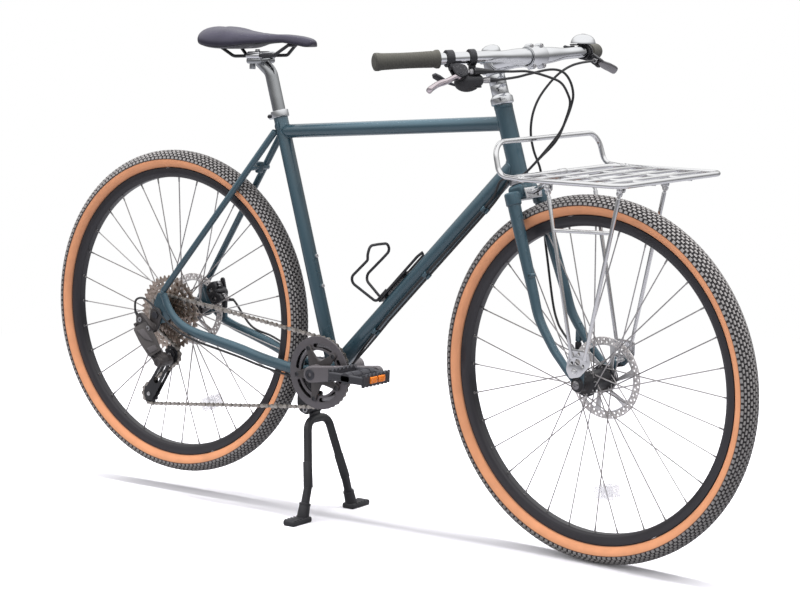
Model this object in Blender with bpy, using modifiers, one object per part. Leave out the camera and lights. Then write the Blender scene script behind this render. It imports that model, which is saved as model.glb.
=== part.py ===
"""Hybrid city bike with a diamond frame, disc brakes, a wide-range rear cassette and a front rack.

Every piece is shaped in the bike's own level frame: +X runs forward, +Y to the rider's left, +Z up, with
the wheels on z = 0 and the origin midway between the axles. Empties on the joint axes carry the pieces.
At the end the steering is turned to its rest angle and the whole bike is tipped forward onto its front
tyre and its two stand feet, which lift the rear wheel clear of the ground.
"""

import math

import bmesh
import bpy
import numpy as np
from mathutils import Matrix, Vector

# Wheels and ground
WHEELBASE = 1.069
WHEEL_RADIUS = 0.356
TYRE_WIDTH = 0.047
TREAD_SHARE = 0.42
BEAD_RADIUS = 0.3113
RIM_LIP_RADIUS = 0.3170
RIM_INNER_RADIUS = 0.2965
RIM_WIDTH = 0.027
RIM_WALL = 0.0030
WHEEL_STEPS = 32
SPOKE_COUNT = 32
SPOKE_RADIUS = 0.0011
REAR_LIFT_ANGLE = math.radians(2.35)
STEER_REST_ANGLE = math.radians(-4.6)

# Clearances
SEAT_GAP = 0.0003
RUNNING_GAP = 0.0006

# Frame
CHAINSTAY_LENGTH = 0.443
BRACKET_DROP = 0.069
SEAT_ANGLE = math.radians(72.3)
SEAT_TUBE_LENGTH = 0.5405
SEAT_TUBE_RADIUS = 0.0150
HEAD_ANGLE = math.radians(71.5)
HEAD_BOTTOM = Vector((0.3405, 0.0, 0.727))
HEAD_LENGTH = 0.1445
HEAD_TUBE_RADIUS = 0.0180
HEAD_BORE_RADIUS = 0.0155
TOP_TUBE_RADIUS = 0.0143
TOP_TUBE_BELOW_HEAD = 0.0360
TOP_TUBE_BELOW_SEAT = 0.0295
DOWN_TUBE_RADIUS = 0.01745
DOWN_TUBE_ABOVE_HEAD = 0.0270
SHELL_RADIUS = 0.0205
SHELL_WIDTH = 0.068
CHAINSTAY_RADIUS = 0.0088
STAY_HEIGHT = 0.0118
SEATSTAY_RADIUS = 0.0072
REAR_SPACING = 0.135
FRONT_SPACING = 0.100
DROPOUT_THICKNESS = 0.005

# Seat
SEATPOST_RADIUS = 0.0136
SEATPOST_INSERTION = 0.140
SEATPOST_RISE = 0.0985
SEATPOST_BORE_DEPTH = 0.210
SEAT_TRAVEL = 0.050
COLLAR_HEIGHT = 0.0145
COLLAR_RADIUS = 0.0186
RAIL_RADIUS = 0.0035
RAIL_HALF_SPACING = 0.022

# Steering
STEERER_RADIUS = 0.0143
CUP_RADIUS = 0.02225
UPPER_CUP_HEIGHT = 0.0210
LOWER_CUP_HEIGHT = 0.0122
SPACER_RADIUS = 0.0168
SPACER_HEIGHT = 0.0390
STEM_CLAMP_RADIUS = 0.0195
STEM_CLAMP_HEIGHT = 0.0420
TOP_CAP_HEIGHT = 0.0170
BAR_CENTRE = Vector((0.365, 0.0, 0.962))
BAR_CLAMP_RADIUS = 0.0159
BAR_RADIUS = 0.0111
BAR_BEND_Y = 0.150
BAR_RISE = 0.004
BAR_END = Vector((0.263, 0.344, 0.957))
GRIP_LENGTH = 0.125
GRIP_RADIUS = 0.0155
BLADE_TOP_RADIUS = 0.0130
BLADE_TIP_RADIUS = 0.0075
BLADE_TOP_Y = 0.0420
BLADE_TIP_Y = 0.0575
LEVER_FROM_END = 0.147
LEVER_TILT_RIGHT = math.radians(-55.0)
LEVER_TILT_LEFT = math.radians(-33.0)
SHIFTER_FROM_END = 0.192
BELL_FROM_END = 0.178
BELL_RADIUS = 0.025

# Drivetrain
CHAIN_PITCH = 0.0127
CHAIN_Y = -0.0460
CHAIN_HALF_WIDTH = 0.0027
CHAIN_HALF_HEIGHT = 0.0037
CHAIN_PLATE = 0.0014
CHAIN_PIN = 0.0030
RING_TEETH = 36
COG_TEETH = (11, 13, 15, 18, 21, 24, 28, 34, 40)
COG_IN_USE = 4
COG_SPACING = 0.0040
COG_THICKNESS = 0.0018
PULLEY_TEETH = 11
FREEHUB_RADIUS = 0.0130
TOOTH_TIP = 0.0020
PULLEY_TIP = -0.0008
TOOTH_ROOT = 0.0062
GUARD_RADIUS = 0.0765
GUARD_Y = -0.0520
GUARD_THICKNESS = 0.0030
BOLT_CIRCLE = 0.0555
CRANK_LENGTH = 0.170
CRANK_ANGLE = math.radians(9.8)
CRANK_INNER_Y = 0.0690
CRANK_THICKNESS = 0.0140
SPINDLE_RADIUS = 0.0085
PEDAL_LENGTH = 0.090
PEDAL_WIDTH = 0.092
PEDAL_HEIGHT = 0.026
PEDAL_GAP_FROM_CRANK = 0.0080
PEDAL_AXLE_RADIUS = 0.0045
GUIDE_PULLEY = Vector((-0.512, CHAIN_Y, 0.268))
TENSION_PULLEY = Vector((-0.5715, CHAIN_Y, 0.1725))
HANGER_BOLT = Vector((-0.541, 0.0, 0.330))

# Brakes
ROTOR_RADIUS = 0.080
ROTOR_GAP = 0.0008
ROTOR_THICKNESS = 0.0020
REAR_BRAKE_SEAT = Vector((-0.4600, 0.0655, 0.3655))
FRONT_BRAKE_SEAT = Vector((0.4560, 0.0530, 0.4130))
REAR_CALIPER = Vector((-0.4751, 0.0555, 0.3976))
FRONT_CALIPER = Vector((0.4640, 0.0405, 0.3720))
FRONT_ROTOR_Y = 0.0360
REAR_ROTOR_Y = 0.0520

# Stand
STAND_PIVOT = Vector((-0.154, 0.0, 0.196))
STAND_FOLD = math.radians(70.0)
STAND_TOP = Vector((-0.138, 0.0366, 0.161))
STAND_SLEEVE = Vector((-0.108, 0.0626, 0.047))
STAND_FOOT = Vector((-0.104, 0.083, -0.0170))
FOOT_HEIGHT = 0.012
FOOT_DEPTH = 0.030
FOOT_REACH = 0.062

# Rack
RACK_CENTRE = Vector((0.567, 0.0, 0.7517))
RACK_LENGTH = 0.252
RACK_WIDTH = 0.3375
RACK_TUBE = 0.0050
RACK_PITCH = math.radians(1.8)
RACK_STRUT_Y = 0.070
STRUT_EYELET = Vector((0.5400, 0.0, 0.3850))

HOUSING_RADIUS = 0.0024
STAY_ROUTE = (
    (-0.101, 0.0220, 0.2860), (-0.130, 0.0258, 0.2835), (-0.165, 0.0310, 0.2800), (-0.212, 0.0375, 0.2860),
    (-0.263, 0.0440, 0.2950), (-0.313, 0.0515, 0.3070), (-0.377, 0.0600, 0.3195), (-0.423, 0.0650, 0.3280),
    (-0.457, 0.0680, 0.3380), (-0.485, 0.0690, 0.3540), (-0.505, 0.0690, 0.3760), (-0.519, 0.0690, 0.4030),
)
CAGE_WIRE = 0.0025

FRONT_AXLE = Vector((WHEELBASE / 2, 0.0, WHEEL_RADIUS))
REAR_AXLE = Vector((-WHEELBASE / 2, 0.0, WHEEL_RADIUS))
BRACKET = REAR_AXLE + Vector((math.sqrt(CHAINSTAY_LENGTH**2 - BRACKET_DROP**2), 0.0, -BRACKET_DROP))
SEAT_AXIS = Vector((-math.cos(SEAT_ANGLE), 0.0, math.sin(SEAT_ANGLE)))
SEAT_TOP = BRACKET + SEAT_AXIS * SEAT_TUBE_LENGTH
STEER_AXIS = Vector((-math.cos(HEAD_ANGLE), 0.0, math.sin(HEAD_ANGLE)))
DOWN_TOP = HEAD_BOTTOM + STEER_AXIS * DOWN_TUBE_ABOVE_HEAD
DOWN_AXIS = (DOWN_TOP - BRACKET).normalized()
DOWN_UNDER = Vector((DOWN_AXIS.z, 0.0, -DOWN_AXIS.x))
ALONG_Y = Matrix.Rotation(-math.pi / 2, 4, "X")
SIDE_ON = Matrix.Rotation(math.pi / 2, 4, "X")
STEER_FRAME = Matrix.Translation(HEAD_BOTTOM) @ Matrix.Rotation(HEAD_ANGLE - math.pi / 2, 4, "Y")
WELD = 1e-5
FLAT_ANGLE = math.radians(0.05)

# How far the turned front wheel's leaning tread reaches below an upright one.
LEAN_DROP = TYRE_WIDTH / 2 * TREAD_SHARE * math.sin(abs(STEER_REST_ANGLE)) * math.cos(HEAD_ANGLE)

CUP_TOP = HEAD_LENGTH + SEAT_GAP + UPPER_CUP_HEIGHT
SPACER_TOP = CUP_TOP + SEAT_GAP + SPACER_HEIGHT
STEM_BOTTOM = SPACER_TOP + SEAT_GAP
STEM_TOP = STEM_BOTTOM + STEM_CLAMP_HEIGHT
CROWN_TOP = -2 * SEAT_GAP - LOWER_CUP_HEIGHT


def clear_scene():
    """Removes what the scene starts with."""
    for obj in list(bpy.data.objects):
        bpy.data.objects.remove(obj)


def new_collection(name, parent=None):
    """A collection linked under the scene or another collection."""
    made = bpy.data.collections.new(name)
    (parent or bpy.context.scene.collection).children.link(made)
    return made


def at(point):
    """A translation matrix."""
    return Matrix.Translation(Vector(point))


def mirrored(point, side):
    """The point with its y multiplied by the side, +1 for left and -1 for right."""
    return Vector((point[0], point[1] * side, point[2]))


def clear_bore(radius, sides, gap=SEAT_GAP):
    """Radius of a many-sided bore whose flats stay the gap away from a shaft."""
    return (radius + gap) / math.cos(math.pi / sides)


def settle(mesh):
    """Welds a mesh, joins the faces that lie in one plane and turns them all outward."""
    shape = bmesh.new()
    shape.from_mesh(mesh)
    bmesh.ops.remove_doubles(shape, verts=shape.verts, dist=WELD)
    bmesh.ops.dissolve_limit(
        shape, angle_limit=FLAT_ANGLE, use_dissolve_boundaries=False, verts=shape.verts, edges=shape.edges
    )
    bmesh.ops.recalc_face_normals(shape, faces=shape.faces)
    shape.to_mesh(mesh)
    shape.free()


def keep(name, mesh):
    """An object for a mesh that is already in the bike's frame."""
    obj = bpy.data.objects.new(name, mesh)
    bpy.context.scene.collection.objects.link(obj)
    return obj


def realise(source, placement=None):
    """Replaces a curve, or a mesh with modifiers, by its plain mesh in the bike's frame."""
    bpy.context.view_layer.update()
    graph = bpy.context.evaluated_depsgraph_get()
    mesh = bpy.data.meshes.new_from_object(source.evaluated_get(graph))
    name = source.name
    bpy.data.objects.remove(source)
    mesh.transform(placement or Matrix.Identity(4))
    settle(mesh)
    return keep(name, mesh)


def from_bmesh(name, shape, placement=None):
    """An object from a bmesh primitive."""
    mesh = bpy.data.meshes.new(name)
    bmesh.ops.recalc_face_normals(shape, faces=shape.faces)
    shape.to_mesh(mesh)
    shape.free()
    mesh.transform(placement or Matrix.Identity(4))
    return keep(name, mesh)


def block(name, size, placement, bevel=0.0, segments=1):
    """A box with its centre at the placement's origin and its edges rounded."""
    shape = bmesh.new()
    bmesh.ops.create_cube(shape, size=1.0)
    bmesh.ops.scale(shape, vec=Vector(size), verts=shape.verts)
    if bevel:
        bmesh.ops.bevel(
            shape, geom=shape.edges[:], offset=bevel, segments=segments, profile=0.5, affect="EDGES"
        )
    return from_bmesh(name, shape, placement)


def rod(name, start, end, radius, end_radius=None, sides=12):
    """A straight round bar, or a cone, between two points."""
    start = Vector(start)
    end = Vector(end)
    along = end - start
    shape = bmesh.new()
    far = radius if end_radius is None else end_radius
    bmesh.ops.create_cone(
        shape, cap_ends=True, segments=sides, radius1=radius, radius2=far, depth=along.length
    )
    turn = Vector((0.0, 0.0, 1.0)).rotation_difference(along).to_matrix().to_4x4()
    return from_bmesh(name, shape, at((start + end) / 2) @ turn)


def lathe(name, profile, placement, steps=24, phase=0.0, ring=False):
    """A turned shape: (radius, height) points run down the outer side, round the placement's Z axis.

    A ring profile is a closed loop off the axis, for a piece with a bore.
    """
    mesh = bpy.data.meshes.new(name)
    count = len(profile)
    edges = [(i, (i + 1) % count) for i in range(count if ring else count - 1)]
    mesh.from_pydata([(r, 0.0, z) for r, z in profile], edges, [])
    obj = keep(name, mesh)
    screw = obj.modifiers.new("Turn", "SCREW")
    screw.axis = "Z"
    screw.angle = 2 * math.pi
    screw.steps = steps
    screw.render_steps = steps
    screw.use_merge_vertices = True
    screw.merge_threshold = WELD
    return realise(obj, placement @ Matrix.Rotation(phase, 4, "Z"))


def pipe(name, points, radius, resolution=2, closed=False):
    """A round tube along a path. The radius is one value or one for each point."""
    radii = list(radius) if isinstance(radius, (list, tuple)) else [radius] * len(points)
    curve = bpy.data.curves.new(name, "CURVE")
    curve.dimensions = "3D"
    curve.fill_mode = "FULL"
    curve.bevel_depth = max(radii)
    curve.bevel_resolution = resolution
    curve.use_fill_caps = not closed
    spline = curve.splines.new("POLY")
    spline.points.add(len(points) - 1)
    for control, point, size in zip(spline.points, points, radii):
        control.co = (*point, 1.0)
        control.radius = size / max(radii)
    spline.use_cyclic_u = closed
    return realise(keep(name, curve))


def prism(name, outline, thickness, placement, holes=()):
    """A flat plate: its outline and holes lie in the placement's XY plane, half the thickness each way."""
    curve = bpy.data.curves.new(name, "CURVE")
    curve.dimensions = "2D"
    curve.fill_mode = "BOTH"
    curve.extrude = thickness / 2
    for loop in (outline, *holes):
        spline = curve.splines.new("POLY")
        spline.points.add(len(loop) - 1)
        for control, point in zip(spline.points, loop):
            control.co = (point[0], point[1], 0.0, 1.0)
        spline.use_cyclic_u = True
    return realise(keep(name, curve), placement)


def combine(base, others, operation):
    """One closed body from a base and the shapes joined to it or cut from it."""
    operands = new_collection("operands")
    for other in others:
        bpy.context.scene.collection.objects.unlink(other)
        operands.objects.link(other)
        other.hide_render = True
        other.display_type = "WIRE"
    step = base.modifiers.new(operation.title(), "BOOLEAN")
    step.operation = operation
    step.operand_type = "COLLECTION"
    step.collection = operands
    step.solver = "EXACT"
    made = realise(base)
    for other in others:
        bpy.data.objects.remove(other)
    bpy.data.collections.remove(operands)
    return made


def join(name, pieces):
    """The union of the pieces."""
    made = combine(pieces[0], pieces[1:], "UNION")
    made.name = name
    return made


def cut(base, cutters):
    """The base with the cutters taken out of it."""
    return combine(base, cutters, "DIFFERENCE")


def polar(radius, angle):
    """A point of a circle."""
    return (radius * math.cos(angle), radius * math.sin(angle))


def circle(radius, count, centre=(0.0, 0.0), phase=0.0):
    """Points round a circle."""
    found = []
    for i in range(count):
        x, y = polar(radius, phase + 2 * math.pi * i / count)
        found.append((centre[0] + x, centre[1] + y))
    return found


def arc_slot(radius, half_width, middle, half_angle, steps=4):
    """Outline of a curved slot that follows a circle."""
    angles = np.linspace(middle - half_angle, middle + half_angle, steps)
    outer = [polar(radius + half_width, a) for a in angles]
    inner = [polar(radius - half_width, a) for a in angles[::-1]]
    return outer + inner


def round_hull(first, first_radius, second, second_radius, steps=6):
    """Outline of two circles joined by their outer tangents, as a lever or a crank arm has."""
    dx = second[0] - first[0]
    dy = second[1] - first[1]
    heading = math.atan2(dy, dx)
    spread = math.acos((first_radius - second_radius) / math.hypot(dx, dy))
    found = []
    for a in np.linspace(heading - spread, heading + spread, steps):
        x, y = polar(second_radius, a)
        found.append((second[0] + x, second[1] + y))
    for a in np.linspace(heading + spread, heading - spread + 2 * math.pi, steps):
        x, y = polar(first_radius, a)
        found.append((first[0] + x, first[1] + y))
    return found


def rounded_rectangle(length, width, radius, steps=4):
    """Outline of a rectangle with round corners."""
    found = []
    for sx, sy, start in ((1, 1, 0.0), (-1, 1, 0.5), (-1, -1, 1.0), (1, -1, 1.5)):
        for a in np.linspace(start * math.pi, (start + 0.5) * math.pi, steps):
            x, y = polar(radius, a)
            found.append((sx * (length / 2 - radius) + x, sy * (width / 2 - radius) + y))
    return found


def bent(corners, bend, steps=4):
    """A path of straight runs with an arc of the bend radius at each inner corner."""
    corners = [Vector(c) for c in corners]
    bends = list(bend) if isinstance(bend, (list, tuple)) else [bend] * (len(corners) - 2)
    path = [corners[0]]
    for before, corner, after, radius in zip(corners, corners[1:], corners[2:], bends):
        back = (before - corner).normalized()
        ahead = (after - corner).normalized()
        half = back.angle(ahead) / 2
        centre = corner + (back + ahead).normalized() * radius / math.sin(half)
        first = corner + back * radius / math.tan(half) - centre
        last = corner + ahead * radius / math.tan(half) - centre
        for i in range(steps):
            path.append(centre + first.slerp(last, i / (steps - 1)).normalized() * first.length)
    path.append(corners[-1])
    return path


def smooth_curve(points):
    """Fine points of a smooth curve through the route's own points, and the running length at each."""
    route = np.array([tuple(p) for p in points])
    ends = np.vstack([2 * route[0] - route[1], route, 2 * route[-1] - route[-2]])
    fine = []
    for a, b, c, d in zip(ends, ends[1:], ends[2:], ends[3:]):
        for t in np.linspace(0.0, 1.0, 24, endpoint=False):
            fine.append(
                0.5 * (
                    2 * b + (c - a) * t + (2 * a - 5 * b + 4 * c - d) * t**2 + (3 * b - a - 3 * c + d) * t**3
                )
            )
    fine = np.array([*fine, route[-1]])
    run = np.concatenate([[0.0], np.cumsum(np.linalg.norm(np.diff(fine, axis=0), axis=1))])
    return fine, run


def smooth_route(points, count):
    """Evenly spaced points of the smooth curve through a route."""
    fine, run = smooth_curve(points)
    places = np.linspace(0.0, run[-1], count)
    return [Vector([np.interp(s, run, fine[:, k]) for k in range(3)]) for s in places]


def housing_route(points, turn=math.radians(15.0), reach=0.120):
    """Points of the smooth curve through a route, closer together where it bends."""
    fine, _ = smooth_curve(points)
    first, last = Vector(points[0]), Vector(points[-1])
    heading = (Vector(points[1]) - first).normalized()
    kept = [first, first + heading * 0.004]
    into_end = (last - Vector(points[-2])).normalized()
    for before, point in zip(fine, fine[1:]):
        step = Vector(point - before)
        if step.length < WELD:
            continue
        far = (Vector(point) - kept[-1]).length
        if far > 0.006 and (heading.angle(step) > turn or far > reach):
            kept.append(Vector(point))
            heading = step.normalized()
    while (kept[-1] - last).length < 0.008:
        kept.pop()
    return [*kept, last - into_end * 0.004, last]


def pitch_radius(teeth):
    """Pitch radius of a sprocket."""
    return CHAIN_PITCH / (2 * math.sin(math.pi / teeth))


def toothed(teeth, phase, tip=TOOTH_TIP):
    """Outline of a sprocket with a gap between teeth at the phase angle."""
    found = []
    for i in range(teeth):
        angle = phase + 2 * math.pi * i / teeth
        found.append(polar(pitch_radius(teeth) - TOOTH_ROOT, angle))
        found.append(polar(pitch_radius(teeth) + tip, angle + math.pi / teeth))
    return found


def steer_at(height, forward=0.0, across=0.0):
    """A point of the steering column, by its height above the head tube's lower end along the axis."""
    return STEER_FRAME @ Vector((forward, across, height))


def down_at(distance, under=0.0, across=0.0):
    """A point beside the down tube, by its distance from the bottom bracket along the tube."""
    return BRACKET + DOWN_AXIS * distance + DOWN_UNDER * under + Vector((0.0, across, 0.0))


def bar_frame(side, from_end):
    """Frame on the handlebar: Z outward along it, X forward and Y up, at a distance from its end."""
    end = mirrored(BAR_END, side)
    bend = mirrored((BAR_CENTRE.x, BAR_BEND_Y, BAR_CENTRE.z + BAR_RISE), side)
    outward = (end - bend).normalized()
    forward = Vector((0.0, 0.0, 1.0)).cross(outward).normalized() * -side
    up = outward.cross(forward)
    turn = Matrix((forward, up, outward)).transposed().to_4x4()
    return at(end - outward * from_end) @ turn


def lever_frame(side):
    """Frame of a brake lever: X from the bar to the lever, Z outward along the bar."""
    tilt = LEVER_TILT_RIGHT if side < 0 else LEVER_TILT_LEFT
    frame = bar_frame(side, LEVER_FROM_END)
    up_sign = 1.0 if frame.to_3x3().col[1].z > 0 else -1.0
    return frame @ Matrix.Rotation(tilt * up_sign, 4, "Z")


LEVER_PIVOT = Vector((0.037, 0.0, -0.011))
LEVER_TIP = Vector((0.068, 0.0, 0.056))


def build_frame():
    """Diamond frame: tubes, stays, dropouts, stand plate, cable stops and brake tab."""
    seat_low = BRACKET
    top_rear = SEAT_TOP - SEAT_AXIS * TOP_TUBE_BELOW_SEAT
    top_front = steer_at(HEAD_LENGTH - TOP_TUBE_BELOW_HEAD)
    pieces = [
        rod("head", steer_at(0.0), steer_at(HEAD_LENGTH), HEAD_TUBE_RADIUS, sides=14),
        rod("down", BRACKET, DOWN_TOP, DOWN_TUBE_RADIUS, sides=12),
        rod("top", top_rear, top_front, TOP_TUBE_RADIUS, sides=12),
        rod("seat", seat_low, SEAT_TOP, SEAT_TUBE_RADIUS, sides=12),
    ]
    half_shell = SHELL_WIDTH / 2
    pieces.append(
        rod(
            "shell", BRACKET - Vector((0, half_shell, 0)), BRACKET + Vector((0, half_shell, 0)), SHELL_RADIUS,
            sides=16
        )
    )
    for side in (-1, 1):
        stay_top = mirrored((-0.2660, 0.0130, 0.7720), side)
        stay_low = mirrored((-0.5220, 0.0690, 0.4080), side)
        pieces.append(rod("seatstay", stay_top, stay_low, SEATSTAY_RADIUS, SEATSTAY_RADIUS * 0.92, sides=8))
        cap = stay_top + (stay_top - stay_low).normalized() * 0.004
        pieces.append(rod("cap", stay_top, cap, SEATSTAY_RADIUS, SEATSTAY_RADIUS * 0.55, sides=8))
        path = smooth_route([mirrored(p, side) for p in STAY_ROUTE], 11)
        sizes = [CHAINSTAY_RADIUS] * 6 + list(np.linspace(CHAINSTAY_RADIUS, SEATSTAY_RADIUS * 0.9, 5))
        pieces.append(oval_stay(path, sizes))
        pieces.append(build_dropout(side))
    bridge = Vector((-0.3160, 0.0280, 0.6930))
    pieces.append(rod("bridge", mirrored(bridge, -1), bridge, 0.0060, sides=8))
    pieces.append(block("bridge_boss", (0.014, 0.014, 0.024), at((bridge.x, 0.0, bridge.z))))
    pieces.append(block("stand_plate", (0.034, 0.064, 0.006), at((-0.158, 0.0, 0.2795))))
    for distance in CABLE_STOPS:
        pieces.extend(build_cable_stop(distance))
    pieces.append(block("brake_tab", (0.014, 0.008, 0.022), at(REAR_BRAKE_SEAT - Vector((0.0, 0.0, 0.011)))))
    frame = join("frame", pieces)
    bore_top = SEAT_TOP + SEAT_AXIS * 0.002
    bore_low = SEAT_TOP - SEAT_AXIS * SEATPOST_BORE_DEPTH
    cutters = [
        rod("head_bore", steer_at(-0.002), steer_at(HEAD_LENGTH + 0.002), HEAD_BORE_RADIUS, sides=16),
        rod("post_bore", bore_low, bore_top, clear_bore(SEATPOST_RADIUS, 16, SEAT_GAP), sides=16),
        rod("cup_room", steer_at(-0.040), steer_at(0.0), CUP_RADIUS + 0.0010, sides=16),
        rod("shell_bore", BRACKET - Vector((0, 0.05, 0)), BRACKET + Vector((0, 0.05, 0)), 0.0170, sides=16),
    ]
    return cut(frame, cutters)


def oval_stay(path, sizes):
    """A stay of oval section, taller than it is wide: drawn spread out sideways, then narrowed."""
    spread = STAY_HEIGHT / CHAINSTAY_RADIUS
    stretched = [Vector((p.x, p.y * spread, p.z)) for p in path]
    stay = pipe("chainstay", stretched, [size * spread for size in sizes], resolution=2)
    stay.data.transform(Matrix.Diagonal((1.0, 1.0 / spread, 1.0, 1.0)))
    return stay


def build_dropout(side):
    """Rear dropout plate inside the hook of the stays, with the hanger tongue on the drive side."""
    outer = [
        (-0.5330, 0.4060), (-0.5160, 0.4040), (-0.5030, 0.3800), (-0.4900, 0.3600), (-0.5050, 0.3440),
        (-0.5240, 0.3390), (-0.5480, 0.3420), (-0.5540, 0.3560), (-0.5480, 0.3720),
    ]
    if side < 0:
        outer[5:7] = [(-0.5280, 0.3360), (-0.5300, 0.3250), (-0.5380, 0.3185), (-0.5470, 0.3190),
                      (-0.5525, 0.3270), (-0.5520, 0.3420)]
    y = side * (REAR_SPACING / 2 + DROPOUT_THICKNESS / 2 + SEAT_GAP)
    outline = [(x, z) for x, z in outer]
    holes = [circle(0.0055, 10, (REAR_AXLE.x, REAR_AXLE.z))]
    if side < 0:
        holes.append(circle(0.0040, 8, (HANGER_BOLT.x, HANGER_BOLT.z - 0.002)))
    return prism("dropout", outline, DROPOUT_THICKNESS, at((0.0, y, 0.0)) @ SIDE_ON, holes)


def beside_stay(index, side, over):
    """A point of a housing that lies on top of a chainstay (over +1) or under it (over -1)."""
    reach = STAY_HEIGHT + HOUSING_RADIUS + 10 * SEAT_GAP
    return mirrored(STAY_ROUTE[index], side) + Vector((0.0, 0.0, over * reach))


CABLE_LANES = ((0.0176, -0.0186), (0.0234, -0.0120))
CABLE_STOPS = (0.200, 0.328, 0.525)


def build_cable_stop(distance):
    """Two short saddles on the down tube, one under each housing."""
    made = []
    for under, across in CABLE_LANES:
        away = Vector((0.0, across, 0.0)) + DOWN_UNDER * under
        reach = away.length - HOUSING_RADIUS - SEAT_GAP
        away.normalize()
        base = BRACKET + DOWN_AXIS * distance
        made.append(
            rod("stop", base + away * (DOWN_TUBE_RADIUS - 0.003), base + away * reach, 0.0032, sides=6)
        )
    return made


def build_bottom_bracket():
    """Cartridge in the shell with a flanged cup on each side and a bore for the spindle."""
    bore = clear_bore(SPINDLE_RADIUS, 10, 0.0003)
    half = SHELL_WIDTH / 2
    profile = [
        (bore, half + 0.006), (0.0175, half + 0.006), (0.0175, half + SEAT_GAP), (0.0162, half + SEAT_GAP)
    ]
    profile += [(r, -y) for r, y in reversed(profile)]
    return lathe("bottom_bracket", profile, at(BRACKET) @ ALONG_Y, steps=10, ring=True)


def build_seat_collar():
    """Split ring on top of the seat tube with its bolt at the rear."""
    bore = clear_bore(SEATPOST_RADIUS, 12)
    frame = at(SEAT_TOP) @ Matrix.Rotation(SEAT_ANGLE - math.pi / 2, 4, "Y")
    low = SEAT_GAP
    high = SEAT_GAP + COLLAR_HEIGHT
    profile = [(bore, high), (COLLAR_RADIUS, high), (COLLAR_RADIUS, low), (bore, low)]
    ring = lathe("ring", profile, frame, steps=12, ring=True)
    middle = (low + high) / 2
    ears = [
        block("ear", (0.012, 0.007, 0.012), frame @ at((-COLLAR_RADIUS - 0.002, side * 0.0052, middle)))
        for side in (-1, 1)
    ]
    bolt = rod(
        "bolt", frame @ Vector((-COLLAR_RADIUS - 0.003, -0.0125, middle)),
        frame @ Vector((-COLLAR_RADIUS - 0.003, 0.0125, middle)), 0.0034, sides=6,
    )
    collar = join("seat_collar", [ring, *ears, bolt])
    slot = block("slot", (0.009, 0.0016, 0.030), frame @ at((-0.0165, 0.0, middle)))
    return cut(collar, [slot])


def build_bottle_cage():
    """Wire bottle cage: one bent wire clasps the bottle and closes on a plate bolted to the down tube."""
    origin = 0.3545
    lift = DOWN_TUBE_RADIUS + 0.0028

    def place(along, out, across):
        return BRACKET + DOWN_AXIS * (origin + along) - DOWN_UNDER * out + Vector((0.0, across, 0.0))

    corners = [
        place(-0.128, lift + 0.0075, 0.0080), place(-0.163, lift + 0.0055, 0.0120),
        place(-0.176, 0.0980, 0.0270),
        place(-0.105, 0.0940, 0.0330), place(-0.066, 0.0960, 0.0230), place(-0.060, 0.0970, 0.0),
    ]
    half = bent(corners, [0.008, 0.014, 0.030, 0.012], 3)
    loop = half + [mirrored(p, -1) for p in reversed(half[:-1])]
    clasp = pipe("clasp", loop, CAGE_WIRE, 1)
    back = [
        place(-0.140, lift + 0.004, 0.0100), place(-0.020, lift + 0.004, 0.0100),
        place(-0.012, lift + 0.006, 0.0)
    ]
    back_half = bent(back, [0.008], 3)
    hairpin = pipe("hairpin", back_half + [mirrored(p, -1) for p in reversed(back_half[:-1])], CAGE_WIRE, 1)
    turn = Matrix.Rotation(math.pi / 2 - math.atan2(DOWN_AXIS.z, DOWN_AXIS.x) - math.pi / 2, 4, "Y")
    plate = block("plate", (0.094, 0.030, 0.003), at(place(-0.112, lift + 0.0015, 0.0)) @ turn)
    bolts = [
        rod("bolt", place(s, lift, 0.0), place(s, lift + 0.0065, 0.0), 0.0045, sides=6) for s in (
            -0.078, -0.142
        )
    ]
    bosses = [
        rod("boss", place(s, lift + 0.001, 0.0), place(s, DOWN_TUBE_RADIUS + SEAT_GAP, 0.0), 0.0050, sides=6)
        for s in (-0.078, -0.142)
    ]
    return join("bottle_cage", [plate, clasp, hairpin, *bolts, *bosses])


def build_seatpost():
    """Seatpost that leans back at its top to a yoke under the saddle rails."""
    low = SEAT_TOP - SEAT_AXIS * SEATPOST_INSERTION
    bend = SEAT_TOP + SEAT_AXIS * SEATPOST_RISE
    head = Vector((-0.3190, 0.0, 0.9160))
    path = bent([low, bend, head], [0.030], 4)
    post = pipe("post", path, SEATPOST_RADIUS, resolution=4)
    tilt = Matrix.Rotation(-math.radians(3.7), 4, "Y")
    yoke = block("yoke", (0.040, 0.052, 0.012), at((-0.3200, 0.0, 0.9185)) @ tilt, 0.003)
    lug = rod("lug", (-0.3420, 0.0, 0.9170), (-0.3420, 0.0, 0.8990), 0.0065, sides=8)
    made = join("seatpost", [post, yoke, lug])
    grooves = [
        rod(
            "groove", (-0.40, y, 0.9230), (-0.24, y, 0.9230 + 0.16 * math.tan(math.radians(3.7))), 0.0041,
            sides=10
        )
        for y in (-RAIL_HALF_SPACING, RAIL_HALF_SPACING)
    ]
    return cut(made, grooves)


def rail_height(x):
    """Height of the straight middle of the saddle rails."""
    return 0.9230 + (x + 0.40) * math.tan(math.radians(3.7))


def build_saddle_clamp():
    """Upper half of the clamp that holds the saddle rails down on the yoke."""
    tilt = Matrix.Rotation(-math.radians(3.7), 4, "Y")
    top = rail_height(-0.320)
    plate = block("plate", (0.034, 0.054, 0.009), at((-0.3200, 0.0, top + 0.0052)) @ tilt, 0.002)
    nut = rod(
        "nut", (-0.3420 + 0.013, 0.0, top + 0.008), (-0.3420 + 0.013, 0.0, top + 0.0145), 0.0055, sides=6
    )
    made = join("saddle_clamp", [plate, nut])
    grooves = [
        rod("groove", (-0.40, y, rail_height(-0.40)), (-0.24, y, rail_height(-0.24)), 0.0041, sides=10)
        for y in (-RAIL_HALF_SPACING, RAIL_HALF_SPACING)
    ]
    return cut(made, grooves)


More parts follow.
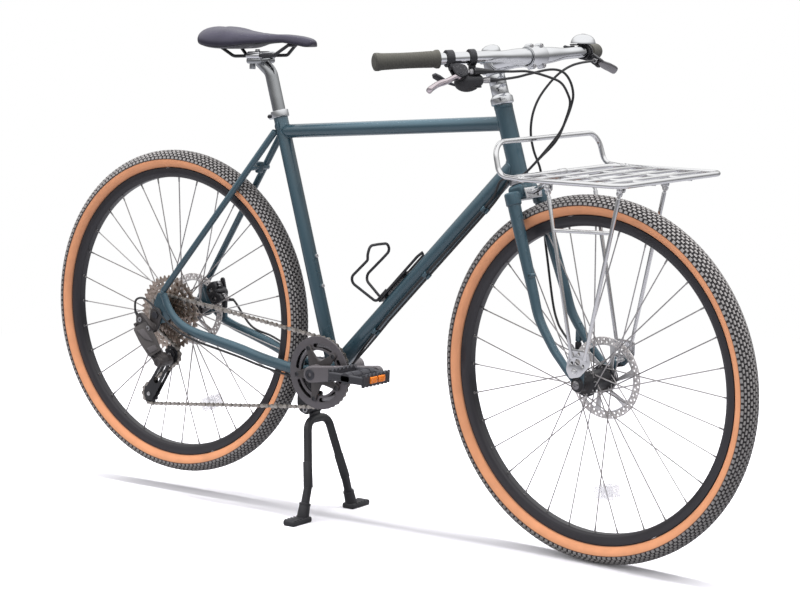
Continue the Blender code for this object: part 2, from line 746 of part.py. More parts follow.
def build_saddle_rails():
    """Two bent rails tied together under the saddle's nose and by a bar at the rear."""
    rails = []
    for side in (-1, 1):
        corners = [
            mirrored((-0.4080, 0.0340, 0.9455), side),
            mirrored((-0.3760, RAIL_HALF_SPACING, rail_height(-0.376)), side),
            mirrored((-0.2660, RAIL_HALF_SPACING, rail_height(-0.266)), side),
            mirrored((-0.2360, 0.0120, 0.9545), side),
        ]
        rails.append(pipe("rail", bent(corners, 0.016, 3), RAIL_RADIUS, 1))
    front = rod("front", (-0.2360, -0.0150, 0.9542), (-0.2360, 0.0150, 0.9542), RAIL_RADIUS, sides=6)
    rear = rod("rear", (-0.4070, -0.0370, 0.9450), (-0.4070, 0.0370, 0.9450), RAIL_RADIUS, sides=6)
    return join("saddle_rails", [*rails, front, rear])


SADDLE_STATIONS = (
    (-0.4490, 0.0420, 0.9760, 0.0085), (-0.4420, 0.0640, 0.9825, 0.0150), (-0.4220, 0.0755, 0.9860, 0.0200),
    (-0.3920, 0.0740, 0.9850, 0.0215), (-0.3620, 0.0600, 0.9800, 0.0190), (-0.3260, 0.0400, 0.9770, 0.0150),
    (-0.2880, 0.0270, 0.9770, 0.0125), (-0.2500, 0.0220, 0.9785, 0.0120), (-0.2130, 0.0205, 0.9760, 0.0115),
    (-0.1880, 0.0160, 0.9700, 0.0095), (-0.1790, 0.0085, 0.9640, 0.0050),
)


def build_saddle():
    """Padded saddle: cross-sections along its length with a two-lobed rear and a drooped nose."""
    shape = bmesh.new()
    rings = []
    for x, half_width, top, half_height in SADDLE_STATIONS:
        ring = []
        for i in range(8):
            angle = 2 * math.pi * (i + 0.5) / 8
            y = half_width * math.copysign(abs(math.cos(angle)) ** 0.80, math.cos(angle))
            lift = math.copysign(abs(math.sin(angle)) ** 0.85, math.sin(angle)) * half_height
            across = abs(y) / half_width
            droop = 0.35 * half_height * across**3
            valley = 0.0028 * max(0.0, 1 - (y / 0.016) ** 2) if lift > 0 else -0.004
            z = top - half_height + lift - droop - valley
            ring.append(shape.verts.new((x, y, z)))
        rings.append(ring)
    for first, second in zip(rings, rings[1:]):
        for i in range(8):
            j = (i + 1) % 8
            shape.faces.new((first[i], first[j], second[j], second[i]))
    shape.faces.new(rings[0])
    shape.faces.new(rings[-1])
    saddle = from_bmesh("saddle", shape)
    rounding = saddle.modifiers.new("Crown", "SUBSURF")
    rounding.levels = 1
    rounding.render_levels = 1
    return saddle


def build_stand_bracket():
    """Clamp under the chainstays that carries the stand's pivot."""
    top = block("top", (0.034, 0.038, 0.006), at((-0.158, 0.0, 0.2732)))
    web = block("web", (0.022, 0.026, 0.058), at((-0.158, 0.0, 0.2430)))
    cheeks = [
        block("cheek", (0.030, 0.006, 0.042), at((-0.156, side * 0.0170, 0.2050))) for side in (-1, 1)
    ]
    yoke = block("yoke", (0.030, 0.040, 0.010), at((-0.156, 0.0, 0.2220)))
    bolt = rod("bolt", (-0.158, 0.0, 0.2160), (-0.158, 0.0, 0.2120), 0.0060, sides=8)
    pin = rod(
        "pin", STAND_PIVOT - Vector((0, 0.0235, 0)), STAND_PIVOT + Vector((0, 0.0235, 0)), 0.0050, sides=10
    )
    return join("kickstand_bracket", [web, top, yoke, *cheeks, bolt, pin])


def build_stand_legs():
    """Cast bridge on the pivot and the two spread legs with their sleeves."""
    bore = clear_bore(0.0050, 10, 0.0004)
    hub = lathe(
        "hub", [(bore, 0.0134), (0.0110, 0.0134), (0.0110, -0.0134), (bore, -0.0134)],
        at(STAND_PIVOT) @ ALONG_Y, steps=10, ring=True,
    )
    pieces = [hub]
    pieces.append(block("neck", (0.014, 0.0262, 0.022), at((-0.1455, 0.0, 0.1800))))
    bridge = STAND_TOP + Vector((0.0, 0.0, 0.006))
    pieces.append(block("bridge", (0.020, 2 * STAND_TOP.y, 0.020), at((bridge.x, 0.0, bridge.z)), 0.003))
    for side in (-1, 1):
        top = mirrored(bridge, side)
        sleeve = mirrored(STAND_SLEEVE, side)
        foot = mirrored(STAND_FOOT, side)
        pieces.append(pipe("leg", bent([top, sleeve, foot], [0.060], 3), 0.0068))
        along = (sleeve - top).normalized()
        pieces.append(rod("sleeve", sleeve - along * 0.050, sleeve + along * 0.004, 0.0088, 0.0096, sides=8))
    return join("kickstand_legs", pieces)


def ground_frame(point):
    """Frame at a point of the level bike whose Z is upright when the bike stands on its feet."""
    return at(point) @ Matrix.Rotation(-REAR_LIFT_ANGLE, 4, "Y")


def ground_drop(point):
    """Height of a point of the level bike above the ground that it stands on."""
    offset = point - FRONT_AXLE
    rise = offset.z * math.cos(REAR_LIFT_ANGLE) - offset.x * math.sin(REAR_LIFT_ANGLE)
    return rise + WHEEL_RADIUS + LEAN_DROP


def build_stand_foot(side):
    """Plastic pad that the leg's end plugs into, reaching outward along the ground."""
    ankle = mirrored(STAND_FOOT, side)
    frame = ground_frame(ankle)
    low = -ground_drop(ankle)
    pad_centre = Vector((0.0, side * (FOOT_REACH / 2 - 0.014), low + FOOT_HEIGHT / 2))
    pad = block("pad", (FOOT_DEPTH, FOOT_REACH, FOOT_HEIGHT), frame @ at(pad_centre), 0.0025)
    leg = (mirrored(STAND_SLEEVE, side) - ankle).normalized()
    base = ankle - leg * 0.002
    boot = rod("boot", base, ankle + leg * 0.030, 0.0125, 0.0100, sides=10)
    made = join("kickstand_foot", [pad, boot])
    return cut(
        made, [rod("socket", ankle - leg * SEAT_GAP, ankle + leg * 0.040, clear_bore(0.0068, 10), sides=10)]
    )


def build_tyre(centre):
    """Tyre: its beads sit in the rim's channel and its crown is a flat-sided round."""
    inner = RIM_WIDTH / 2 - RIM_WALL - SEAT_GAP
    half = TYRE_WIDTH / 2
    crown = WHEEL_RADIUS
    side = [
        (BEAD_RADIUS, inner), (RIM_LIP_RADIUS + 0.0010, inner),
        (crown - 0.0240, half), (crown - 0.0090, half * 0.88), (crown, half * TREAD_SHARE),
    ]
    profile = [(r, y) for r, y in side] + [(r, -y) for r, y in reversed(side)]
    return lathe("tyre", profile, at(centre) @ ALONG_Y, steps=WHEEL_STEPS, phase=wheel_phase(), ring=True)


def wheel_phase():
    """Turn that puts a corner of the many-sided wheel straight down once the bike stands tipped."""
    return -math.pi / 2 - REAR_LIFT_ANGLE


def build_rim(centre):
    """Double-wall rim, open outward to take the tyre."""
    half = RIM_WIDTH / 2
    profile = [
        (RIM_LIP_RADIUS, half), (RIM_INNER_RADIUS, half * 0.80), (RIM_INNER_RADIUS, -half * 0.80),
        (RIM_LIP_RADIUS, -half), (RIM_LIP_RADIUS, -half + RIM_WALL),
        (BEAD_RADIUS - SEAT_GAP, -half + RIM_WALL), (BEAD_RADIUS - SEAT_GAP, half - RIM_WALL),
        (RIM_LIP_RADIUS, half - RIM_WALL),
    ]
    return lathe("rim", profile, at(centre) @ ALONG_Y, steps=WHEEL_STEPS, phase=wheel_phase(), ring=True)


def build_hub(centre, body, flanges, bore_radius, reflector_angle):
    """Hub body with its spokes laced tangentially and a wheel reflector clipped between two of them."""
    bore = clear_bore(bore_radius, 12, 0.0004)
    profile = [(bore, body[0][1]), *body, (bore, body[-1][1])]
    pieces = [lathe("barrel", profile, at(centre) @ ALONG_Y, steps=10, ring=True)]
    reach = RIM_INNER_RADIUS - 2 * SEAT_GAP
    step = 2 * math.pi / SPOKE_COUNT
    for i in range(SPOKE_COUNT):
        side = i % 2
        trailing = (i // 2) % 2
        flange_y, flange_radius = flanges[side]
        rim_angle = wheel_phase() + i * step
        lean = math.radians(68.0) * (1 if trailing else -1)
        root = polar(flange_radius, rim_angle + lean)
        tip = polar(reach, rim_angle)
        offset = (0.0016 if trailing else -0.0016) * (1 if flange_y > 0 else -1)
        start = centre + Vector((root[0], flange_y + offset, -root[1]))
        end = centre + Vector((tip[0], flange_y * 0.10 + offset * 0.2, -tip[1]))
        pieces.append(rod("spoke", start, end, SPOKE_RADIUS, sides=3))
    middle = polar(0.215, reflector_angle)
    turn = Matrix.Rotation(reflector_angle, 4, "Y")
    spot = centre + Vector((middle[0], 0.0, -middle[1]))
    pieces.append(block("reflector", (0.030, 0.026, 0.050), at(spot) @ turn))
    return join("hub", pieces)


def build_rotor(centre, y, bore):
    """Brake disc: a braking band carried by slanted arms."""
    windows = []
    for i in range(6):
        start = 2 * math.pi * i / 6
        inner = [polar(0.0290, start + a) for a in (0.16, 0.86)]
        outer = [polar(0.0655, start + a) for a in (1.16, 0.46)]
        windows.append(inner + outer)
    place = at((centre.x, y, centre.z)) @ SIDE_ON
    return prism("rotor", circle(ROTOR_RADIUS, 28), ROTOR_THICKNESS, place, [*windows, circle(bore, 12)])


def chain_circles():
    """Pitch circles the chain runs round, in order: ring, cog, guide pulley and tension pulley.

    Each has its centre in (x, z), its radius and its turning sense, +1 where the chain runs anticlockwise
    as seen from the drive side with forward to the right.
    """
    cog = pitch_radius(COG_TEETH[COG_IN_USE])
    pulley = pitch_radius(PULLEY_TEETH)
    return (
        (np.array((BRACKET.x, BRACKET.z)), pitch_radius(RING_TEETH), 1),
        (np.array((REAR_AXLE.x, REAR_AXLE.z)), cog, 1),
        (np.array((GUIDE_PULLEY.x, GUIDE_PULLEY.z)), pulley, -1),
        (np.array((TENSION_PULLEY.x, TENSION_PULLEY.z)), pulley, 1),
    )


def tangent(first, second):
    """End points of the straight run from one pitch circle to the next."""
    (c1, r1, s1), (c2, r2, s2) = first, second
    gap = c2 - c1
    distance = np.linalg.norm(gap)
    heading = math.atan2(gap[1], gap[0])
    across = math.asin((s1 * r1 - s2 * r2) / distance)
    normal = heading - math.pi / 2 + across
    unit = np.array((math.cos(normal), math.sin(normal)))
    return c1 + unit * r1 * s1, c2 + unit * r2 * s2


def chain_line():
    """The chain's closed pitch line as fine points, with the running length at each."""
    circles = chain_circles()
    runs = [tangent(circles[i], circles[(i + 1) % 4]) for i in range(4)]
    points = []
    for i, (centre, radius, sense) in enumerate(circles):
        start = runs[i - 1][1] - centre
        end = runs[i][0] - centre
        first = math.atan2(start[1], start[0])
        sweep = (sense * (math.atan2(end[1], end[0]) - first)) % (2 * math.pi)
        for t in np.linspace(0.0, 1.0, 90):
            points.append(centre + np.array(polar(radius, first + sense * sweep * t)))
        for t in np.linspace(0.0, 1.0, 40)[1:-1]:
            points.append(runs[i][0] * (1 - t) + runs[i][1] * t)
    line = np.array([*points, points[0]])
    run = np.concatenate([[0.0], np.cumsum(np.linalg.norm(np.diff(line, axis=0), axis=1))])
    return line, run


def chain_links():
    """Number of links that closes the chain with its pitch nearest to the true one, always an even one."""
    _, run = chain_line()
    return 2 * round(run[-1] / CHAIN_PITCH / 2)


def chain_point(distance):
    """Point and heading of the pitch line at a running length."""
    line, run = chain_line()
    places = np.mod(distance, run[-1])
    ahead = np.mod(places + 1e-4, run[-1])
    here = np.stack([np.interp(places, run, line[:, k]) for k in (0, 1)], axis=1)
    there = np.stack([np.interp(ahead, run, line[:, k]) for k in (0, 1)], axis=1)
    heading = there - here
    return here, heading / np.linalg.norm(heading, axis=1, keepdims=True)


def gap_phase(centre):
    """Angle round a sprocket's centre of the chain pin nearest to it."""
    _, run = chain_line()
    links = chain_links()
    pins, _ = chain_point(np.arange(links) * run[-1] / links)
    offsets = pins - np.array((centre.x, centre.z))
    nearest = offsets[np.argmin(np.linalg.norm(offsets, axis=1) + 1e-4 * np.abs(offsets[:, 1]))]
    return math.atan2(nearest[1], nearest[0])


def wrapped_pins():
    """Running lengths of the chain's pins that lie within reach of a sprocket's teeth, and the pitch."""
    _, run = chain_line()
    links = chain_links()
    pitch = run[-1] / links
    places = np.arange(links) * pitch
    pins, _ = chain_point(places)
    near = np.zeros(links, dtype=bool)
    for centre, radius, _ in chain_circles():
        near |= np.linalg.norm(pins - centre, axis=1) < radius + TOOTH_TIP + CHAIN_HALF_HEIGHT + RUNNING_GAP
    return places[near], pitch


def build_chain():
    """Roller chain: two side plates tied at every pin, so that teeth pass between the pins.

    Along the straight runs the plates and pins are one plain bar.
    """
    places, pitch = wrapped_pins()
    stations = np.stack([places - CHAIN_PIN / 2, places + CHAIN_PIN / 2], axis=1).ravel()
    points, headings = chain_point(stations)
    normals = np.stack([-headings[:, 1], headings[:, 0]], axis=1)
    shape = bmesh.new()
    rows = []
    levels = (
        -CHAIN_HALF_WIDTH, -CHAIN_HALF_WIDTH + CHAIN_PLATE, CHAIN_HALF_WIDTH - CHAIN_PLATE, CHAIN_HALF_WIDTH
    )
    for point, normal in zip(points, normals):
        low = point - normal * CHAIN_HALF_HEIGHT
        high = point + normal * CHAIN_HALF_HEIGHT
        rows.append([shape.verts.new((x, CHAIN_Y + y, z)) for x, z in (low, high) for y in levels])
    count = len(rows)
    bar = [(0, 1), (1, 2), (2, 3), (3, 7), (7, 6), (6, 5), (5, 4), (4, 0)]
    plates = [(0, 1), (1, 5), (5, 4), (4, 0), (2, 3), (3, 7), (7, 6), (6, 2)]
    for i, first in enumerate(rows):
        second = rows[(i + 1) % count]
        gap = i % 2 and (places[(i // 2 + 1) % len(places)] - places[i // 2]) % (pitch * 1e4) < pitch * 1.5
        if i % 2 and i == count - 1:
            gap = abs(places[0] + pitch * chain_links() - places[-1]) < pitch * 1.5
        for j, k in plates if gap else bar:
            shape.faces.new((first[j], first[k], second[k], second[j]))
        if gap:
            shape.faces.new((first[1], first[2], first[6], first[5]))
            shape.faces.new((second[1], second[2], second[6], second[5]))
    return from_bmesh("chain", shape)


def cog_y(index):
    """Where a sprocket of the cassette lies, the smallest outermost."""
    return CHAIN_Y + (index - COG_IN_USE) * COG_SPACING


def build_cassette():
    """Nine toothed sprockets on a stepped carrier, the larger ones opened between their arms."""
    bore = clear_bore(FREEHUB_RADIUS, 10, 0.0004)
    top = cog_y(len(COG_TEETH) - 1)
    low = cog_y(0)
    start = Vector((REAR_AXLE.x, low - 0.0022, REAR_AXLE.z))
    end = Vector((REAR_AXLE.x, top + 0.0013, REAR_AXLE.z))
    middle = Vector((REAR_AXLE.x, cog_y(4) - 0.0003, REAR_AXLE.z))
    inner = middle + Vector((0.0, 0.0030, 0.0))
    pieces = [rod("carrier", start, inner, 0.0158, sides=10), rod("step", middle, end, 0.0250, sides=10)]
    phase = gap_phase(REAR_AXLE)
    for index, teeth in enumerate(COG_TEETH):
        holes = []
        edge = pitch_radius(teeth) - TOOTH_ROOT
        if edge > 0.070:
            for i in range(5):
                start_angle = 2 * math.pi * i / 5
                inner = [polar(0.0310, start_angle + a) for a in (0.24, 1.00)]
                outer = [polar(edge - 0.0075, start_angle + a) for a in (1.12, 0.62, 0.12)]
                holes.append(inner + outer)
        place = at((REAR_AXLE.x, cog_y(index), REAR_AXLE.z)) @ SIDE_ON
        pieces.append(prism("cog", toothed(teeth, phase), COG_THICKNESS, place, holes))
    solid = join("cassette", pieces)
    past = Vector((0.0, 0.004, 0.0))
    return cut(solid, [rod("bore", start - past, end + past, bore, sides=10)])


def spider_angle(index):
    """Angle of a spider arm from forward."""
    return CRANK_ANGLE + math.pi / 5 + 2 * math.pi * index / 5


def build_chainring():
    """Toothed ring and slotted guard, held together by five hollow bolts."""
    phase = gap_phase(BRACKET)
    ring_place = at((BRACKET.x, CHAIN_Y, BRACKET.z)) @ SIDE_ON
    window = circle(0.0475, 15)
    ring = prism("ring", toothed(RING_TEETH, phase), 0.0018, ring_place, [window])
    guard_place = at((BRACKET.x, GUARD_Y, BRACKET.z)) @ SIDE_ON
    holes = [window]
    bolts = []
    for i in range(5):
        angle = spider_angle(i)
        holes.append(arc_slot(0.0560, 0.0030, angle + math.pi / 5, math.radians(19), 3))
        x, z = polar(BOLT_CIRCLE, angle)
        start = Vector((BRACKET.x + x, CHAIN_Y + 0.0005, BRACKET.z + z))
        end = Vector((BRACKET.x + x, GUARD_Y + GUARD_THICKNESS / 2 - 0.0002, BRACKET.z + z))
        bolts.append(rod("bolt", start, end, 0.0050, sides=6))
    guard = prism("guard", circle(GUARD_RADIUS, 30), GUARD_THICKNESS, guard_place, holes)
    return join("chainring", [guard, ring, *bolts])


def arm_outline(angle):
    """Outline of a crank arm that points at an angle, from the bottom bracket."""
    return round_hull((0.0, 0.0), 0.0175, polar(CRANK_LENGTH, angle), 0.0125, 6)


def crank_block(angle, side):
    """A crank arm's flat bar."""
    y = side * (CRANK_INNER_Y + CRANK_THICKNESS / 2)
    return prism("arm", arm_outline(angle), CRANK_THICKNESS, at((BRACKET.x, y, BRACKET.z)) @ SIDE_ON)


def build_crank_right():
    """Drive-side crank with its five-armed spider and the spindle through the frame."""
    outer_face = GUARD_Y - GUARD_THICKNESS / 2 - SEAT_GAP
    thickness = 0.0045
    spider_y = outer_face - thickness / 2
    pieces = [crank_block(CRANK_ANGLE, -1)]
    star = []
    for i in range(5):
        angle = spider_angle(i)
        star.append(polar(0.0240, angle - math.pi / 5))
        star.append(polar(0.0610, angle - 0.105))
        star.append(polar(0.0610, angle + 0.105))
    pieces.append(prism("spider", star, thickness, at((BRACKET.x, spider_y, BRACKET.z)) @ SIDE_ON))
    centre = Vector((BRACKET.x, 0.0, BRACKET.z))
    boss_in = centre - Vector((0.0, SHELL_WIDTH / 2 + 0.0085, 0.0))
    pieces.append(rod("boss", boss_in, centre - Vector((0.0, CRANK_INNER_Y + 0.002, 0.0)), 0.0190, sides=16))
    spindle_end = centre + Vector((0.0, CRANK_INNER_Y - SEAT_GAP, 0.0))
    pieces.append(rod("spindle", spindle_end, boss_in - Vector((0.0, 0.004, 0.0)), SPINDLE_RADIUS, sides=12))
    face = CRANK_INNER_Y + CRANK_THICKNESS
    pieces.append(
        rod(
            "cap", centre - Vector((0, face - 0.002, 0)), centre - Vector((0, face + 0.0015, 0)), 0.0110,
            sides=14
        )
    )
    pieces.append(pedal_stub(-1))
    arm = join("crank_right", pieces)
    hole = rod(
        "hole", centre - Vector((0, face - 0.003, 0)), centre - Vector((0, face + 0.004, 0)), 0.0032, sides=6
    )
    return cut(arm, [hole])


def pedal_centre(side):
    """Where the pedal axle leaves the crank's outer face."""
    angle = CRANK_ANGLE if side < 0 else CRANK_ANGLE + math.pi
    x, z = polar(CRANK_LENGTH, angle)
    return Vector((BRACKET.x + x, side * (CRANK_INNER_Y + CRANK_THICKNESS), BRACKET.z + z))


def pedal_stub(side):
    """Pedal axle screwed into the crank's end."""
    start = pedal_centre(side)
    reach = Vector((0.0, side * (PEDAL_GAP_FROM_CRANK + PEDAL_WIDTH - 0.008), 0.0))
    return rod("axle", start - Vector((0.0, side * 0.004, 0.0)), start + reach, PEDAL_AXLE_RADIUS, sides=10)


def build_crank_left():
    """Left crank on the spindle's end, with its pinch slot and bolts."""
    pieces = [crank_block(CRANK_ANGLE + math.pi, 1), pedal_stub(1)]
    centre = Vector((BRACKET.x, 0.0, BRACKET.z))
    inner = SHELL_WIDTH / 2 + 0.0085
    bore = clear_bore(SPINDLE_RADIUS, 12)
    collar = [(bore, CRANK_INNER_Y + 0.001), (0.0175, CRANK_INNER_Y + 0.001), (0.0175, inner), (bore, inner)]
    pieces.append(lathe("collar", collar, at(centre) @ ALONG_Y, steps=12, ring=True))
    return join("crank_left", pieces)


def build_pedal(side):
    """Platform pedal: serrated front and rear plates tied by end bars round a barrel, with a reflector."""
    start = pedal_centre(side) + Vector((0.0, side * PEDAL_GAP_FROM_CRANK, 0.0))
    centre = start + Vector((0.0, side * PEDAL_WIDTH / 2, 0.0))
    bore = clear_bore(PEDAL_AXLE_RADIUS, 10, 0.0004)
    reach = Vector((0.0, side * PEDAL_WIDTH / 2, 0.0))
    pieces = [rod("barrel", centre - reach, centre + reach, 0.0120, 0.0105, sides=10)]
    teeth = 6
    width = PEDAL_WIDTH - 0.006
    edge = []
    for i in range(teeth * 2 + 1):
        edge.append((-width / 2 + width * i / (teeth * 2), PEDAL_HEIGHT / 2 - (0.0 if i % 2 else 0.0035)))
    outline = edge + [(x, -z) for x, z in reversed(edge)]
    across = Matrix(((0, 0, 1, 0), (1, 0, 0, 0), (0, 1, 0, 0), (0, 0, 0, 1)))
    for end in (-1, 1):
        x = end * (PEDAL_LENGTH / 2 - 0.0030)
        pieces.append(prism("rail", outline, 0.0060, at(centre + Vector((x, 0.0, 0.0))) @ across))
        y = end * (PEDAL_WIDTH / 2 - 0.0045)
        pieces.append(block("bar", (PEDAL_LENGTH - 0.004, 0.009, 0.016), at(centre + Vector((0.0, y, 0.0)))))
        lamp = Vector((end * (PEDAL_LENGTH / 2 + 0.0005), 0.0, 0.0))
        pieces.append(block("reflector", (0.0060, 0.046, 0.013), at(centre + lamp)))
    pedal = join("pedal", pieces)
    return cut(pedal, [rod("bore", start - reach * 0.1, centre + reach - reach * 0.13, bore, sides=10)])


MECH_TOP = Vector((-0.5640, -0.0860, 0.3250))
MECH_LOW = Vector((-0.5230, -0.0840, 0.2730))
STOP_BASE = Vector((-0.5690, -0.0840, 0.3330))
STOP_TIP = Vector((-0.5780, -0.0870, 0.3500))
LINK_HALF = 0.0085
DRUM_RADIUS = 0.0115
KNUCKLE_Y = -0.0585
CAGE_PIVOT = Vector((-0.5080, 0.0, 0.2580))
MECH_SLANT = 1.10
EAR_THICKNESS = 0.0045
MECH_LINK = (MECH_LOW - MECH_TOP).normalized()
MECH_SWING = MECH_LINK.cross(Vector((0.0, 1.0, -MECH_SLANT))).normalized()


def axis_frame(origin, axis, across):
    """Frame at a point with Z on an axis and X near another direction."""
    z = Vector(axis).normalized()
    x = (Vector(across) - z * Vector(across).dot(z)).normalized()
    y = z.cross(x)
    return at(origin) @ Matrix((x, y, z)).transposed().to_4x4()


def mech_ears(frame, along, inboard):
    """The two ears that hold a link's pin, one on each side of the link."""
    reach = LINK_HALF + RUNNING_GAP + EAR_THICKNESS / 2
    size = (0.0240, 0.0150, EAR_THICKNESS)
    return [block("ear", size, frame @ at((along, inboard, end * reach))) for end in (-1, 1)]


def build_mech_bracket():
    """Rear mech's upper body, bolted to the hanger, with two ears for the links and the housing stop."""
    y = -(REAR_SPACING / 2 + DROPOUT_THICKNESS + 2 * SEAT_GAP)
    hanger = Vector((HANGER_BOLT.x, y, HANGER_BOLT.z - 0.002))
    pieces = [rod("boss", hanger, hanger - Vector((0.0, 0.0190, 0.0)), 0.0070, sides=10)]
    pieces.append(rod("bolt", hanger + Vector((0.0, DROPOUT_THICKNESS, 0.0)), hanger, 0.0034, sides=8))
    outline = round_hull((HANGER_BOLT.x, HANGER_BOLT.z - 0.002), 0.0090, (-0.5680, 0.3320), 0.0110, 5)
    pieces.append(prism("plate", outline, 0.0055, at((0.0, hanger.y - 0.0030, 0.0)) @ SIDE_ON))
    frame = axis_frame(MECH_TOP, MECH_SWING, MECH_LINK)
    pieces.extend(mech_ears(frame, -0.0050, 0.0030))
    width = 2 * (LINK_HALF + RUNNING_GAP + EAR_THICKNESS)
    pieces.append(block("back", (0.0060, 0.0120, width), frame @ at((-0.0140, 0.0020, 0.0))))
    pieces.append(rod("stop", STOP_BASE, STOP_TIP, 0.0060, 0.0042, sides=8))
    behind = [polar(0.0068, a) for a in np.linspace(math.radians(75), math.radians(285), 6)]
    room = prism("room", [*behind, (0.0300, -0.0165), (0.0300, 0.0165)], 2 * LINK_HALF + RUNNING_GAP, frame)
    return cut(join("mech_bracket", pieces), [room])


def build_mech_link():
    """Parallelogram link of the rear mech, drawn as one broad plate between its two pins."""
    frame = axis_frame(MECH_TOP, MECH_SWING, MECH_LINK)
    length = (MECH_LOW - MECH_TOP).length
    outline = round_hull((0.0, 0.0), 0.0060, (length, 0.0), 0.0055, 5)
    return prism("mech_outer_link", outline, 2 * LINK_HALF, frame)


def build_mech_knuckle():
    """Lower body of the rear mech: ears for the links and the round housing of the cage's spring."""
    frame = axis_frame(MECH_LOW, MECH_SWING, MECH_LINK)
    pieces = mech_ears(frame, 0.0040, 0.0)
    width = 2 * (LINK_HALF + RUNNING_GAP + EAR_THICKNESS)
    pieces.append(block("web", (0.0080, 0.0150, width), frame @ at((0.0120, 0.0, 0.0))))
    drum = CAGE_PIVOT + Vector((0.0, -0.0980, 0.0))
    pieces.append(rod("drum", drum, CAGE_PIVOT + Vector((0.0, KNUCKLE_Y, 0.0)), DRUM_RADIUS, sides=12))
    return join("mech_knuckle", pieces)


def build_mech_cage():
    """Cage of the rear mech: two plates each side of the chain joined by the pulley bolts."""
    half = 0.0058
    plates = []
    outer_y = CHAIN_Y - half - 0.0010
    inner_y = CHAIN_Y + half + 0.0010
    for y in (outer_y, inner_y):
        outline = round_hull(
            (GUIDE_PULLEY.x, GUIDE_PULLEY.z), 0.0115, (TENSION_PULLEY.x, TENSION_PULLEY.z), 0.0150, 5
        )
        slot = round_hull((-0.5290, 0.2390), 0.0042, (-0.5440, 0.2140), 0.0042, 4)
        plates.append(prism("plate", outline, 0.0020, at((0.0, y, 0.0)) @ SIDE_ON, [slot]))
    pieces = list(plates)
    for centre in (GUIDE_PULLEY, TENSION_PULLEY):
        start = Vector((centre.x, outer_y - 0.0030, centre.z))
        end = Vector((centre.x, inner_y + 0.0020, centre.z))
        pieces.append(rod("bolt", start, end, 0.0034, sides=8))
    pin_outer = Vector((CAGE_PIVOT.x, outer_y, CAGE_PIVOT.z))
    pin_end = Vector((CAGE_PIVOT.x, KNUCKLE_Y + SEAT_GAP, CAGE_PIVOT.z))
    pieces.append(rod("pivot", pin_outer, pin_end, 0.0075, sides=10))
    return join("mech_cage", pieces)


def build_pulley(centre):
    """Toothed jockey wheel."""
    phase = gap_phase(centre)
    bore = clear_bore(0.0034, 8, 0.0003)
    holes = [circle(bore, 8)]
    place = at((centre.x, centre.y, centre.z)) @ SIDE_ON
    return prism("pulley", toothed(PULLEY_TEETH, phase, PULLEY_TIP), 0.0020, place, holes)


def build_rear_axle():
    """Rear axle through the hub with a nut on the outside of each dropout."""
    outside = REAR_SPACING / 2 + DROPOUT_THICKNESS + 2 * SEAT_GAP
    pieces = [
        rod(
            "axle", REAR_AXLE - Vector((0, outside + 0.004, 0)), REAR_AXLE + Vector((0, outside + 0.004, 0)),
            0.0047, sides=12
        )
    ]
    for side in (-1, 1):
        start = REAR_AXLE + Vector((0.0, side * outside, 0.0))
        pieces.append(rod("nut", start, start + Vector((0.0, side * 0.0080, 0.0)), 0.0095, 0.0080, sides=10))
    return join("rear_axle", pieces)


def build_front_axle():
    """Front axle through the hub with a round cap outside each fork tip."""
    outside = FRONT_SPACING / 2 + DROPOUT_THICKNESS + 2 * SEAT_GAP
    pieces = [
        rod(
            "axle", FRONT_AXLE - Vector((0, outside + 0.003, 0)),
            FRONT_AXLE + Vector((0, outside + 0.003, 0)), 0.0047, sides=12
        )
    ]
    for side in (-1, 1):
        start = FRONT_AXLE + Vector((0.0, side * outside, 0.0))
        pieces.append(rod("cap", start, start + Vector((0.0, side * 0.0095, 0.0)), 0.0105, 0.0075, sides=12))
    return join("front_axle", pieces)


CALIPER_DEPTH = 0.027
ADJUSTER_BASE = Vector((0.0100, 0.0150, 0.0))
ADJUSTER_TIP = Vector((0.0260, 0.0300, 0.0))


def caliper_frame(centre, axle):
    """Frame of a caliper: X outward from the axle, Z across the rotor."""
    return axis_frame(centre, (0.0, 1.0, 0.0), (centre - axle) * Vector((1.0, 0.0, 1.0)))


def build_caliper(centre, axle, rotor_y, seat, up):
    """Disc caliper astride the rotor's edge, with its cylinder, cable adjuster, arm and foot on its tab."""
    frame = caliper_frame(centre, axle)
    pieces = [
        block("body", (0.034, 0.050, CALIPER_DEPTH), frame, 0.005),
        rod(
            "cylinder", frame @ Vector((0.0, 0.0, 0.012)), frame @ Vector((0.0, 0.0, 0.0240)), 0.0145, 0.0130,
            sides=10
        ),
        rod("adjuster", frame @ ADJUSTER_BASE, frame @ ADJUSTER_TIP, 0.0050, 0.0042, sides=6),
        block("arm", (0.012, 0.040, 0.006), frame @ at((0.014, -0.010, 0.0160))),
        block("foot", (0.012, 0.008, 0.024), at(seat + Vector((0.0, 0.0, up * (0.012 + SEAT_GAP))))),
    ]
    body = join("caliper", pieces)
    slot = Vector((-0.0215, 0.0, rotor_y - centre.y))
    return cut(body, [block("slot", (0.060, 0.080, ROTOR_THICKNESS + 2 * ROTOR_GAP), frame @ at(slot))])


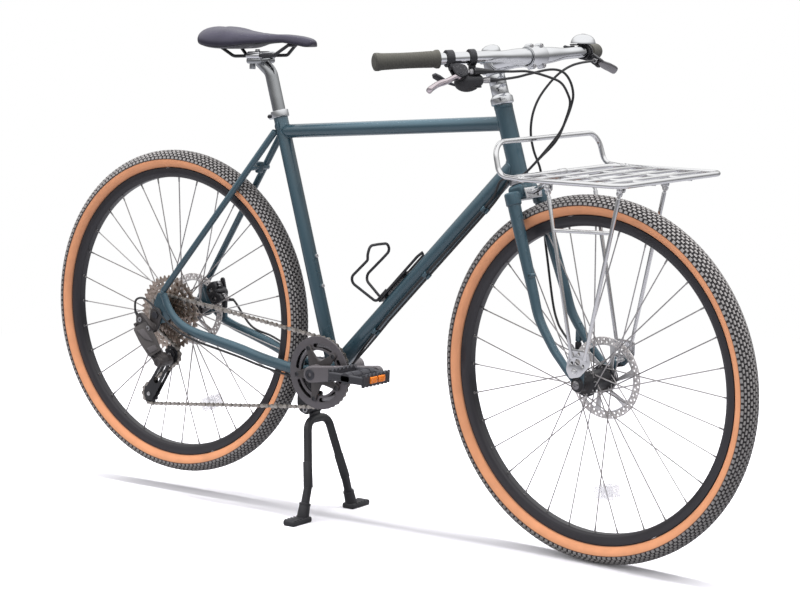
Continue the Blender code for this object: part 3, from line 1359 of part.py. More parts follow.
def build_fork():
    """Steerer, crown and two tapered blades that curve forward to the tips."""
    pieces = [
        rod("steerer", steer_at(CROWN_TOP - 0.010), steer_at(STEM_TOP - 0.0010), STEERER_RADIUS, sides=16)
    ]
    crown = steer_at(CROWN_TOP - 0.0130, 0.002)
    tilt = Matrix.Rotation(HEAD_ANGLE - math.pi / 2, 4, "Y")
    pieces.append(block("crown", (0.038, 0.112, 0.0260), at(crown) @ tilt, 0.006))
    for side in (-1, 1):
        path = []
        for z, ahead in ((0.700, 0.005), (0.640, 0.006), (0.580, 0.007), (0.520, 0.009), (0.470, 0.011)):
            x = HEAD_BOTTOM.x + (HEAD_BOTTOM.z - z) / math.tan(HEAD_ANGLE) + ahead
            path.append((x, z))
        path += [(0.4665, 0.4280), (0.4800, 0.4110), (0.4940, 0.3970), (0.5110, 0.3800), (0.5240, 0.3690)]
        route = []
        sizes = []
        for i, (x, z) in enumerate(path):
            share = i / (len(path) - 1)
            drop = (0.700 - z) / (0.700 - 0.369)
            route.append(Vector((x, side * (BLADE_TOP_Y + (BLADE_TIP_Y - BLADE_TOP_Y) * drop), z)))
            sizes.append(BLADE_TOP_RADIUS + (BLADE_TIP_RADIUS - BLADE_TOP_RADIUS) * share)
        pieces.append(pipe("blade", route, sizes, resolution=3))
        outline = round_hull((0.5180, 0.3735), 0.0085, (FRONT_AXLE.x, FRONT_AXLE.z), 0.0115, 6)
        y = side * (FRONT_SPACING / 2 + DROPOUT_THICKNESS / 2 + SEAT_GAP)
        hole = circle(0.0052, 10, (FRONT_AXLE.x, FRONT_AXLE.z))
        pieces.append(prism("tip", outline, DROPOUT_THICKNESS, at((0.0, y, 0.0)) @ SIDE_ON, [hole]))
        eyelet = round_hull((FRONT_AXLE.x, FRONT_AXLE.z), 0.0115, (STRUT_EYELET.x, STRUT_EYELET.z), 0.0065, 5)
        pieces.append(prism("eyelet", eyelet, DROPOUT_THICKNESS, at((0.0, y, 0.0)) @ SIDE_ON, [hole]))
    pieces.append(rod("boss", (0.4150, -0.0600, 0.5500), (0.4150, -0.0440, 0.5500), 0.0050, sides=8))
    pieces.append(block("brake_tab", (0.012, 0.008, 0.040), at(FRONT_BRAKE_SEAT + Vector((0.0, 0.0, 0.020)))))
    fork = join("fork", pieces)
    hole = rod("mount_hole", crown - Vector((0.03, 0, 0)), crown + Vector((0.03, 0, 0)), 0.0030, sides=8)
    return cut(fork, [hole])


def build_cup_upper():
    """Upper headset cup with its conical cover."""
    bore = clear_bore(STEERER_RADIUS, 14)
    low = HEAD_LENGTH + SEAT_GAP
    profile = [
        (bore, CUP_TOP), (SPACER_RADIUS + 0.0006, CUP_TOP), (CUP_RADIUS - 0.001, low + 0.0155),
        (CUP_RADIUS, low + 0.0140), (CUP_RADIUS, low + 0.0030), (HEAD_TUBE_RADIUS, low), (bore, low),
    ]
    return lathe("headset_cup_upper", profile, STEER_FRAME, steps=14, ring=True)


def build_cup_lower():
    """Lower headset cup between the head tube and the fork crown."""
    bore = clear_bore(STEERER_RADIUS, 14)
    high = -SEAT_GAP
    low = -SEAT_GAP - LOWER_CUP_HEIGHT
    profile = [
        (bore, high), (HEAD_TUBE_RADIUS, high), (CUP_RADIUS, high - 0.0030), (CUP_RADIUS, low + 0.0025),
        (0.0190, low), (bore, low),
    ]
    return lathe("headset_cup_lower", profile, STEER_FRAME, steps=14, ring=True)


def build_spacers():
    """Two spacer rings with the seam between them."""
    bore = clear_bore(STEERER_RADIUS, 14)
    low = CUP_TOP + SEAT_GAP
    middle = low + SPACER_HEIGHT * 0.47
    groove = SPACER_RADIUS - 0.0006
    profile = [
        (bore, SPACER_TOP), (SPACER_RADIUS, SPACER_TOP), (SPACER_RADIUS, middle + 0.0005), (groove, middle),
        (SPACER_RADIUS, middle - 0.0005), (SPACER_RADIUS, low), (bore, low),
    ]
    return lathe("headset_spacers", profile, STEER_FRAME, steps=14, ring=True)


def build_stem():
    """Stem: steerer clamp, extension, and bar clamp with its four-bolt faceplate."""
    middle = (STEM_BOTTOM + STEM_TOP) / 2
    foot = steer_at(middle)
    pieces = [rod("clamp", steer_at(STEM_BOTTOM), steer_at(STEM_TOP), STEM_CLAMP_RADIUS, sides=16)]
    ahead = (BAR_CENTRE - foot).normalized()
    pieces.append(
        rod("extension", foot + ahead * 0.006, BAR_CENTRE - ahead * 0.012, 0.0175, 0.0165, sides=14)
    )
    width = 0.023
    pieces.append(
        rod(
            "barrel", BAR_CENTRE - Vector((0, width, 0)), BAR_CENTRE + Vector((0, width, 0)), 0.0205, sides=16
        )
    )
    frame = axis_frame(BAR_CENTRE, (0.0, 1.0, 0.0), ahead)
    for up in (-1, 1):
        for side in (-1, 1):
            base = frame @ Vector((-0.004, up * 0.0195, side * 0.0155))
            tip = frame @ Vector((0.0135, up * 0.0195, side * 0.0155))
            pieces.append(rod("bolt", base, tip, 0.0045, sides=6))
    for height in (-0.011, 0.011):
        base = steer_at(middle + height, -STEM_CLAMP_RADIUS - 0.003, -0.0095)
        tip = steer_at(middle + height, -STEM_CLAMP_RADIUS - 0.003, 0.0095)
        pieces.append(rod("pinch", base, tip, 0.0048, sides=6))
    stem = join("stem", pieces)
    cutters = [
        rod(
            "steerer_bore", steer_at(STEM_BOTTOM - 0.01), steer_at(STEM_TOP + 0.01),
            clear_bore(STEERER_RADIUS, 16), sides=16
        ),
        rod("bar_bore", BAR_CENTRE - Vector((0, 0.04, 0)), BAR_CENTRE + Vector((0, 0.04, 0)),
            clear_bore(BAR_CLAMP_RADIUS, 16), sides=16),
        block(
            "rear_slot", (0.016, 0.0016, 0.060),
            at(steer_at(middle, -0.0220)) @ Matrix.Rotation(HEAD_ANGLE - math.pi / 2, 4, "Y")
        ),
    ]
    return cut(stem, cutters)


def build_top_cap():
    """Domed cap over the steerer."""
    low = STEM_TOP + SEAT_GAP
    high = low + TOP_CAP_HEIGHT
    profile = [
        (0.0, high), (0.0085, high - 0.0008), (0.0155, high - 0.0040), (0.0185, high - 0.0090),
        (0.0190, low), (0.0, low),
    ]
    return lathe("top_cap", profile, STEER_FRAME, steps=16)


def bar_path(inset):
    """Path of the handlebar between points the inset short of its ends."""
    bend = BAR_CENTRE + Vector((0.0, BAR_BEND_Y, BAR_RISE))
    outward = (BAR_END - bend).normalized()
    left = bent([BAR_CENTRE, bend, BAR_END - outward * inset], [0.075], 5)
    return [mirrored(p, -1) for p in reversed(left[1:])] + left


def build_handlebar():
    """Swept handlebar, fat at the clamp and tapered to the grips."""
    path = bar_path(0.006)
    middle = len(path) // 2
    dense = []
    for y in (-0.110, -0.034, 0.034, 0.110):
        rise = BAR_RISE * abs(y) / BAR_BEND_Y if abs(y) > 0.05 else 0.0
        dense.append(BAR_CENTRE + Vector((0.0, y, rise)))
    route = path[:middle] + dense + path[middle + 1 :]
    sizes = [BAR_RADIUS] * len(path[:middle]) + [BAR_RADIUS, BAR_CLAMP_RADIUS, BAR_CLAMP_RADIUS, BAR_RADIUS]
    sizes += [BAR_RADIUS] * len(path[middle + 1 :])
    return pipe("handlebar", sorted(route, key=lambda p: p.y), sizes, resolution=3)


def build_grip(side):
    """Rubber grip with a flange at its inner end, a ring and a closed outer end."""
    bore = clear_bore(BAR_RADIUS, 12)
    frame = bar_frame(side, 0.0)
    profile = [
        (0.0, 0.0020), (0.0130, 0.0020), (GRIP_RADIUS + 0.0012, -0.0010), (GRIP_RADIUS + 0.0012, -0.0100),
        (GRIP_RADIUS, -0.0120), (GRIP_RADIUS - 0.0008, -0.0620), (GRIP_RADIUS, -GRIP_LENGTH + 0.0080),
        (GRIP_RADIUS + 0.0020, -GRIP_LENGTH + 0.0040), (GRIP_RADIUS + 0.0020, -GRIP_LENGTH),
        (bore, -GRIP_LENGTH), (bore, -0.0050), (0.0, -0.0050),
    ]
    return lathe("grip", profile, frame, steps=12)


def bar_clamp(side, from_end, width, outer):
    """A ring that grips the handlebar."""
    bore = clear_bore(BAR_RADIUS, 12)
    profile = [(bore, width / 2), (outer, width / 2), (outer, -width / 2), (bore, -width / 2)]
    return lathe("clamp", profile, bar_frame(side, from_end), steps=12, ring=True)


def build_lever_mount(side):
    """Brake lever's clamp and body, forked round the blade's root, with its cable adjuster."""
    frame = lever_frame(side)
    pieces = [bar_clamp(side, LEVER_FROM_END, 0.014, 0.0165)]
    pieces.append(block("body", (0.032, 0.017, 0.032), frame @ at((0.0310, 0.0, -0.0110)), 0.004))
    inner_end = frame @ Vector((0.0300, 0.0, -0.0250))
    outer_end = frame @ Vector((0.0300, 0.0, -0.0420))
    pieces.append(rod("adjuster", inner_end, outer_end, 0.0048, 0.0040, sides=8))
    pieces.append(block("neck", (0.012, 0.014, 0.012), frame @ at((0.0190, 0.0, -0.0010))))
    mount = join("lever_mount", pieces)
    slot = block("slot", (0.036, 0.0088, 0.0330), frame @ at((0.0390, 0.0, -0.0020)))
    return cut(mount, [slot])


def build_brake_lever(side):
    """Brake lever blade: a tapered bar that curves outward to a hooked, rounded tip."""
    frame = lever_frame(side)
    route = [
        LEVER_PIVOT, LEVER_PIVOT + Vector((0.0060, 0.0, 0.0120)), LEVER_PIVOT + Vector((0.0170, 0.0, 0.0280)),
        LEVER_PIVOT + Vector((0.0230, 0.0, 0.0460)), LEVER_TIP, LEVER_TIP + Vector((0.0060, 0.0, 0.0100)),
    ]
    path = [frame @ p for p in smooth_route(route, 8)]
    sizes = [0.0036, 0.0038, 0.0041, 0.0046, 0.0048, 0.0048, 0.0049, 0.0054]
    blade = pipe("blade", path, sizes, resolution=2)
    up = frame.to_3x3() @ Vector((0.0, 1.0, 0.0))
    pivot = frame @ LEVER_PIVOT
    knuckle = rod("knuckle", pivot - up * 0.0040, pivot + up * 0.0040, 0.0060, sides=10)
    made = join("brake_lever", [knuckle, blade])
    return made


OUTLET_BASE = Vector((0.0100, -0.0420, -0.0150))
OUTLET_TIP = Vector((0.0170, -0.0420, -0.0330))


def build_shifter():
    """Gear shifter under the bar: clamp ring, pod and housing outlet."""
    frame = bar_frame(-1, SHIFTER_FROM_END)
    ring = bar_clamp(-1, SHIFTER_FROM_END, 0.012, 0.0160)
    neck = block("neck", (0.014, 0.020, 0.012), frame @ at((0.0020, -0.0225, 0.0)))
    pod = block("pod", (0.036, 0.024, 0.030), frame @ at((0.0060, -0.0420, -0.0035)), 0.007, 2)
    outlet = rod("outlet", frame @ OUTLET_BASE, frame @ OUTLET_TIP, 0.0050, 0.0040, sides=8)
    return join("shifter", [pod, neck, ring, outlet])


PADDLE_PIVOT = Vector((-0.0050, -0.0565, -0.0020))


def build_paddle():
    """Thumb paddle of the shifter, reaching out under the grip."""
    frame = bar_frame(-1, SHIFTER_FROM_END)
    route = [
        PADDLE_PIVOT, PADDLE_PIVOT + Vector((-0.0080, 0.0015, 0.0180)),
        PADDLE_PIVOT + Vector((-0.0160, 0.0100, 0.0400)),
        PADDLE_PIVOT + Vector((-0.0200, 0.0200, 0.0600)),
    ]
    arm = pipe(
        "arm", [frame @ p for p in smooth_route(route, 6)], [0.0022, 0.0024, 0.0028, 0.0034, 0.0042, 0.0046],
        2
    )
    pivot = rod(
        "pivot", frame @ (PADDLE_PIVOT + Vector((0, 0.0020, 0))),
        frame @ (PADDLE_PIVOT - Vector((0, 0.0022, 0))), 0.0070, sides=12
    )
    return join("shift_paddle", [pivot, arm])


STRIKER_PIVOT = Vector((-0.0230, 0.0125, 0.0122))


def build_bell():
    """Bell: a thin dome on a clamp over the left of the bar."""
    frame = bar_frame(1, BELL_FROM_END)
    sign = 1.0 if frame.to_3x3().col[1].z > 0 else -1.0
    ring = bar_clamp(1, BELL_FROM_END, 0.011, 0.0150)
    base = frame @ at((0.0, 0.0, 0.0)) @ Matrix.Rotation(-math.pi / 2 * sign, 4, "X")
    lift = 0.0165
    post = rod(
        "post", base @ Vector((0.0, 0.0, 0.0125)), base @ Vector((0.0, 0.0, lift + 0.0175)), 0.0050, sides=8
    )
    profile = [
        (0.0, lift + 0.0190), (0.0130, lift + 0.0168), (0.0220, lift + 0.0095), (BELL_RADIUS, lift),
        (BELL_RADIUS - 0.0016, lift), (0.0202, lift + 0.0090), (0.0118, lift + 0.0148), (0.0, lift + 0.0165),
    ]
    dome = lathe("dome", profile, base, steps=12)
    plate = block("plate", (0.020, 0.030, 0.0030), base @ at((0.0, 0.0, 0.0150)))
    arm = block(
        "arm", (0.032, 0.009, 0.0030), base @ at((-0.0120, STRIKER_PIVOT.y, STRIKER_PIVOT.z + 0.0015))
    )
    return join("bell", [dome, post, plate, arm, ring])


def striker_frame():
    """Frame of the bell's striker: Z up through the bell, X forward."""
    frame = bar_frame(1, BELL_FROM_END)
    sign = 1.0 if frame.to_3x3().col[1].z > 0 else -1.0
    return frame @ Matrix.Rotation(-math.pi / 2 * sign, 4, "X")


def build_striker():
    """Bell's thumb striker, a small sprung lever beside the dome."""
    base = striker_frame()
    low = STRIKER_PIVOT - Vector((0.0, 0.0, 0.0060))
    high = STRIKER_PIVOT - Vector((0.0, 0.0, SEAT_GAP))
    hub = rod("hub", base @ low, base @ high, 0.0045, sides=10)
    root = STRIKER_PIVOT - Vector((0.0, 0.0, 0.0038))
    arm = rod("arm", base @ root, base @ (root + Vector((-0.0190, 0.0080, 0.0006))), 0.0022, 0.0034, sides=8)
    return join("bell_striker", [hub, arm])


def rack_frame():
    """Frame of the rack's platform."""
    return at(RACK_CENTRE) @ Matrix.Rotation(-RACK_PITCH, 4, "Y")


def build_rack_deck():
    """Rack platform: tube rim, cross bars, two long bearers, the rear hoop and the crown bracket."""
    frame = rack_frame()
    rim = [frame @ Vector((x, y, 0.0)) for x, y in rounded_rectangle(RACK_LENGTH, RACK_WIDTH, 0.026, 3)]
    pieces = [pipe("rim", rim, RACK_TUBE, 1, closed=True)]
    half_width = RACK_WIDTH / 2
    half_length = RACK_LENGTH / 2
    for i in range(4):
        x = -half_length + RACK_LENGTH * (i + 1) / 5
        pieces.append(
            rod(
                "bar", frame @ Vector((x, -half_width, 0.0)), frame @ Vector((x, half_width, 0.0)), 0.0033,
                sides=6
            )
        )
    for side in (-1, 1):
        y = side * (RACK_STRUT_Y - 0.010)
        pieces.append(
            rod(
                "bearer", frame @ Vector((-half_length, y, -0.003)), frame @ Vector((half_length, y, -0.003)),
                0.0040, sides=6
            )
        )
        tab = frame @ at((-0.105, side * RACK_STRUT_Y, -0.016))
        pieces.append(block("tab", (0.016, 0.0030, 0.028), tab))
        tab = frame @ at((0.060, side * RACK_STRUT_Y, -0.012))
        pieces.append(block("tab", (0.016, 0.0030, 0.022), tab))
        for x in (-0.105, 0.060):
            pieces.append(
                block("foot", (0.014, 0.0140, 0.0040), frame @ at((x, side * (RACK_STRUT_Y - 0.005), -0.004)))
            )
    rear_x = -half_length + 0.030
    hoop = []
    for side in (-1, 1):
        hoop.append([
            frame @ Vector((rear_x, side * half_width, 0.0)),
            frame @ Vector((rear_x - 0.050, side * half_width, 0.004)),
            frame @ Vector((rear_x - 0.066, side * (half_width - 0.004), 0.0640)),
        ])
    corners = [*hoop[0], *reversed(hoop[1])]
    pieces.append(pipe("hoop", bent(corners, [0.022, 0.020, 0.020, 0.022], 3), RACK_TUBE, 1))
    crown = steer_at(CROWN_TOP - 0.0130, 0.002)
    face = crown + Vector((0.0190 + 0.0012, 0.0, -0.0010))
    bracket = [
        block(
            "bracket", (0.0050, 0.050, 0.022),
            at(face + Vector((0.0030, 0.0, 0.0))) @ Matrix.Rotation(HEAD_ANGLE - math.pi / 2, 4, "Y"), 0.001
        ),
        rod(
            "bracket_arm", face + Vector((0.0030, 0.0, 0.0)), frame @ Vector((-half_length, 0.0, -0.001)),
            0.0060, sides=8
        ),
        rod(
            "bracket_bolt", face + Vector((0.0040, 0.0, 0.0)), face + Vector((0.0100, 0.0, -0.0020)), 0.0060,
            sides=6
        ),
    ]
    return join("rack_deck", [*pieces, *bracket])


def build_rack_strut(side):
    """Strut frame of the rack: two bars, a crossbar and the perforated plate beside the axle."""
    y = side * (RACK_STRUT_Y + 0.0018 + 0.0033)
    radius = 0.0033
    rear_top = Vector((0.4640, y, 0.7220))
    front_top = Vector((0.6270, y, 0.7330))
    rear_low = Vector((0.5330, y, 0.4080))
    front_low = Vector((0.5620, y, 0.4080))
    pieces = [
        rod("rear", rear_top, rear_low, radius, sides=6), rod("front", front_top, front_low, radius, sides=6)
    ]
    pieces.append(
        rod("cross", rear_top.lerp(rear_low, 0.24), front_top.lerp(front_low, 0.24), radius, sides=6)
    )
    outline = [
        (0.5200, 0.3850), (0.5300, 0.3700), (0.5520, 0.3760), (0.5740, 0.4000), (0.5720, 0.4280),
        (0.5260, 0.4280)
    ]
    holes = [
        rounded_slot(0.5450, 0.4020, 0.0032), rounded_slot(0.5600, 0.4130, 0.0030),
        rounded_slot(0.5340, 0.4160, 0.0030),
    ]
    plate_y = side * (RACK_STRUT_Y + 0.0018 + 0.0020)
    pieces.append(prism("plate", outline, 0.0030, at((0.0, plate_y, 0.0)) @ SIDE_ON, holes))
    tip = FRONT_SPACING / 2 + DROPOUT_THICKNESS + SEAT_GAP
    foot = STRUT_EYELET + Vector((0.0, side * (tip + SEAT_GAP), 0.0))
    pieces.append(rod("foot", STRUT_EYELET + Vector((0.0, plate_y, 0.0)), foot, 0.0050, sides=6))
    return join("rack_strut", pieces)


def rounded_slot(x, z, radius):
    """A small round hole's outline."""
    return circle(radius, 5, (x, z))


def at_rest(point):
    """Where a point of the straight-ahead steering lies once it is turned to its rest angle."""
    return STEER_FRAME @ Matrix.Rotation(STEER_REST_ANGLE, 4, "Z") @ STEER_FRAME.inverted() @ point


def beyond(base, tip, distance):
    """A point past the tip on the line from the base."""
    return tip + (tip - base).normalized() * distance


def lever_outlet(side, distance):
    """A point ahead of a brake lever's adjuster, where its housing starts."""
    frame = lever_frame(side)
    return frame @ Vector((0.0300, 0.0, -0.0420 - distance))


def route_rear_brake():
    """Points of the rear brake's housing from the right lever to the rear caliper."""
    lane = CABLE_LANES[0]
    end = caliper_frame(REAR_CALIPER, REAR_AXLE)
    return [
        at_rest(lever_outlet(-1, SEAT_GAP)), at_rest(lever_outlet(-1, 0.012)),
        Vector((0.3887, -0.1250, 0.9366)),
        Vector((0.4142, -0.1000, 0.9375)), Vector((0.4379, -0.0650, 0.9278)),
        Vector((0.4522, -0.0450, 0.9173)),
        Vector((0.4608, -0.0340, 0.8972)), Vector((0.4643, -0.0300, 0.8792)),
        Vector((0.4584, -0.0300, 0.8544)),
        Vector((0.4463, -0.0310, 0.8249)), Vector((0.4146, -0.0310, 0.7855)),
        Vector((0.3789, -0.0300, 0.7473)),
        Vector((0.3560, -0.0308, 0.7310)), down_at(0.600, 0.0095, -0.0280), down_at(0.560, 0.0165, -0.0205),
        down_at(0.500, *lane), down_at(0.330, *lane), down_at(0.210, *lane), down_at(0.190, *lane),
        down_at(0.125, 0.0188, -0.0120), down_at(0.070, 0.0212, -0.0050), down_at(0.025, 0.0275, -0.0020),
        Vector((-0.0920, -0.0010, 0.2585)),
        Vector((-0.1160, 0.0150, 0.2600)),
        Vector((-0.1450, 0.0440, 0.2700)), Vector((-0.1850, 0.0520, 0.2890)), beside_stay(4, 1, 1),
        beside_stay(5, 1, 1), beside_stay(6, 1, 1), beyond(end @ ADJUSTER_BASE, end @ ADJUSTER_TIP, 0.014),
        beyond(end @ ADJUSTER_BASE, end @ ADJUSTER_TIP, SEAT_GAP),
    ]


def route_shift():
    """Points of the shift housing from the shifter to the rear mech."""
    frame = bar_frame(-1, SHIFTER_FROM_END)
    lane = CABLE_LANES[1]
    return [
        at_rest(beyond(frame @ OUTLET_BASE, frame @ OUTLET_TIP, SEAT_GAP)),
        at_rest(beyond(frame @ OUTLET_BASE, frame @ OUTLET_TIP, 0.010)), Vector((0.3950, -0.1120, 0.9262)),
        Vector((0.4065, -0.0880, 0.9322)), Vector((0.4308, -0.0550, 0.9415)),
        Vector((0.4472, -0.0350, 0.9382)),
        Vector((0.4569, -0.0220, 0.9213)), Vector((0.4635, -0.0190, 0.8971)),
        Vector((0.4612, -0.0205, 0.8746)),
        Vector((0.4515, -0.0220, 0.8455)), Vector((0.4324, -0.0220, 0.8063)),
        Vector((0.3985, -0.0220, 0.7712)),
        Vector((0.3633, -0.0218, 0.7375)), Vector((0.3392, -0.0222, 0.7308)),
        Vector((0.3267, -0.0222, 0.7176)),
        down_at(0.590, 0.0205, -0.0165), down_at(0.545, *lane), down_at(0.500, *lane), down_at(0.330, *lane),
        down_at(0.210, *lane), down_at(0.190, *lane), down_at(0.130, 0.0258, -0.0120),
        down_at(0.080, 0.0276, -0.0145), down_at(0.030, 0.0295, -0.0200),
        Vector((-0.0980, -0.0240, 0.2598)), Vector((-0.1280, -0.0280, 0.2618)), beside_stay(2, -1, -1),
        beside_stay(3, -1, -1), beside_stay(4, -1, -1), beside_stay(5, -1, -1), beside_stay(6, -1, -1),
        Vector((-0.4200, -0.0690, 0.3120)), Vector((-0.4600, -0.0830, 0.3290)),
        Vector((-0.4950, -0.0905, 0.3520)),
        Vector((-0.5250, -0.0935, 0.3780)), Vector((-0.5550, -0.0935, 0.3920)),
        Vector((-0.5790, -0.0920, 0.3850)),
        beyond(STOP_BASE, STOP_TIP, 0.012), beyond(STOP_BASE, STOP_TIP, SEAT_GAP),
    ]


def route_front_brake():
    """Points of the front brake's housing from the left lever down the left blade."""
    end = caliper_frame(FRONT_CALIPER, FRONT_AXLE)
    return [
        lever_outlet(1, SEAT_GAP), lever_outlet(1, 0.012), Vector((0.3830, 0.1250, 0.9465)),
        Vector((0.3780, 0.0980, 0.9400)), Vector((0.3700, 0.0740, 0.9260)), Vector((0.3600, 0.0540, 0.9040)),
        Vector((0.3530, 0.0350, 0.8780)), Vector((0.3500, 0.0220, 0.8480)), Vector((0.3510, 0.0170, 0.8137)),
        Vector((0.3540, 0.0240, 0.7800)), Vector((0.3550, 0.0440, 0.7460)), Vector((0.3500, 0.0600, 0.7180)),
        Vector((0.3500, 0.0632, 0.6920)), Vector((0.3560, 0.0605, 0.6550)), Vector((0.3645, 0.0560, 0.6073)),
        Vector((0.3735, 0.0545, 0.5650)), Vector((0.3900, 0.0550, 0.4800)), Vector((0.4050, 0.0520, 0.4450)),
        Vector((0.4220, 0.0450, 0.4300)), beyond(end @ ADJUSTER_BASE, end @ ADJUSTER_TIP, 0.012),
        beyond(end @ ADJUSTER_BASE, end @ ADJUSTER_TIP, SEAT_GAP),
    ]


def build_housing(name, route):
    """A brake or gear housing."""
    return pipe(name, housing_route(route), HOUSING_RADIUS, resolution=1)


MATERIALS = {
    "painted_steel": ((0.075, 0.135, 0.165), 0.22, 0.35),
    "polished_silver": ((0.62, 0.62, 0.63), 0.16, 1.0),
    "stainless_wire": ((0.66, 0.66, 0.66), 0.20, 1.0),
    "bronze_steel": ((0.46, 0.37, 0.30), 0.32, 1.0),
    "black_metal": ((0.022, 0.022, 0.025), 0.38, 0.5),
    "grey_metal": ((0.115, 0.110, 0.118), 0.42, 0.8),
    "black_plastic": ((0.018, 0.018, 0.020), 0.45, 0.0),
    "saddle_cover": ((0.020, 0.019, 0.026), 0.35, 0.0),
    "grip_rubber": ((0.060, 0.058, 0.048), 0.75, 0.0),
    "tyre_rubber": ((0.045, 0.043, 0.043), 0.85, 0.0),
    "housing_black": ((0.015, 0.015, 0.016), 0.35, 0.0),
    "rim_black": ((0.020, 0.018, 0.019), 0.40, 0.3),
}


def material(name):
    """The named material."""
    found = bpy.data.materials.get(name)
    if found:
        return found
    color, roughness, metallic = MATERIALS[name]
    made = bpy.data.materials.new(name)
    made.use_nodes = True
    surface = made.node_tree.nodes["Principled BSDF"]
    surface.inputs["Base Color"].default_value = (*color, 1.0)
    surface.inputs["Roughness"].default_value = roughness
    surface.inputs["Metallic"].default_value = metallic
    return made


class Assembly:
    """Empties on the joint axes and the pieces that ride on them."""

    def __init__(self, pieces, joints):
        self.pieces = pieces
        self.joints = joints
        self.neutral = {}

    def axis(self, name, parent, frame, turn=None):
        """An empty on a joint axis. The turn is its pose at rest, away from the frame it was drawn in."""
        empty = bpy.data.objects.new(name, None)
        empty.empty_display_size = 0.03
        self.joints.objects.link(empty)
        self.neutral[name] = frame.copy()
        if parent:
            empty.parent = parent
            empty.matrix_parent_inverse = self.neutral[parent.name].inverted()
        empty.matrix_basis = frame @ (turn or Matrix.Identity(4))
        return empty

    def add(self, name, obj, surface, carrier):
        """Names a piece, gives it its material and hangs it on its empty."""
        obj.name = name
        obj.data.name = name
        obj.data.materials.clear()
        obj.data.materials.append(material(surface))
        obj.data.shade_smooth()
        obj.data.set_sharp_from_angle(angle=math.radians(35))
        bpy.context.scene.collection.objects.unlink(obj)
        self.pieces.objects.link(obj)
        obj.parent = carrier
        obj.matrix_parent_inverse = self.neutral[carrier.name].inverted()
        return obj


def standing_pose():
    """Tips the level bike forward about its front axle and centres it between the wheels' outer edges."""
    tip = at(FRONT_AXLE) @ Matrix.Rotation(REAR_LIFT_ANGLE, 4, "Y") @ at(-FRONT_AXLE)
    rear = tip @ REAR_AXLE
    middle = (rear.x + FRONT_AXLE.x) / 2
    return at((-middle, 0.0, LEAN_DROP)) @ tip


FRONT_HUB_BODY = (
    (0.0105, 0.0492), (0.0105, 0.0430), (0.0210, 0.0430), (0.0210, 0.0300), (0.0270, 0.0295),
    (0.0270, 0.0255),
    (0.0205, 0.0220), (0.0205, -0.0225), (0.0260, -0.0260), (0.0260, -0.0300), (0.0105, -0.0492),
)
REAR_HUB_BODY = (
    (0.0105, 0.0667), (0.0105, 0.0590), (0.0210, 0.0590), (0.0210, 0.0370), (0.0270, 0.0365),
    (0.0270, 0.0315),
    (0.0175, 0.0280), (0.0175, -0.0150), (0.0255, -0.0175), (0.0255, -0.0220), (FREEHUB_RADIUS, -0.0245),
    (FREEHUB_RADIUS, -0.0640), (0.0105, -0.0667),
)


def build_wheels(bike, root, steering):
    """Front and rear wheels with their brake discs."""
    front = bike.axis("front_wheel_axis", steering, at(FRONT_AXLE))
    rear = bike.axis("rear_wheel_axis", root, at(REAR_AXLE))
    flanges = ((0.0275, 0.0228), (-0.0280, 0.0222))
    bike.add("front_tyre", build_tyre(FRONT_AXLE), "tyre_rubber", front)
    bike.add("front_rim", build_rim(FRONT_AXLE), "rim_black", front)
    hub = build_hub(FRONT_AXLE, FRONT_HUB_BODY, flanges, 0.0047, math.radians(80.0))
    bike.add("front_hub", hub, "black_metal", front)
    bike.add(
        "front_rotor", build_rotor(FRONT_AXLE, FRONT_ROTOR_Y, clear_bore(0.0210, 12)), "polished_silver",
        front
    )
    flanges = ((0.0340, 0.0228), (-0.0198, 0.0222))
    bike.add("rear_tyre", build_tyre(REAR_AXLE), "tyre_rubber", rear)
    bike.add("rear_rim", build_rim(REAR_AXLE), "rim_black", rear)
    hub = build_hub(REAR_AXLE, REAR_HUB_BODY, flanges, 0.0047, math.radians(62.0))
    bike.add("rear_hub", hub, "black_metal", rear)
    bike.add(
        "rear_rotor", build_rotor(REAR_AXLE, REAR_ROTOR_Y, clear_bore(0.0210, 12)), "polished_silver", rear
    )


def build_cockpit(bike, steering):
    """Everything that turns with the fork."""
    bike.add("fork", build_fork(), "painted_steel", steering)
    bike.add("headset_spacers", build_spacers(), "polished_silver", steering)
    bike.add("stem", build_stem(), "polished_silver", steering)
    bike.add("top_cap", build_top_cap(), "polished_silver", steering)
    bike.add("handlebar", build_handlebar(), "polished_silver", steering)
    for side, word in ((-1, "right"), (1, "left")):
        bike.add(f"grip_{word}", build_grip(side), "grip_rubber", steering)
        bike.add(f"lever_mount_{word}", build_lever_mount(side), "black_metal", steering)
        frame = lever_frame(side)
        pivot = frame @ at(LEVER_PIVOT) @ Matrix.Rotation(math.pi / 2, 4, "X")
        lever = bike.axis(f"brake_lever_{word}_axis", steering, pivot)
        surface = "polished_silver" if side < 0 else "black_metal"
        bike.add(f"brake_lever_{word}", build_brake_lever(side), surface, lever)
    bike.add("shifter", build_shifter(), "black_plastic", steering)
    frame = bar_frame(-1, SHIFTER_FROM_END)
    paddle = bike.axis(
        "shift_paddle_axis", steering, frame @ at(PADDLE_PIVOT) @ Matrix.Rotation(math.pi / 2, 4, "X")
    )
    bike.add("shift_paddle", build_paddle(), "black_plastic", paddle)
    bike.add("bell", build_bell(), "polished_silver", steering)
    striker = bike.axis("bell_striker_axis", steering, striker_frame() @ at(STRIKER_PIVOT))
    bike.add("bell_striker", build_striker(), "black_plastic", striker)
    bike.add("rack_deck", build_rack_deck(), "stainless_wire", steering)
    for side, word in ((-1, "right"), (1, "left")):
        bike.add(f"rack_strut_{word}", build_rack_strut(side), "stainless_wire", steering)
    caliper = build_caliper(FRONT_CALIPER, FRONT_AXLE, FRONT_ROTOR_Y, FRONT_BRAKE_SEAT, -1)
    bike.add("front_caliper", caliper, "black_metal", steering)
    bike.add("front_axle", build_front_axle(), "black_metal", steering)
    bike.add(
        "front_brake_housing", build_housing("front_brake_housing", route_front_brake()), "housing_black",
        steering
    )


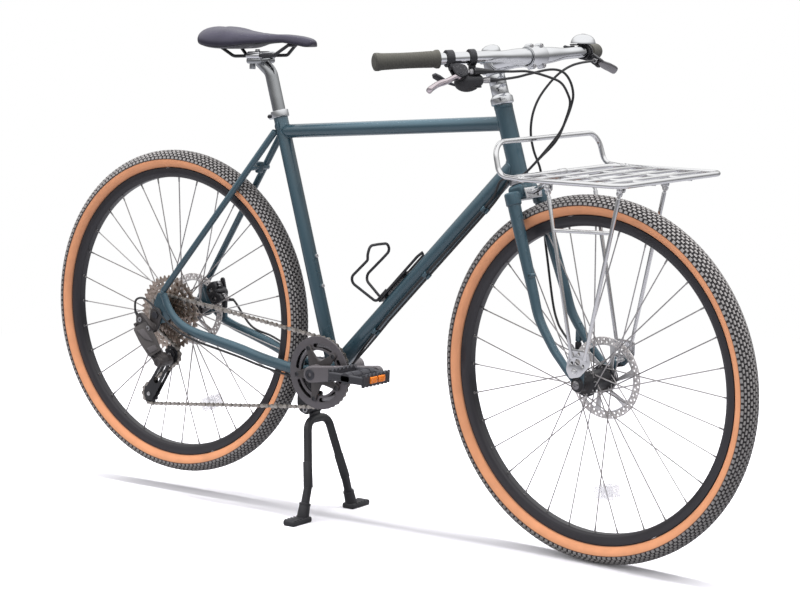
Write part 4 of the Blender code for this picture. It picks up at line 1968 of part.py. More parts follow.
def build_drivetrain(bike, root):
    """Cranks, pedals, chain, cassette and rear mech."""
    crank = bike.axis("crank_axis", root, at(BRACKET))
    bike.add("crank_right", build_crank_right(), "grey_metal", crank)
    bike.add("crank_left", build_crank_left(), "grey_metal", crank)
    bike.add("chainring", build_chainring(), "grey_metal", crank)
    for side, word in ((-1, "right"), (1, "left")):
        spin = bike.axis(f"pedal_{word}_axis", crank, at(pedal_centre(side)))
        bike.add(f"pedal_{word}", build_pedal(side), "black_plastic", spin)
    bike.add("chain", build_chain(), "bronze_steel", root)
    cassette = bike.axis("cassette_axis", root, at(REAR_AXLE))
    bike.add("cassette", build_cassette(), "bronze_steel", cassette)
    bike.add("mech_bracket", build_mech_bracket(), "grey_metal", root)
    swing = bike.axis("mech_swing_axis", root, axis_frame(MECH_TOP, MECH_SWING, MECH_LINK))
    bike.add("mech_outer_link", build_mech_link(), "grey_metal", swing)
    lower = bike.axis("mech_knuckle_axis", swing, axis_frame(MECH_LOW, MECH_SWING, MECH_LINK))
    bike.add("mech_knuckle", build_mech_knuckle(), "grey_metal", lower)
    cage = bike.axis("mech_cage_axis", lower, at(CAGE_PIVOT + Vector((0.0, KNUCKLE_Y, 0.0))))
    bike.add("mech_cage", build_mech_cage(), "black_metal", cage)
    for centre, word in ((GUIDE_PULLEY, "guide"), (TENSION_PULLEY, "tension")):
        spin = bike.axis(f"{word}_pulley_axis", cage, at(centre))
        bike.add(f"{word}_pulley", build_pulley(centre), "black_plastic", spin)


def main():
    """Builds the bike and stands it on its front tyre and stand feet."""
    clear_scene()
    pieces = new_collection("hybrid_bike")
    joints = new_collection("joint_axes")
    bike = Assembly(pieces, joints)
    root = bike.axis("hybrid_bike_root", None, Matrix.Identity(4))
    turn = Matrix.Rotation(STEER_REST_ANGLE, 4, "Z")
    steering = bike.axis("steering_axis", root, STEER_FRAME, turn)
    bike.add("frame", build_frame(), "painted_steel", root)
    bike.add("headset_cup_upper", build_cup_upper(), "polished_silver", root)
    bike.add("headset_cup_lower", build_cup_lower(), "polished_silver", root)
    bike.add("seat_collar", build_seat_collar(), "polished_silver", root)
    bike.add("bottle_cage", build_bottle_cage(), "black_metal", root)
    bike.add("bottom_bracket", build_bottom_bracket(), "black_metal", root)
    bike.add("kickstand_bracket", build_stand_bracket(), "black_metal", root)
    bike.add("rear_axle", build_rear_axle(), "black_metal", root)
    caliper = build_caliper(REAR_CALIPER, REAR_AXLE, REAR_ROTOR_Y, REAR_BRAKE_SEAT, 1)
    bike.add("rear_caliper", caliper, "black_metal", root)
    bike.add("shift_housing", build_housing("shift_housing", route_shift()), "housing_black", root)
    bike.add(
        "rear_brake_housing", build_housing("rear_brake_housing", route_rear_brake()), "housing_black", root
    )
    post = bike.axis("seatpost_axis", root, at(SEAT_TOP) @ Matrix.Rotation(SEAT_ANGLE - math.pi / 2, 4, "Y"))
    bike.add("seatpost", build_seatpost(), "polished_silver", post)
    bike.add("saddle_clamp", build_saddle_clamp(), "black_metal", post)
    bike.add("saddle_rails", build_saddle_rails(), "black_metal", post)
    bike.add("saddle", build_saddle(), "saddle_cover", post)
    stand = bike.axis("kickstand_axis", root, at(STAND_PIVOT))
    bike.add("kickstand_legs", build_stand_legs(), "black_metal", stand)
    for side, word in ((-1, "right"), (1, "left")):
        bike.add(f"kickstand_foot_{word}", build_stand_foot(side), "black_plastic", stand)
    build_cockpit(bike, steering)
    build_drivetrain(bike, root)
    build_wheels(bike, root, steering)
    root.matrix_basis = standing_pose()
    bpy.context.view_layer.update()


if __name__ == "__main__":
    main()
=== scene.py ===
"""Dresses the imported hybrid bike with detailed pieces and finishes.

Shapes are drawn in the bike's own level frame: +X forward, +Y to the rider's left, +Z up, the wheels on
z = 0 and the origin midway between the axles. A placement then stands each shape where its solid is.
"""

import logging
import math
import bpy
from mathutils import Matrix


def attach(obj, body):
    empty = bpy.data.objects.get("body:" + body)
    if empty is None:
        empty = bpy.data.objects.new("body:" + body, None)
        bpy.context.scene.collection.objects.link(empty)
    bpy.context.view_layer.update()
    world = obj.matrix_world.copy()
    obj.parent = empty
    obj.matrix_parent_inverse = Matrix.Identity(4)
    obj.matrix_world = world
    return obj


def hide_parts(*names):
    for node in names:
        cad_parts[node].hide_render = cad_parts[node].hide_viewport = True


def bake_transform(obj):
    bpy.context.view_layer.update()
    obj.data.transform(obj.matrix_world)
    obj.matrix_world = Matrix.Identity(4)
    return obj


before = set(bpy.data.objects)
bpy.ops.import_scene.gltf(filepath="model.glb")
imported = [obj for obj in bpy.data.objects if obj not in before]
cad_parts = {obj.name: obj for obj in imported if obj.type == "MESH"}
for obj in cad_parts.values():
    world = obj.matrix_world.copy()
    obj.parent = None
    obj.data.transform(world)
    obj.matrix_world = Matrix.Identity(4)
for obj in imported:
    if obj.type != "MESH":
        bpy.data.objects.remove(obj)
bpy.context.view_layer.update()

import zlib
from dataclasses import dataclass, field
from enum import Enum
from typing import Any, Iterable, Sequence

import bmesh
import bpy
import numpy as np
from mathutils import Matrix

log = logging.getLogger("bike")
Array = np.ndarray
Loop = Sequence[tuple[float, float]]
Surface = tuple[Array, Any]


def vec(*values: float) -> Array:
    """A numpy vector."""
    return np.array(values, float)


def unit(v: Array) -> Array:
    """The vector at length one."""
    return np.asarray(v, float) / np.linalg.norm(v)


def unit_rows(rows: Array) -> Array:
    """Each row of an array at length one."""
    return rows / np.linalg.norm(rows, axis=1)[:, None]


def shift(point: Sequence[float]) -> Array:
    """A 4x4 translation.

    Args:
        point: how far it goes along X, Y and Z.

    Returns:
        The 4x4 matrix.
    """
    made = np.eye(4)
    made[:3, 3] = point
    return made


def spin(angle: float, axis: str) -> Array:
    """A 4x4 turn about a coordinate axis, by the right-hand rule.

    Args:
        angle: the angle in radians.
        axis: X, Y or Z.

    Returns:
        The 4x4 matrix.
    """
    c, s = math.cos(angle), math.sin(angle)
    i, j = {"X": (1, 2), "Y": (2, 0), "Z": (0, 1)}[axis]
    made = np.eye(4)
    made[i, i] = made[j, j] = c
    made[i, j], made[j, i] = -s, s
    return made


def axes_at(origin: Sequence[float], z: Sequence[float], x_hint: Sequence[float]) -> Array:
    """A frame with Z on a direction and X as near as it can be to a hint.

    Args:
        origin: the frame's origin.
        z: the direction of its Z.
        x_hint: the direction that its X lies near.

    Returns:
        The 4x4 frame.
    """
    up = unit(np.asarray(z, float))
    hint = np.asarray(x_hint, float)
    side = unit(hint - up * (hint @ up))
    made = np.eye(4)
    made[:3, 0], made[:3, 1], made[:3, 2], made[:3, 3] = side, np.cross(up, side), up, origin
    return made


def placed(points: Array, matrix: Array) -> Array:
    """Points carried by a 4x4 matrix."""
    return np.asarray(points, float) @ matrix[:3, :3].T + matrix[:3, 3]


def spot(matrix: Array, x: float, y: float = 0.0, z: float = 0.0) -> Array:
    """One point given in a frame's own coordinates."""
    return placed(vec(x, y, z)[None], matrix)[0]


def mirror(points: Any, side: float) -> Array:
    """Points with y times the side, +1 left and -1 right."""
    return np.asarray(points, float) * vec(1.0, side, 1.0)


@dataclass(frozen=True)
class Layout:
    """The driving sizes of the bike, in metres and radians."""

    wheelbase: float = 1.069
    wheel_radius: float = 0.356
    lift: float = math.radians(2.35)
    steer: float = math.radians(-4.6)
    head_angle: float = math.radians(71.5)
    seat_angle: float = math.radians(72.3)
    seat_length: float = 0.5405
    head_length: float = 0.1445
    stay_length: float = 0.443
    bracket_drop: float = 0.069
    lean_drop: float = 0.0235 * 0.42 * math.sin(math.radians(4.6)) * math.cos(math.radians(71.5))


SIZE = Layout()
FRONT = vec(SIZE.wheelbase / 2, 0.0, SIZE.wheel_radius)
REAR = vec(-SIZE.wheelbase / 2, 0.0, SIZE.wheel_radius)
BRACKET = REAR + vec(math.sqrt(SIZE.stay_length**2 - SIZE.bracket_drop**2), 0.0, -SIZE.bracket_drop)
SEAT_AXIS = vec(-math.cos(SIZE.seat_angle), 0.0, math.sin(SIZE.seat_angle))
SEAT_TOP = BRACKET + SEAT_AXIS * SIZE.seat_length
HEAD_BOTTOM = vec(0.3405, 0.0, 0.727)
STEER_AXIS = vec(-math.cos(SIZE.head_angle), 0.0, math.sin(SIZE.head_angle))
DOWN_TOP = HEAD_BOTTOM + STEER_AXIS * 0.027
DOWN_AXIS = unit(DOWN_TOP - BRACKET)
DOWN_UNDER = vec(DOWN_AXIS[2], 0.0, -DOWN_AXIS[0])
STEER_FRAME = shift(HEAD_BOTTOM) @ spin(SIZE.head_angle - math.pi / 2, "Y")
ALONG_Y = spin(-math.pi / 2, "X")
SIDE_ON = spin(math.pi / 2, "X")
BAR_CENTRE = vec(0.365, 0.0, 0.962)
BAR_END = vec(0.263, 0.344, 0.957)
CHAIN_Y = -0.046
CRANK_ANGLE = math.radians(9.8)
CRANK_LENGTH = 0.17
GUIDE = vec(-0.512, CHAIN_Y, 0.268)
TENSION = vec(-0.5715, CHAIN_Y, 0.1725)
PITCH = 0.0127
HANGER = vec(-0.541, -0.0731, 0.328)
LEVER_FROM_END = 0.147
SIDES = ((-1, "right"), (1, "left"))


def standing() -> Array:
    """The level bike tipped about its front axle onto its stand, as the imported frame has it.

    Returns:
        The 4x4 matrix.
    """
    tip = shift(FRONT) @ spin(SIZE.lift, "Y") @ shift(-FRONT)
    middle = (spot(tip, *REAR)[0] + FRONT[0]) / 2
    return shift((-middle, 0.0, SIZE.lean_drop)) @ tip


STAND = standing()
TURNED = STAND @ STEER_FRAME @ spin(SIZE.steer, "Z") @ np.linalg.inv(STEER_FRAME)


class Place(Enum):
    """Which of the two placements carries a shape to where it stands."""

    FRAME = "frame"
    STEERING = "steering"

    @property
    def matrix(self) -> Array:
        """The placement's 4x4 matrix."""
        return STAND if self is Place.FRAME else TURNED


def steer_at(height: float, forward: float = 0.0, across: float = 0.0) -> Array:
    """A point by its height on the steering axis."""
    return spot(STEER_FRAME, forward, across, height)


def down_at(distance: float, under: float = 0.0, across: float = 0.0) -> Array:
    """A point beside the down tube, by its distance from the bottom bracket."""
    return BRACKET + DOWN_AXIS * distance + DOWN_UNDER * under + vec(0.0, across, 0.0)


def at_rest(point: Sequence[float]) -> Array:
    """Where a point of the straight-ahead steering lies in the level frame at the rest angle."""
    return spot(STEER_FRAME @ spin(SIZE.steer, "Z") @ np.linalg.inv(STEER_FRAME), *point)


def side_view(point: Array) -> Array:
    """The x and z of a point."""
    return point[[0, 2]]


def bar_frame(side: float, from_end: float) -> Array:
    """Frame on the handlebar: Z outward along it, X forward and Y up.

    Args:
        side: -1 for the right and 1 for the left.
        from_end: the distance from the bar's end.

    Returns:
        The 4x4 frame.
    """
    end = mirror(BAR_END, side)
    bend = mirror((BAR_CENTRE[0], 0.15, BAR_CENTRE[2] + 0.004), side)
    outward = unit(end - bend)
    forward = unit(np.cross(vec(0.0, 0.0, 1.0), outward)) * -side
    return axes_at(end - outward * from_end, outward, forward)


def lever_frame(side: float) -> Array:
    """Frame of a brake lever: X from the bar to the lever, Z outward along the bar.

    Args:
        side: -1 for the right and 1 for the left.

    Returns:
        The 4x4 frame.
    """
    base = bar_frame(side, LEVER_FROM_END)
    tilt = math.radians(-55.0 if side < 0 else -33.0)
    return base @ spin(tilt * (1.0 if base[2, 1] > 0 else -1.0), "Z")


@dataclass
class Skin:
    """Closed surfaces gathered into one mesh.

    Each surface keeps a tone, one number that its finish may read to tell one part from the next. Chain and
    cassette steel darken by it as painted shade; the tread greys its knob tops by it as wear and painted
    highlight.
    """

    points: list[Array] = field(default_factory=list)
    faces: list[list[tuple[int, ...]]] = field(default_factory=list)
    tones: list[Array] = field(default_factory=list)
    size: int = 0

    def add(self, surface: Surface, tone: float | Array = 0.0) -> "Skin":
        """Adds one surface.

        Args:
            surface: its points and its faces.
            tone: one number for all its points, or one for each.

        Returns:
            The skin itself.
        """
        points, faces = surface
        points = np.asarray(points, float)
        self.points.append(points)
        self.faces.append([tuple(int(i) + self.size for i in face) for face in faces])
        self.tones.append(np.broadcast_to(np.asarray(tone, float), (len(points),)))
        self.size += len(points)
        return self

    def object(self, name: str, placement: Array, crease: float = 32.0) -> bpy.types.Object:
        """The mesh object, standing in its place.

        Args:
            name: the piece's name.
            placement: the 4x4 matrix that carries the drawn points to where they stand.
            crease: the angle in degrees above which an edge stays sharp.

        Returns:
            An object at the origin with its place in its mesh.
        """
        drawn = np.vstack(self.points)
        mesh = bpy.data.meshes.new(name)
        mesh.from_pydata(placed(drawn, placement).tolist(), [], [f for part in self.faces for f in part])
        local = mesh.attributes.new("local", "FLOAT_VECTOR", "POINT")
        local.data.foreach_set("vector", drawn.ravel().astype(np.float32))
        tone = mesh.attributes.new("tone", "FLOAT", "POINT")
        tone.data.foreach_set("value", np.concatenate(self.tones).astype(np.float32))
        shape = bmesh.new()
        shape.from_mesh(mesh)
        bmesh.ops.remove_doubles(shape, verts=shape.verts, dist=1e-6)
        bmesh.ops.dissolve_degenerate(shape, edges=shape.edges, dist=1e-7)
        bmesh.ops.recalc_face_normals(shape, faces=shape.faces)
        shape.to_mesh(mesh)
        shape.free()
        mesh.shade_smooth()
        mesh.set_sharp_from_angle(angle=math.radians(crease))
        obj = bpy.data.objects.new(name, mesh)
        bpy.context.scene.collection.objects.link(obj)
        return obj


def grid(rows: int, cols: int, wrap_rows: bool, wrap_cols: bool) -> Array:
    """Quads over a rows by cols grid of points, closed round either way where it wraps.

    Args:
        rows: how many rows of points.
        cols: how many points in a row.
        wrap_rows: whether the last row meets the first.
        wrap_cols: whether each row closes on itself.

    Returns:
        Four point numbers for each face.
    """
    i, j = np.meshgrid(np.arange(rows if wrap_rows else rows - 1),
                       np.arange(cols if wrap_cols else cols - 1), indexing="ij")
    i, j = i.ravel(), j.ravel()
    k, m = (i + 1) % rows, (j + 1) % cols
    return np.stack([i * cols + j, i * cols + m, k * cols + m, k * cols + j], axis=1)


def loft(rows: Array, closed: bool = False) -> Surface:
    """A surface through closed cross-sections: point (i, j) is section i at its place j round it.

    Args:
        rows: sections by points by 3.
        closed: whether the last section meets the first. Otherwise both ends are capped.

    Returns:
        Its points and faces.
    """
    n, m, _ = rows.shape
    faces = [tuple(f) for f in grid(n, m, closed, True)]
    if not closed:
        faces += [tuple(range(m))[::-1], tuple(range((n - 1) * m, n * m))]
    return rows.reshape(-1, 3), faces


def along(path: Any, sections: Array, closed: bool = False, hint: Sequence[float] | None = None) -> Surface:
    """A profile carried along a path: P(i, j) = C(i) + s(j) N(i) + t(j) B(i).

    N and B are carried from point to point without twist, square to the path.

    Args:
        path: the points C.
        sections: one profile of (s, t) pairs, or one for each point of the path.
        closed: whether the path is a loop.
        hint: the direction that the first N lies near.

    Returns:
        Its points and faces.
    """
    path = np.asarray(path, float)
    n = len(path)
    ahead = np.roll(path, -1, 0) - path
    behind = path - np.roll(path, 1, 0)
    if not closed:
        ahead[-1], behind[0] = behind[-1], ahead[0]
    heading = unit_rows(unit_rows(ahead) + unit_rows(behind))
    if hint is None:
        hint = (0.0, 1.0, 0.0) if abs(heading[0, 1]) < 0.8 else (0.0, 0.0, 1.0)
    first = np.asarray(hint, float)
    normals = [unit(first - heading[0] * (first @ heading[0]))]
    for t in heading[1:]:
        normals.append(unit(normals[-1] - t * (normals[-1] @ t)))
    normals = np.array(normals)
    cross = np.cross(heading, normals)
    sections = np.broadcast_to(np.asarray(sections, float), (n, *np.shape(sections)[-2:]))
    rows = path[:, None] + sections[..., :1] * normals[:, None] + sections[..., 1:] * cross[:, None]
    return loft(rows, closed)


def at_angles(radius: Any, angles: Array) -> Array:
    """Points at angles round a circle: (r cos a, r sin a)."""
    return np.stack([radius * np.cos(angles), radius * np.sin(angles)], axis=-1)


def disc(radius: float, sides: int, phase: float = 0.0) -> Array:
    """Points round a circle."""
    return at_angles(radius, phase + np.arange(sides) * 2 * math.pi / sides)


def tube(path: Any, radius: Any, sides: int = 16, closed: bool = False, flat: float = 1.0,
         hint: Sequence[float] | None = None) -> Surface:
    """A round or oval bar along a path: a circle of the radius, times flat across the hint, at each point.

    Args:
        path: its points.
        radius: one number, or one for each point.
        sides: how many points each circle has.
        closed: whether it is a loop.
        flat: the section's width across the hint over its height.
        hint: the direction of the section's height.

    Returns:
        Its points and faces.
    """
    path = np.asarray(path, float)
    radii = np.broadcast_to(np.asarray(radius, float), (len(path),))
    sections = disc(1.0, sides)[None] * radii[:, None, None] * vec(1.0, flat)
    return along(path, sections, closed, hint)


def turned(profile: Any, matrix: Array, steps: int = 40, ring: bool = False) -> Surface:
    """A turned shape: a profile of (radius, height) spun about the frame's Z, P = (r cos t, r sin t, h).

    Args:
        profile: its points in order. A ring's profile is a closed loop off the axis.
        matrix: the frame that it is turned in.
        steps: how many places round.
        ring: whether the profile closes on itself. Otherwise both its ends lie on the axis or are capped.

    Returns:
        Its points and faces.
    """
    profile = np.asarray(profile, float)
    t = np.arange(steps) * 2 * math.pi / steps
    r, h = profile[:, :1], profile[:, 1:]
    rows = np.stack([r * np.cos(t), r * np.sin(t), np.broadcast_to(h, (len(profile), steps))], axis=2)
    return loft(placed(rows.reshape(-1, 3), matrix).reshape(rows.shape), ring)


def soften(profile: Any, radius: float, steps: int = 3, ring: bool = False) -> Array:
    """A profile with each corner replaced by a short arc-like curve, its control point the corner.

    Args:
        profile: its points.
        radius: how far from a corner the curve starts, where the sides are long enough.
        steps: how many points each curve has.
        ring: whether the profile is a closed loop.

    Returns:
        The new profile's points.
    """
    p = np.asarray(profile, float)
    found = []
    count = len(p)
    for i in range(count):
        if not ring and i in (0, count - 1):
            found.append(p[i])
            continue
        a, b = p[i - 1] - p[i], p[(i + 1) % count] - p[i]
        la, lb = np.linalg.norm(a), np.linalg.norm(b)
        cut = min(radius, la * 0.45, lb * 0.45)
        first, last = p[i] + a / la * cut, p[i] + b / lb * cut
        for s in np.linspace(0.0, 1.0, steps):
            found.append((1 - s) ** 2 * first + 2 * s * (1 - s) * p[i] + s * s * last)
    return np.array(found)


def line_frame(start: Any, end: Any) -> tuple[Array, float]:
    """A frame at a line's start with its Z along the line, and the line's length.

    Args:
        start: one end of the line.
        end: its other end.

    Returns:
        The 4x4 frame and the length.
    """
    start, end = np.asarray(start, float), np.asarray(end, float)
    hint = (0.0, 1.0, 0.0) if abs(unit(end - start)[1]) < 0.9 else (1.0, 0.0, 0.0)
    return axes_at(start, end - start, hint), float(np.linalg.norm(end - start))


def rod(start: Any, end: Any, radius: float, end_radius: float | None = None, sides: int = 24,
        edge: float = 0.0005, dome: float = 0.0) -> Surface:
    """A straight round bar or cone with softened or domed ends, turned about the line between two points.

    Args:
        start: one end of the line.
        end: its other end.
        radius: its radius at the start.
        end_radius: its radius at the end, if that differs.
        sides: how many flats go round it.
        edge: how far its corners are softened.
        dome: the height of a dome on each end, or 0 for flat ends.

    Returns:
        Its points and faces.
    """
    frame_at, length = line_frame(start, end)
    far = radius if end_radius is None else end_radius
    if dome:
        t = np.linspace(0.0, math.pi / 2, 6)
        profile = [(radius * math.sin(a), dome * (1 - math.cos(a))) for a in t]
        profile += [(far * math.cos(a), length - dome + dome * math.sin(a)) for a in t]
    else:
        profile = soften([(0.0, 0.0), (radius, 0.0), (far, length), (0.0, length)], edge)
    return turned(profile, frame_at, sides)


def collar(start: Any, end: Any, outer: float, bore: float, sides: int = 40, edge: float = 0.0006) -> Surface:
    """A ring with a bore, turned about the line between two points.

    Args:
        start: one end of the line.
        end: its other end.
        outer: its outer radius.
        bore: the radius of its bore.
        sides: how many flats go round it.
        edge: how far its corners are softened.

    Returns:
        Its points and faces.
    """
    frame_at, length = line_frame(start, end)
    profile = soften([(bore, 0.0), (outer, 0.0), (outer, length), (bore, length)], edge, ring=True)
    return turned(profile, frame_at, sides, ring=True)


def screw(matrix: Array, radius: float, height: float, socket: float = 0.5) -> Surface:
    """A cap-head screw along the frame's Z: a domed round head with a socket sunk in it.

    Args:
        matrix: its frame, with the origin under the head.
        radius: the head's radius.
        height: the head's height.
        socket: the socket's radius over the head's.

    Returns:
        Its points and faces.
    """
    inner = radius * socket
    profile = [(0.0, 0.0), (radius, 0.0), (radius, height * 0.75), (radius * 0.86, height), (inner, height),
               (inner, height * 0.45), (0.0, height * 0.45)]
    return turned(soften(profile, radius * 0.12, 2), matrix, 18)


def box(size: Sequence[float], matrix: Array, round_off: float = 0.001, steps: int = 3) -> Surface:
    """A box with round edges: P = sign (half - r) + r d, for directions d over the sphere in eight parts.

    Args:
        size: its full length along X, Y and Z.
        matrix: the frame at its centre.
        round_off: the edges' radius r.
        steps: how many parts each rounded edge has.

    Returns:
        Its points and faces.
    """
    half = np.asarray(size, float) / 2
    r = min(round_off, *(half * 0.98))
    quarter = np.linspace(0.0, math.pi / 2, steps + 1)
    around = np.concatenate([q * math.pi / 2 + quarter for q in range(4)])
    up = np.concatenate([quarter - math.pi / 2, quarter])
    sx = np.repeat([1, -1, -1, 1], steps + 1)
    sy = np.repeat([1, 1, -1, -1], steps + 1)
    sz = np.repeat([-1, 1], steps + 1)
    e, a = np.meshgrid(up, around, indexing="ij")
    d = np.stack([np.cos(e) * np.cos(a), np.cos(e) * np.sin(a), np.sin(e)], axis=2)
    sign = np.stack([np.broadcast_to(sx, e.shape), np.broadcast_to(sy, e.shape),
                     np.broadcast_to(sz[:, None], e.shape)], axis=2)
    rows = sign * (half - r) + d * r
    return loft(placed(rows.reshape(-1, 3), matrix).reshape(rows.shape))


def plate(outline: Loop, thickness: float, matrix: Array, holes: Iterable[Loop] = (), edge: float = 0.0004,
          steps: int = 1) -> Surface:
    """A flat plate with rounded rims, filled between its outline and its holes.

    Args:
        outline: its rim in the frame's XY plane.
        thickness: its full thickness, half on each side of the plane.
        matrix: its frame.
        holes: the rims of its openings.
        edge: the radius of its rounded rims.
        steps: how many parts each rounded rim has.

    Returns:
        Its points and faces.
    """
    curve = bpy.data.curves.new("outline", "CURVE")
    curve.dimensions = "2D"
    curve.fill_mode = "BOTH"
    edge = min(edge, thickness * 0.45)
    curve.extrude = thickness / 2 - edge
    curve.bevel_depth = edge
    curve.bevel_resolution = steps
    curve.offset = -edge
    for rim in (outline, *holes):
        rim = np.asarray(rim, float)
        spline = curve.splines.new("POLY")
        spline.points.add(len(rim) - 1)
        spline.points.foreach_set("co", np.c_[rim, np.zeros(len(rim)), np.ones(len(rim))].ravel())
        spline.use_cyclic_u = True
    obj = bpy.data.objects.new("outline", curve)
    bpy.context.scene.collection.objects.link(obj)
    mesh = bpy.data.meshes.new_from_object(obj.evaluated_get(bpy.context.evaluated_depsgraph_get()))
    points = np.zeros(len(mesh.vertices) * 3)
    mesh.vertices.foreach_get("co", points)
    faces = [tuple(p.vertices) for p in mesh.polygons]
    bpy.data.objects.remove(obj)
    bpy.data.curves.remove(curve)
    bpy.data.meshes.remove(mesh)
    return placed(points.reshape(-1, 3), matrix), faces


def polar(radius: float, angle: float) -> tuple[float, float]:
    """A point of a circle."""
    return radius * math.cos(angle), radius * math.sin(angle)


def circle(radius: float, count: int, centre: Any = (0.0, 0.0)) -> Array:
    """The rim of a round plate or hole."""
    return disc(radius, count) + np.asarray(centre)


def hull(first: Any, r1: float, second: Any, r2: float, steps: int = 14) -> Array:
    """Two circles joined by their outer tangents.

    Args:
        first: the first circle's centre.
        r1: its radius.
        second: the second circle's centre.
        r2: its radius.
        steps: how many points each arc has.

    Returns:
        Its points in order.
    """
    gap = np.subtract(second, first)
    heading = math.atan2(gap[1], gap[0])
    spread = math.acos((r1 - r2) / np.linalg.norm(gap))
    far = np.linspace(heading - spread, heading + spread, steps)
    near = np.linspace(heading + spread, heading - spread + 2 * math.pi, steps)
    return np.vstack([np.asarray(second) + at_angles(r2, far), np.asarray(first) + at_angles(r1, near)])


def arc_slot(radius: float, half_width: float, middle: float, half_angle: float, steps: int = 14) -> Array:
    """A curved slot with round ends that follows a circle.

    Args:
        radius: the radius of its middle line.
        half_width: half its width.
        middle: the angle of its middle.
        half_angle: half the angle that it spans.
        steps: how many points each long side has.

    Returns:
        Its points in order.
    """
    a = np.linspace(middle - half_angle, middle + half_angle, steps)
    ends = np.linspace(0.0, math.pi, 6)[1:-1]
    outer, inner = at_angles(radius + half_width, a), at_angles(radius - half_width, a[::-1])
    cap1 = [np.add(polar(radius, a[-1]), polar(half_width, a[-1] + t)) for t in ends]
    cap2 = [np.add(polar(radius, a[0]), polar(half_width, a[0] + math.pi + t)) for t in ends]
    return np.vstack([outer, cap1, inner, cap2])


def bent(corners: Any, bend: Any, steps: int = 8) -> Array:
    """Straight runs with an arc of the bend radius at each inner corner.

    Args:
        corners: the points where the runs would meet.
        bend: the radius of the bends, one or one each.
        steps: how many points each bend has.

    Returns:
        Its points in order.
    """
    corners = np.asarray(corners, float)
    bends = np.broadcast_to(np.asarray(bend, float), (len(corners) - 2,))
    path = [corners[0]]
    for before, corner, after, radius in zip(corners, corners[1:], corners[2:], bends):
        back, ahead = unit(before - corner), unit(after - corner)
        half = math.acos(np.clip(back @ ahead, -1, 1)) / 2
        centre = corner + unit(back + ahead) * radius / math.sin(half)
        u = unit(corner + back * radius / math.tan(half) - centre)
        v = unit(corner + ahead * radius / math.tan(half) - centre)
        sweep = math.acos(np.clip(u @ v, -1, 1))
        w = unit(v - u * (u @ v))
        path += [centre + radius * (u * math.cos(t) + w * math.sin(t)) for t in np.linspace(0, sweep, steps)]
    path.append(corners[-1])
    return np.array(path)


def running(line: Array) -> Array:
    """The length of a line up to each of its points."""
    return np.concatenate([[0.0], np.cumsum(np.linalg.norm(np.diff(line, axis=0), axis=1))])


def spaced(line: Array, count: int) -> Array:
    """Points at even distances along a line, from its first point to its last.

    Args:
        line: the line's points.
        count: how many points are made.

    Returns:
        The new points.
    """
    run = running(line)
    places = np.linspace(0.0, run[-1], count)
    return np.stack([np.interp(places, run, line[:, k]) for k in range(line.shape[1])], axis=1)


def flowing(points: Any, count: int) -> Array:
    """Evenly spaced points of the smooth cubic through a route's own points.

    Args:
        points: the route's points.
        count: how many points are made.

    Returns:
        The new points.
    """
    route = np.array([tuple(p) for p in points], float)
    ends = np.vstack([2 * route[0] - route[1], route, 2 * route[-1] - route[-2]])
    t = np.linspace(0.0, 1.0, 24, endpoint=False)[:, None]
    spans = [0.5 * (2 * b + (c - a) * t + (2 * a - 5 * b + 4 * c - d) * t**2 + (3 * b - a - 3 * c + d) * t**3)
             for a, b, c, d in zip(ends, ends[1:], ends[2:], ends[3:])]
    return spaced(np.vstack([*spans, route[-1:]]), count)


def weld_bead(start: Any, heading: Any, radius: float, host: Any, host_axis: Any, host_radius: float,
              size: float = 0.0021) -> Surface:
    """The fillet where a tube runs into another: a bead along the line in which the two cylinders meet.

    Each line of the tube's wall, A + r u(t) + s d, meets the host where its distance from the host's axis
    is the host's radius, the nearer root s of a quadratic.

    Args:
        start: a point on the tube's axis, outside the host.
        heading: the tube's direction, towards the host.
        radius: the tube's radius.
        host: a point on the host's axis.
        host_axis: the host's direction.
        host_radius: the host's radius.
        size: the bead's radius.

    Returns:
        Its points and faces.
    """
    d, axis = unit(heading), unit(host_axis)
    side = unit(np.cross(d, axis) if np.linalg.norm(np.cross(d, axis)) > 1e-6 else vec(0, 1, 0))
    other = np.cross(d, side)
    t = np.arange(48) * 2 * math.pi / 48
    base = np.asarray(start, float) + radius * (np.cos(t)[:, None] * side + np.sin(t)[:, None] * other)
    off = base - np.asarray(host, float)
    off = off - (off @ axis)[:, None] * axis
    flat = d - (d @ axis) * axis
    a, b, c = flat @ flat, 2 * off @ flat, np.einsum("ij,ij->i", off, off) - host_radius**2
    root = (-b - np.sqrt(np.maximum(b * b - 4 * a * c, 0.0))) / (2 * a)
    return tube(base + root[:, None] * d, size, 8, closed=True)


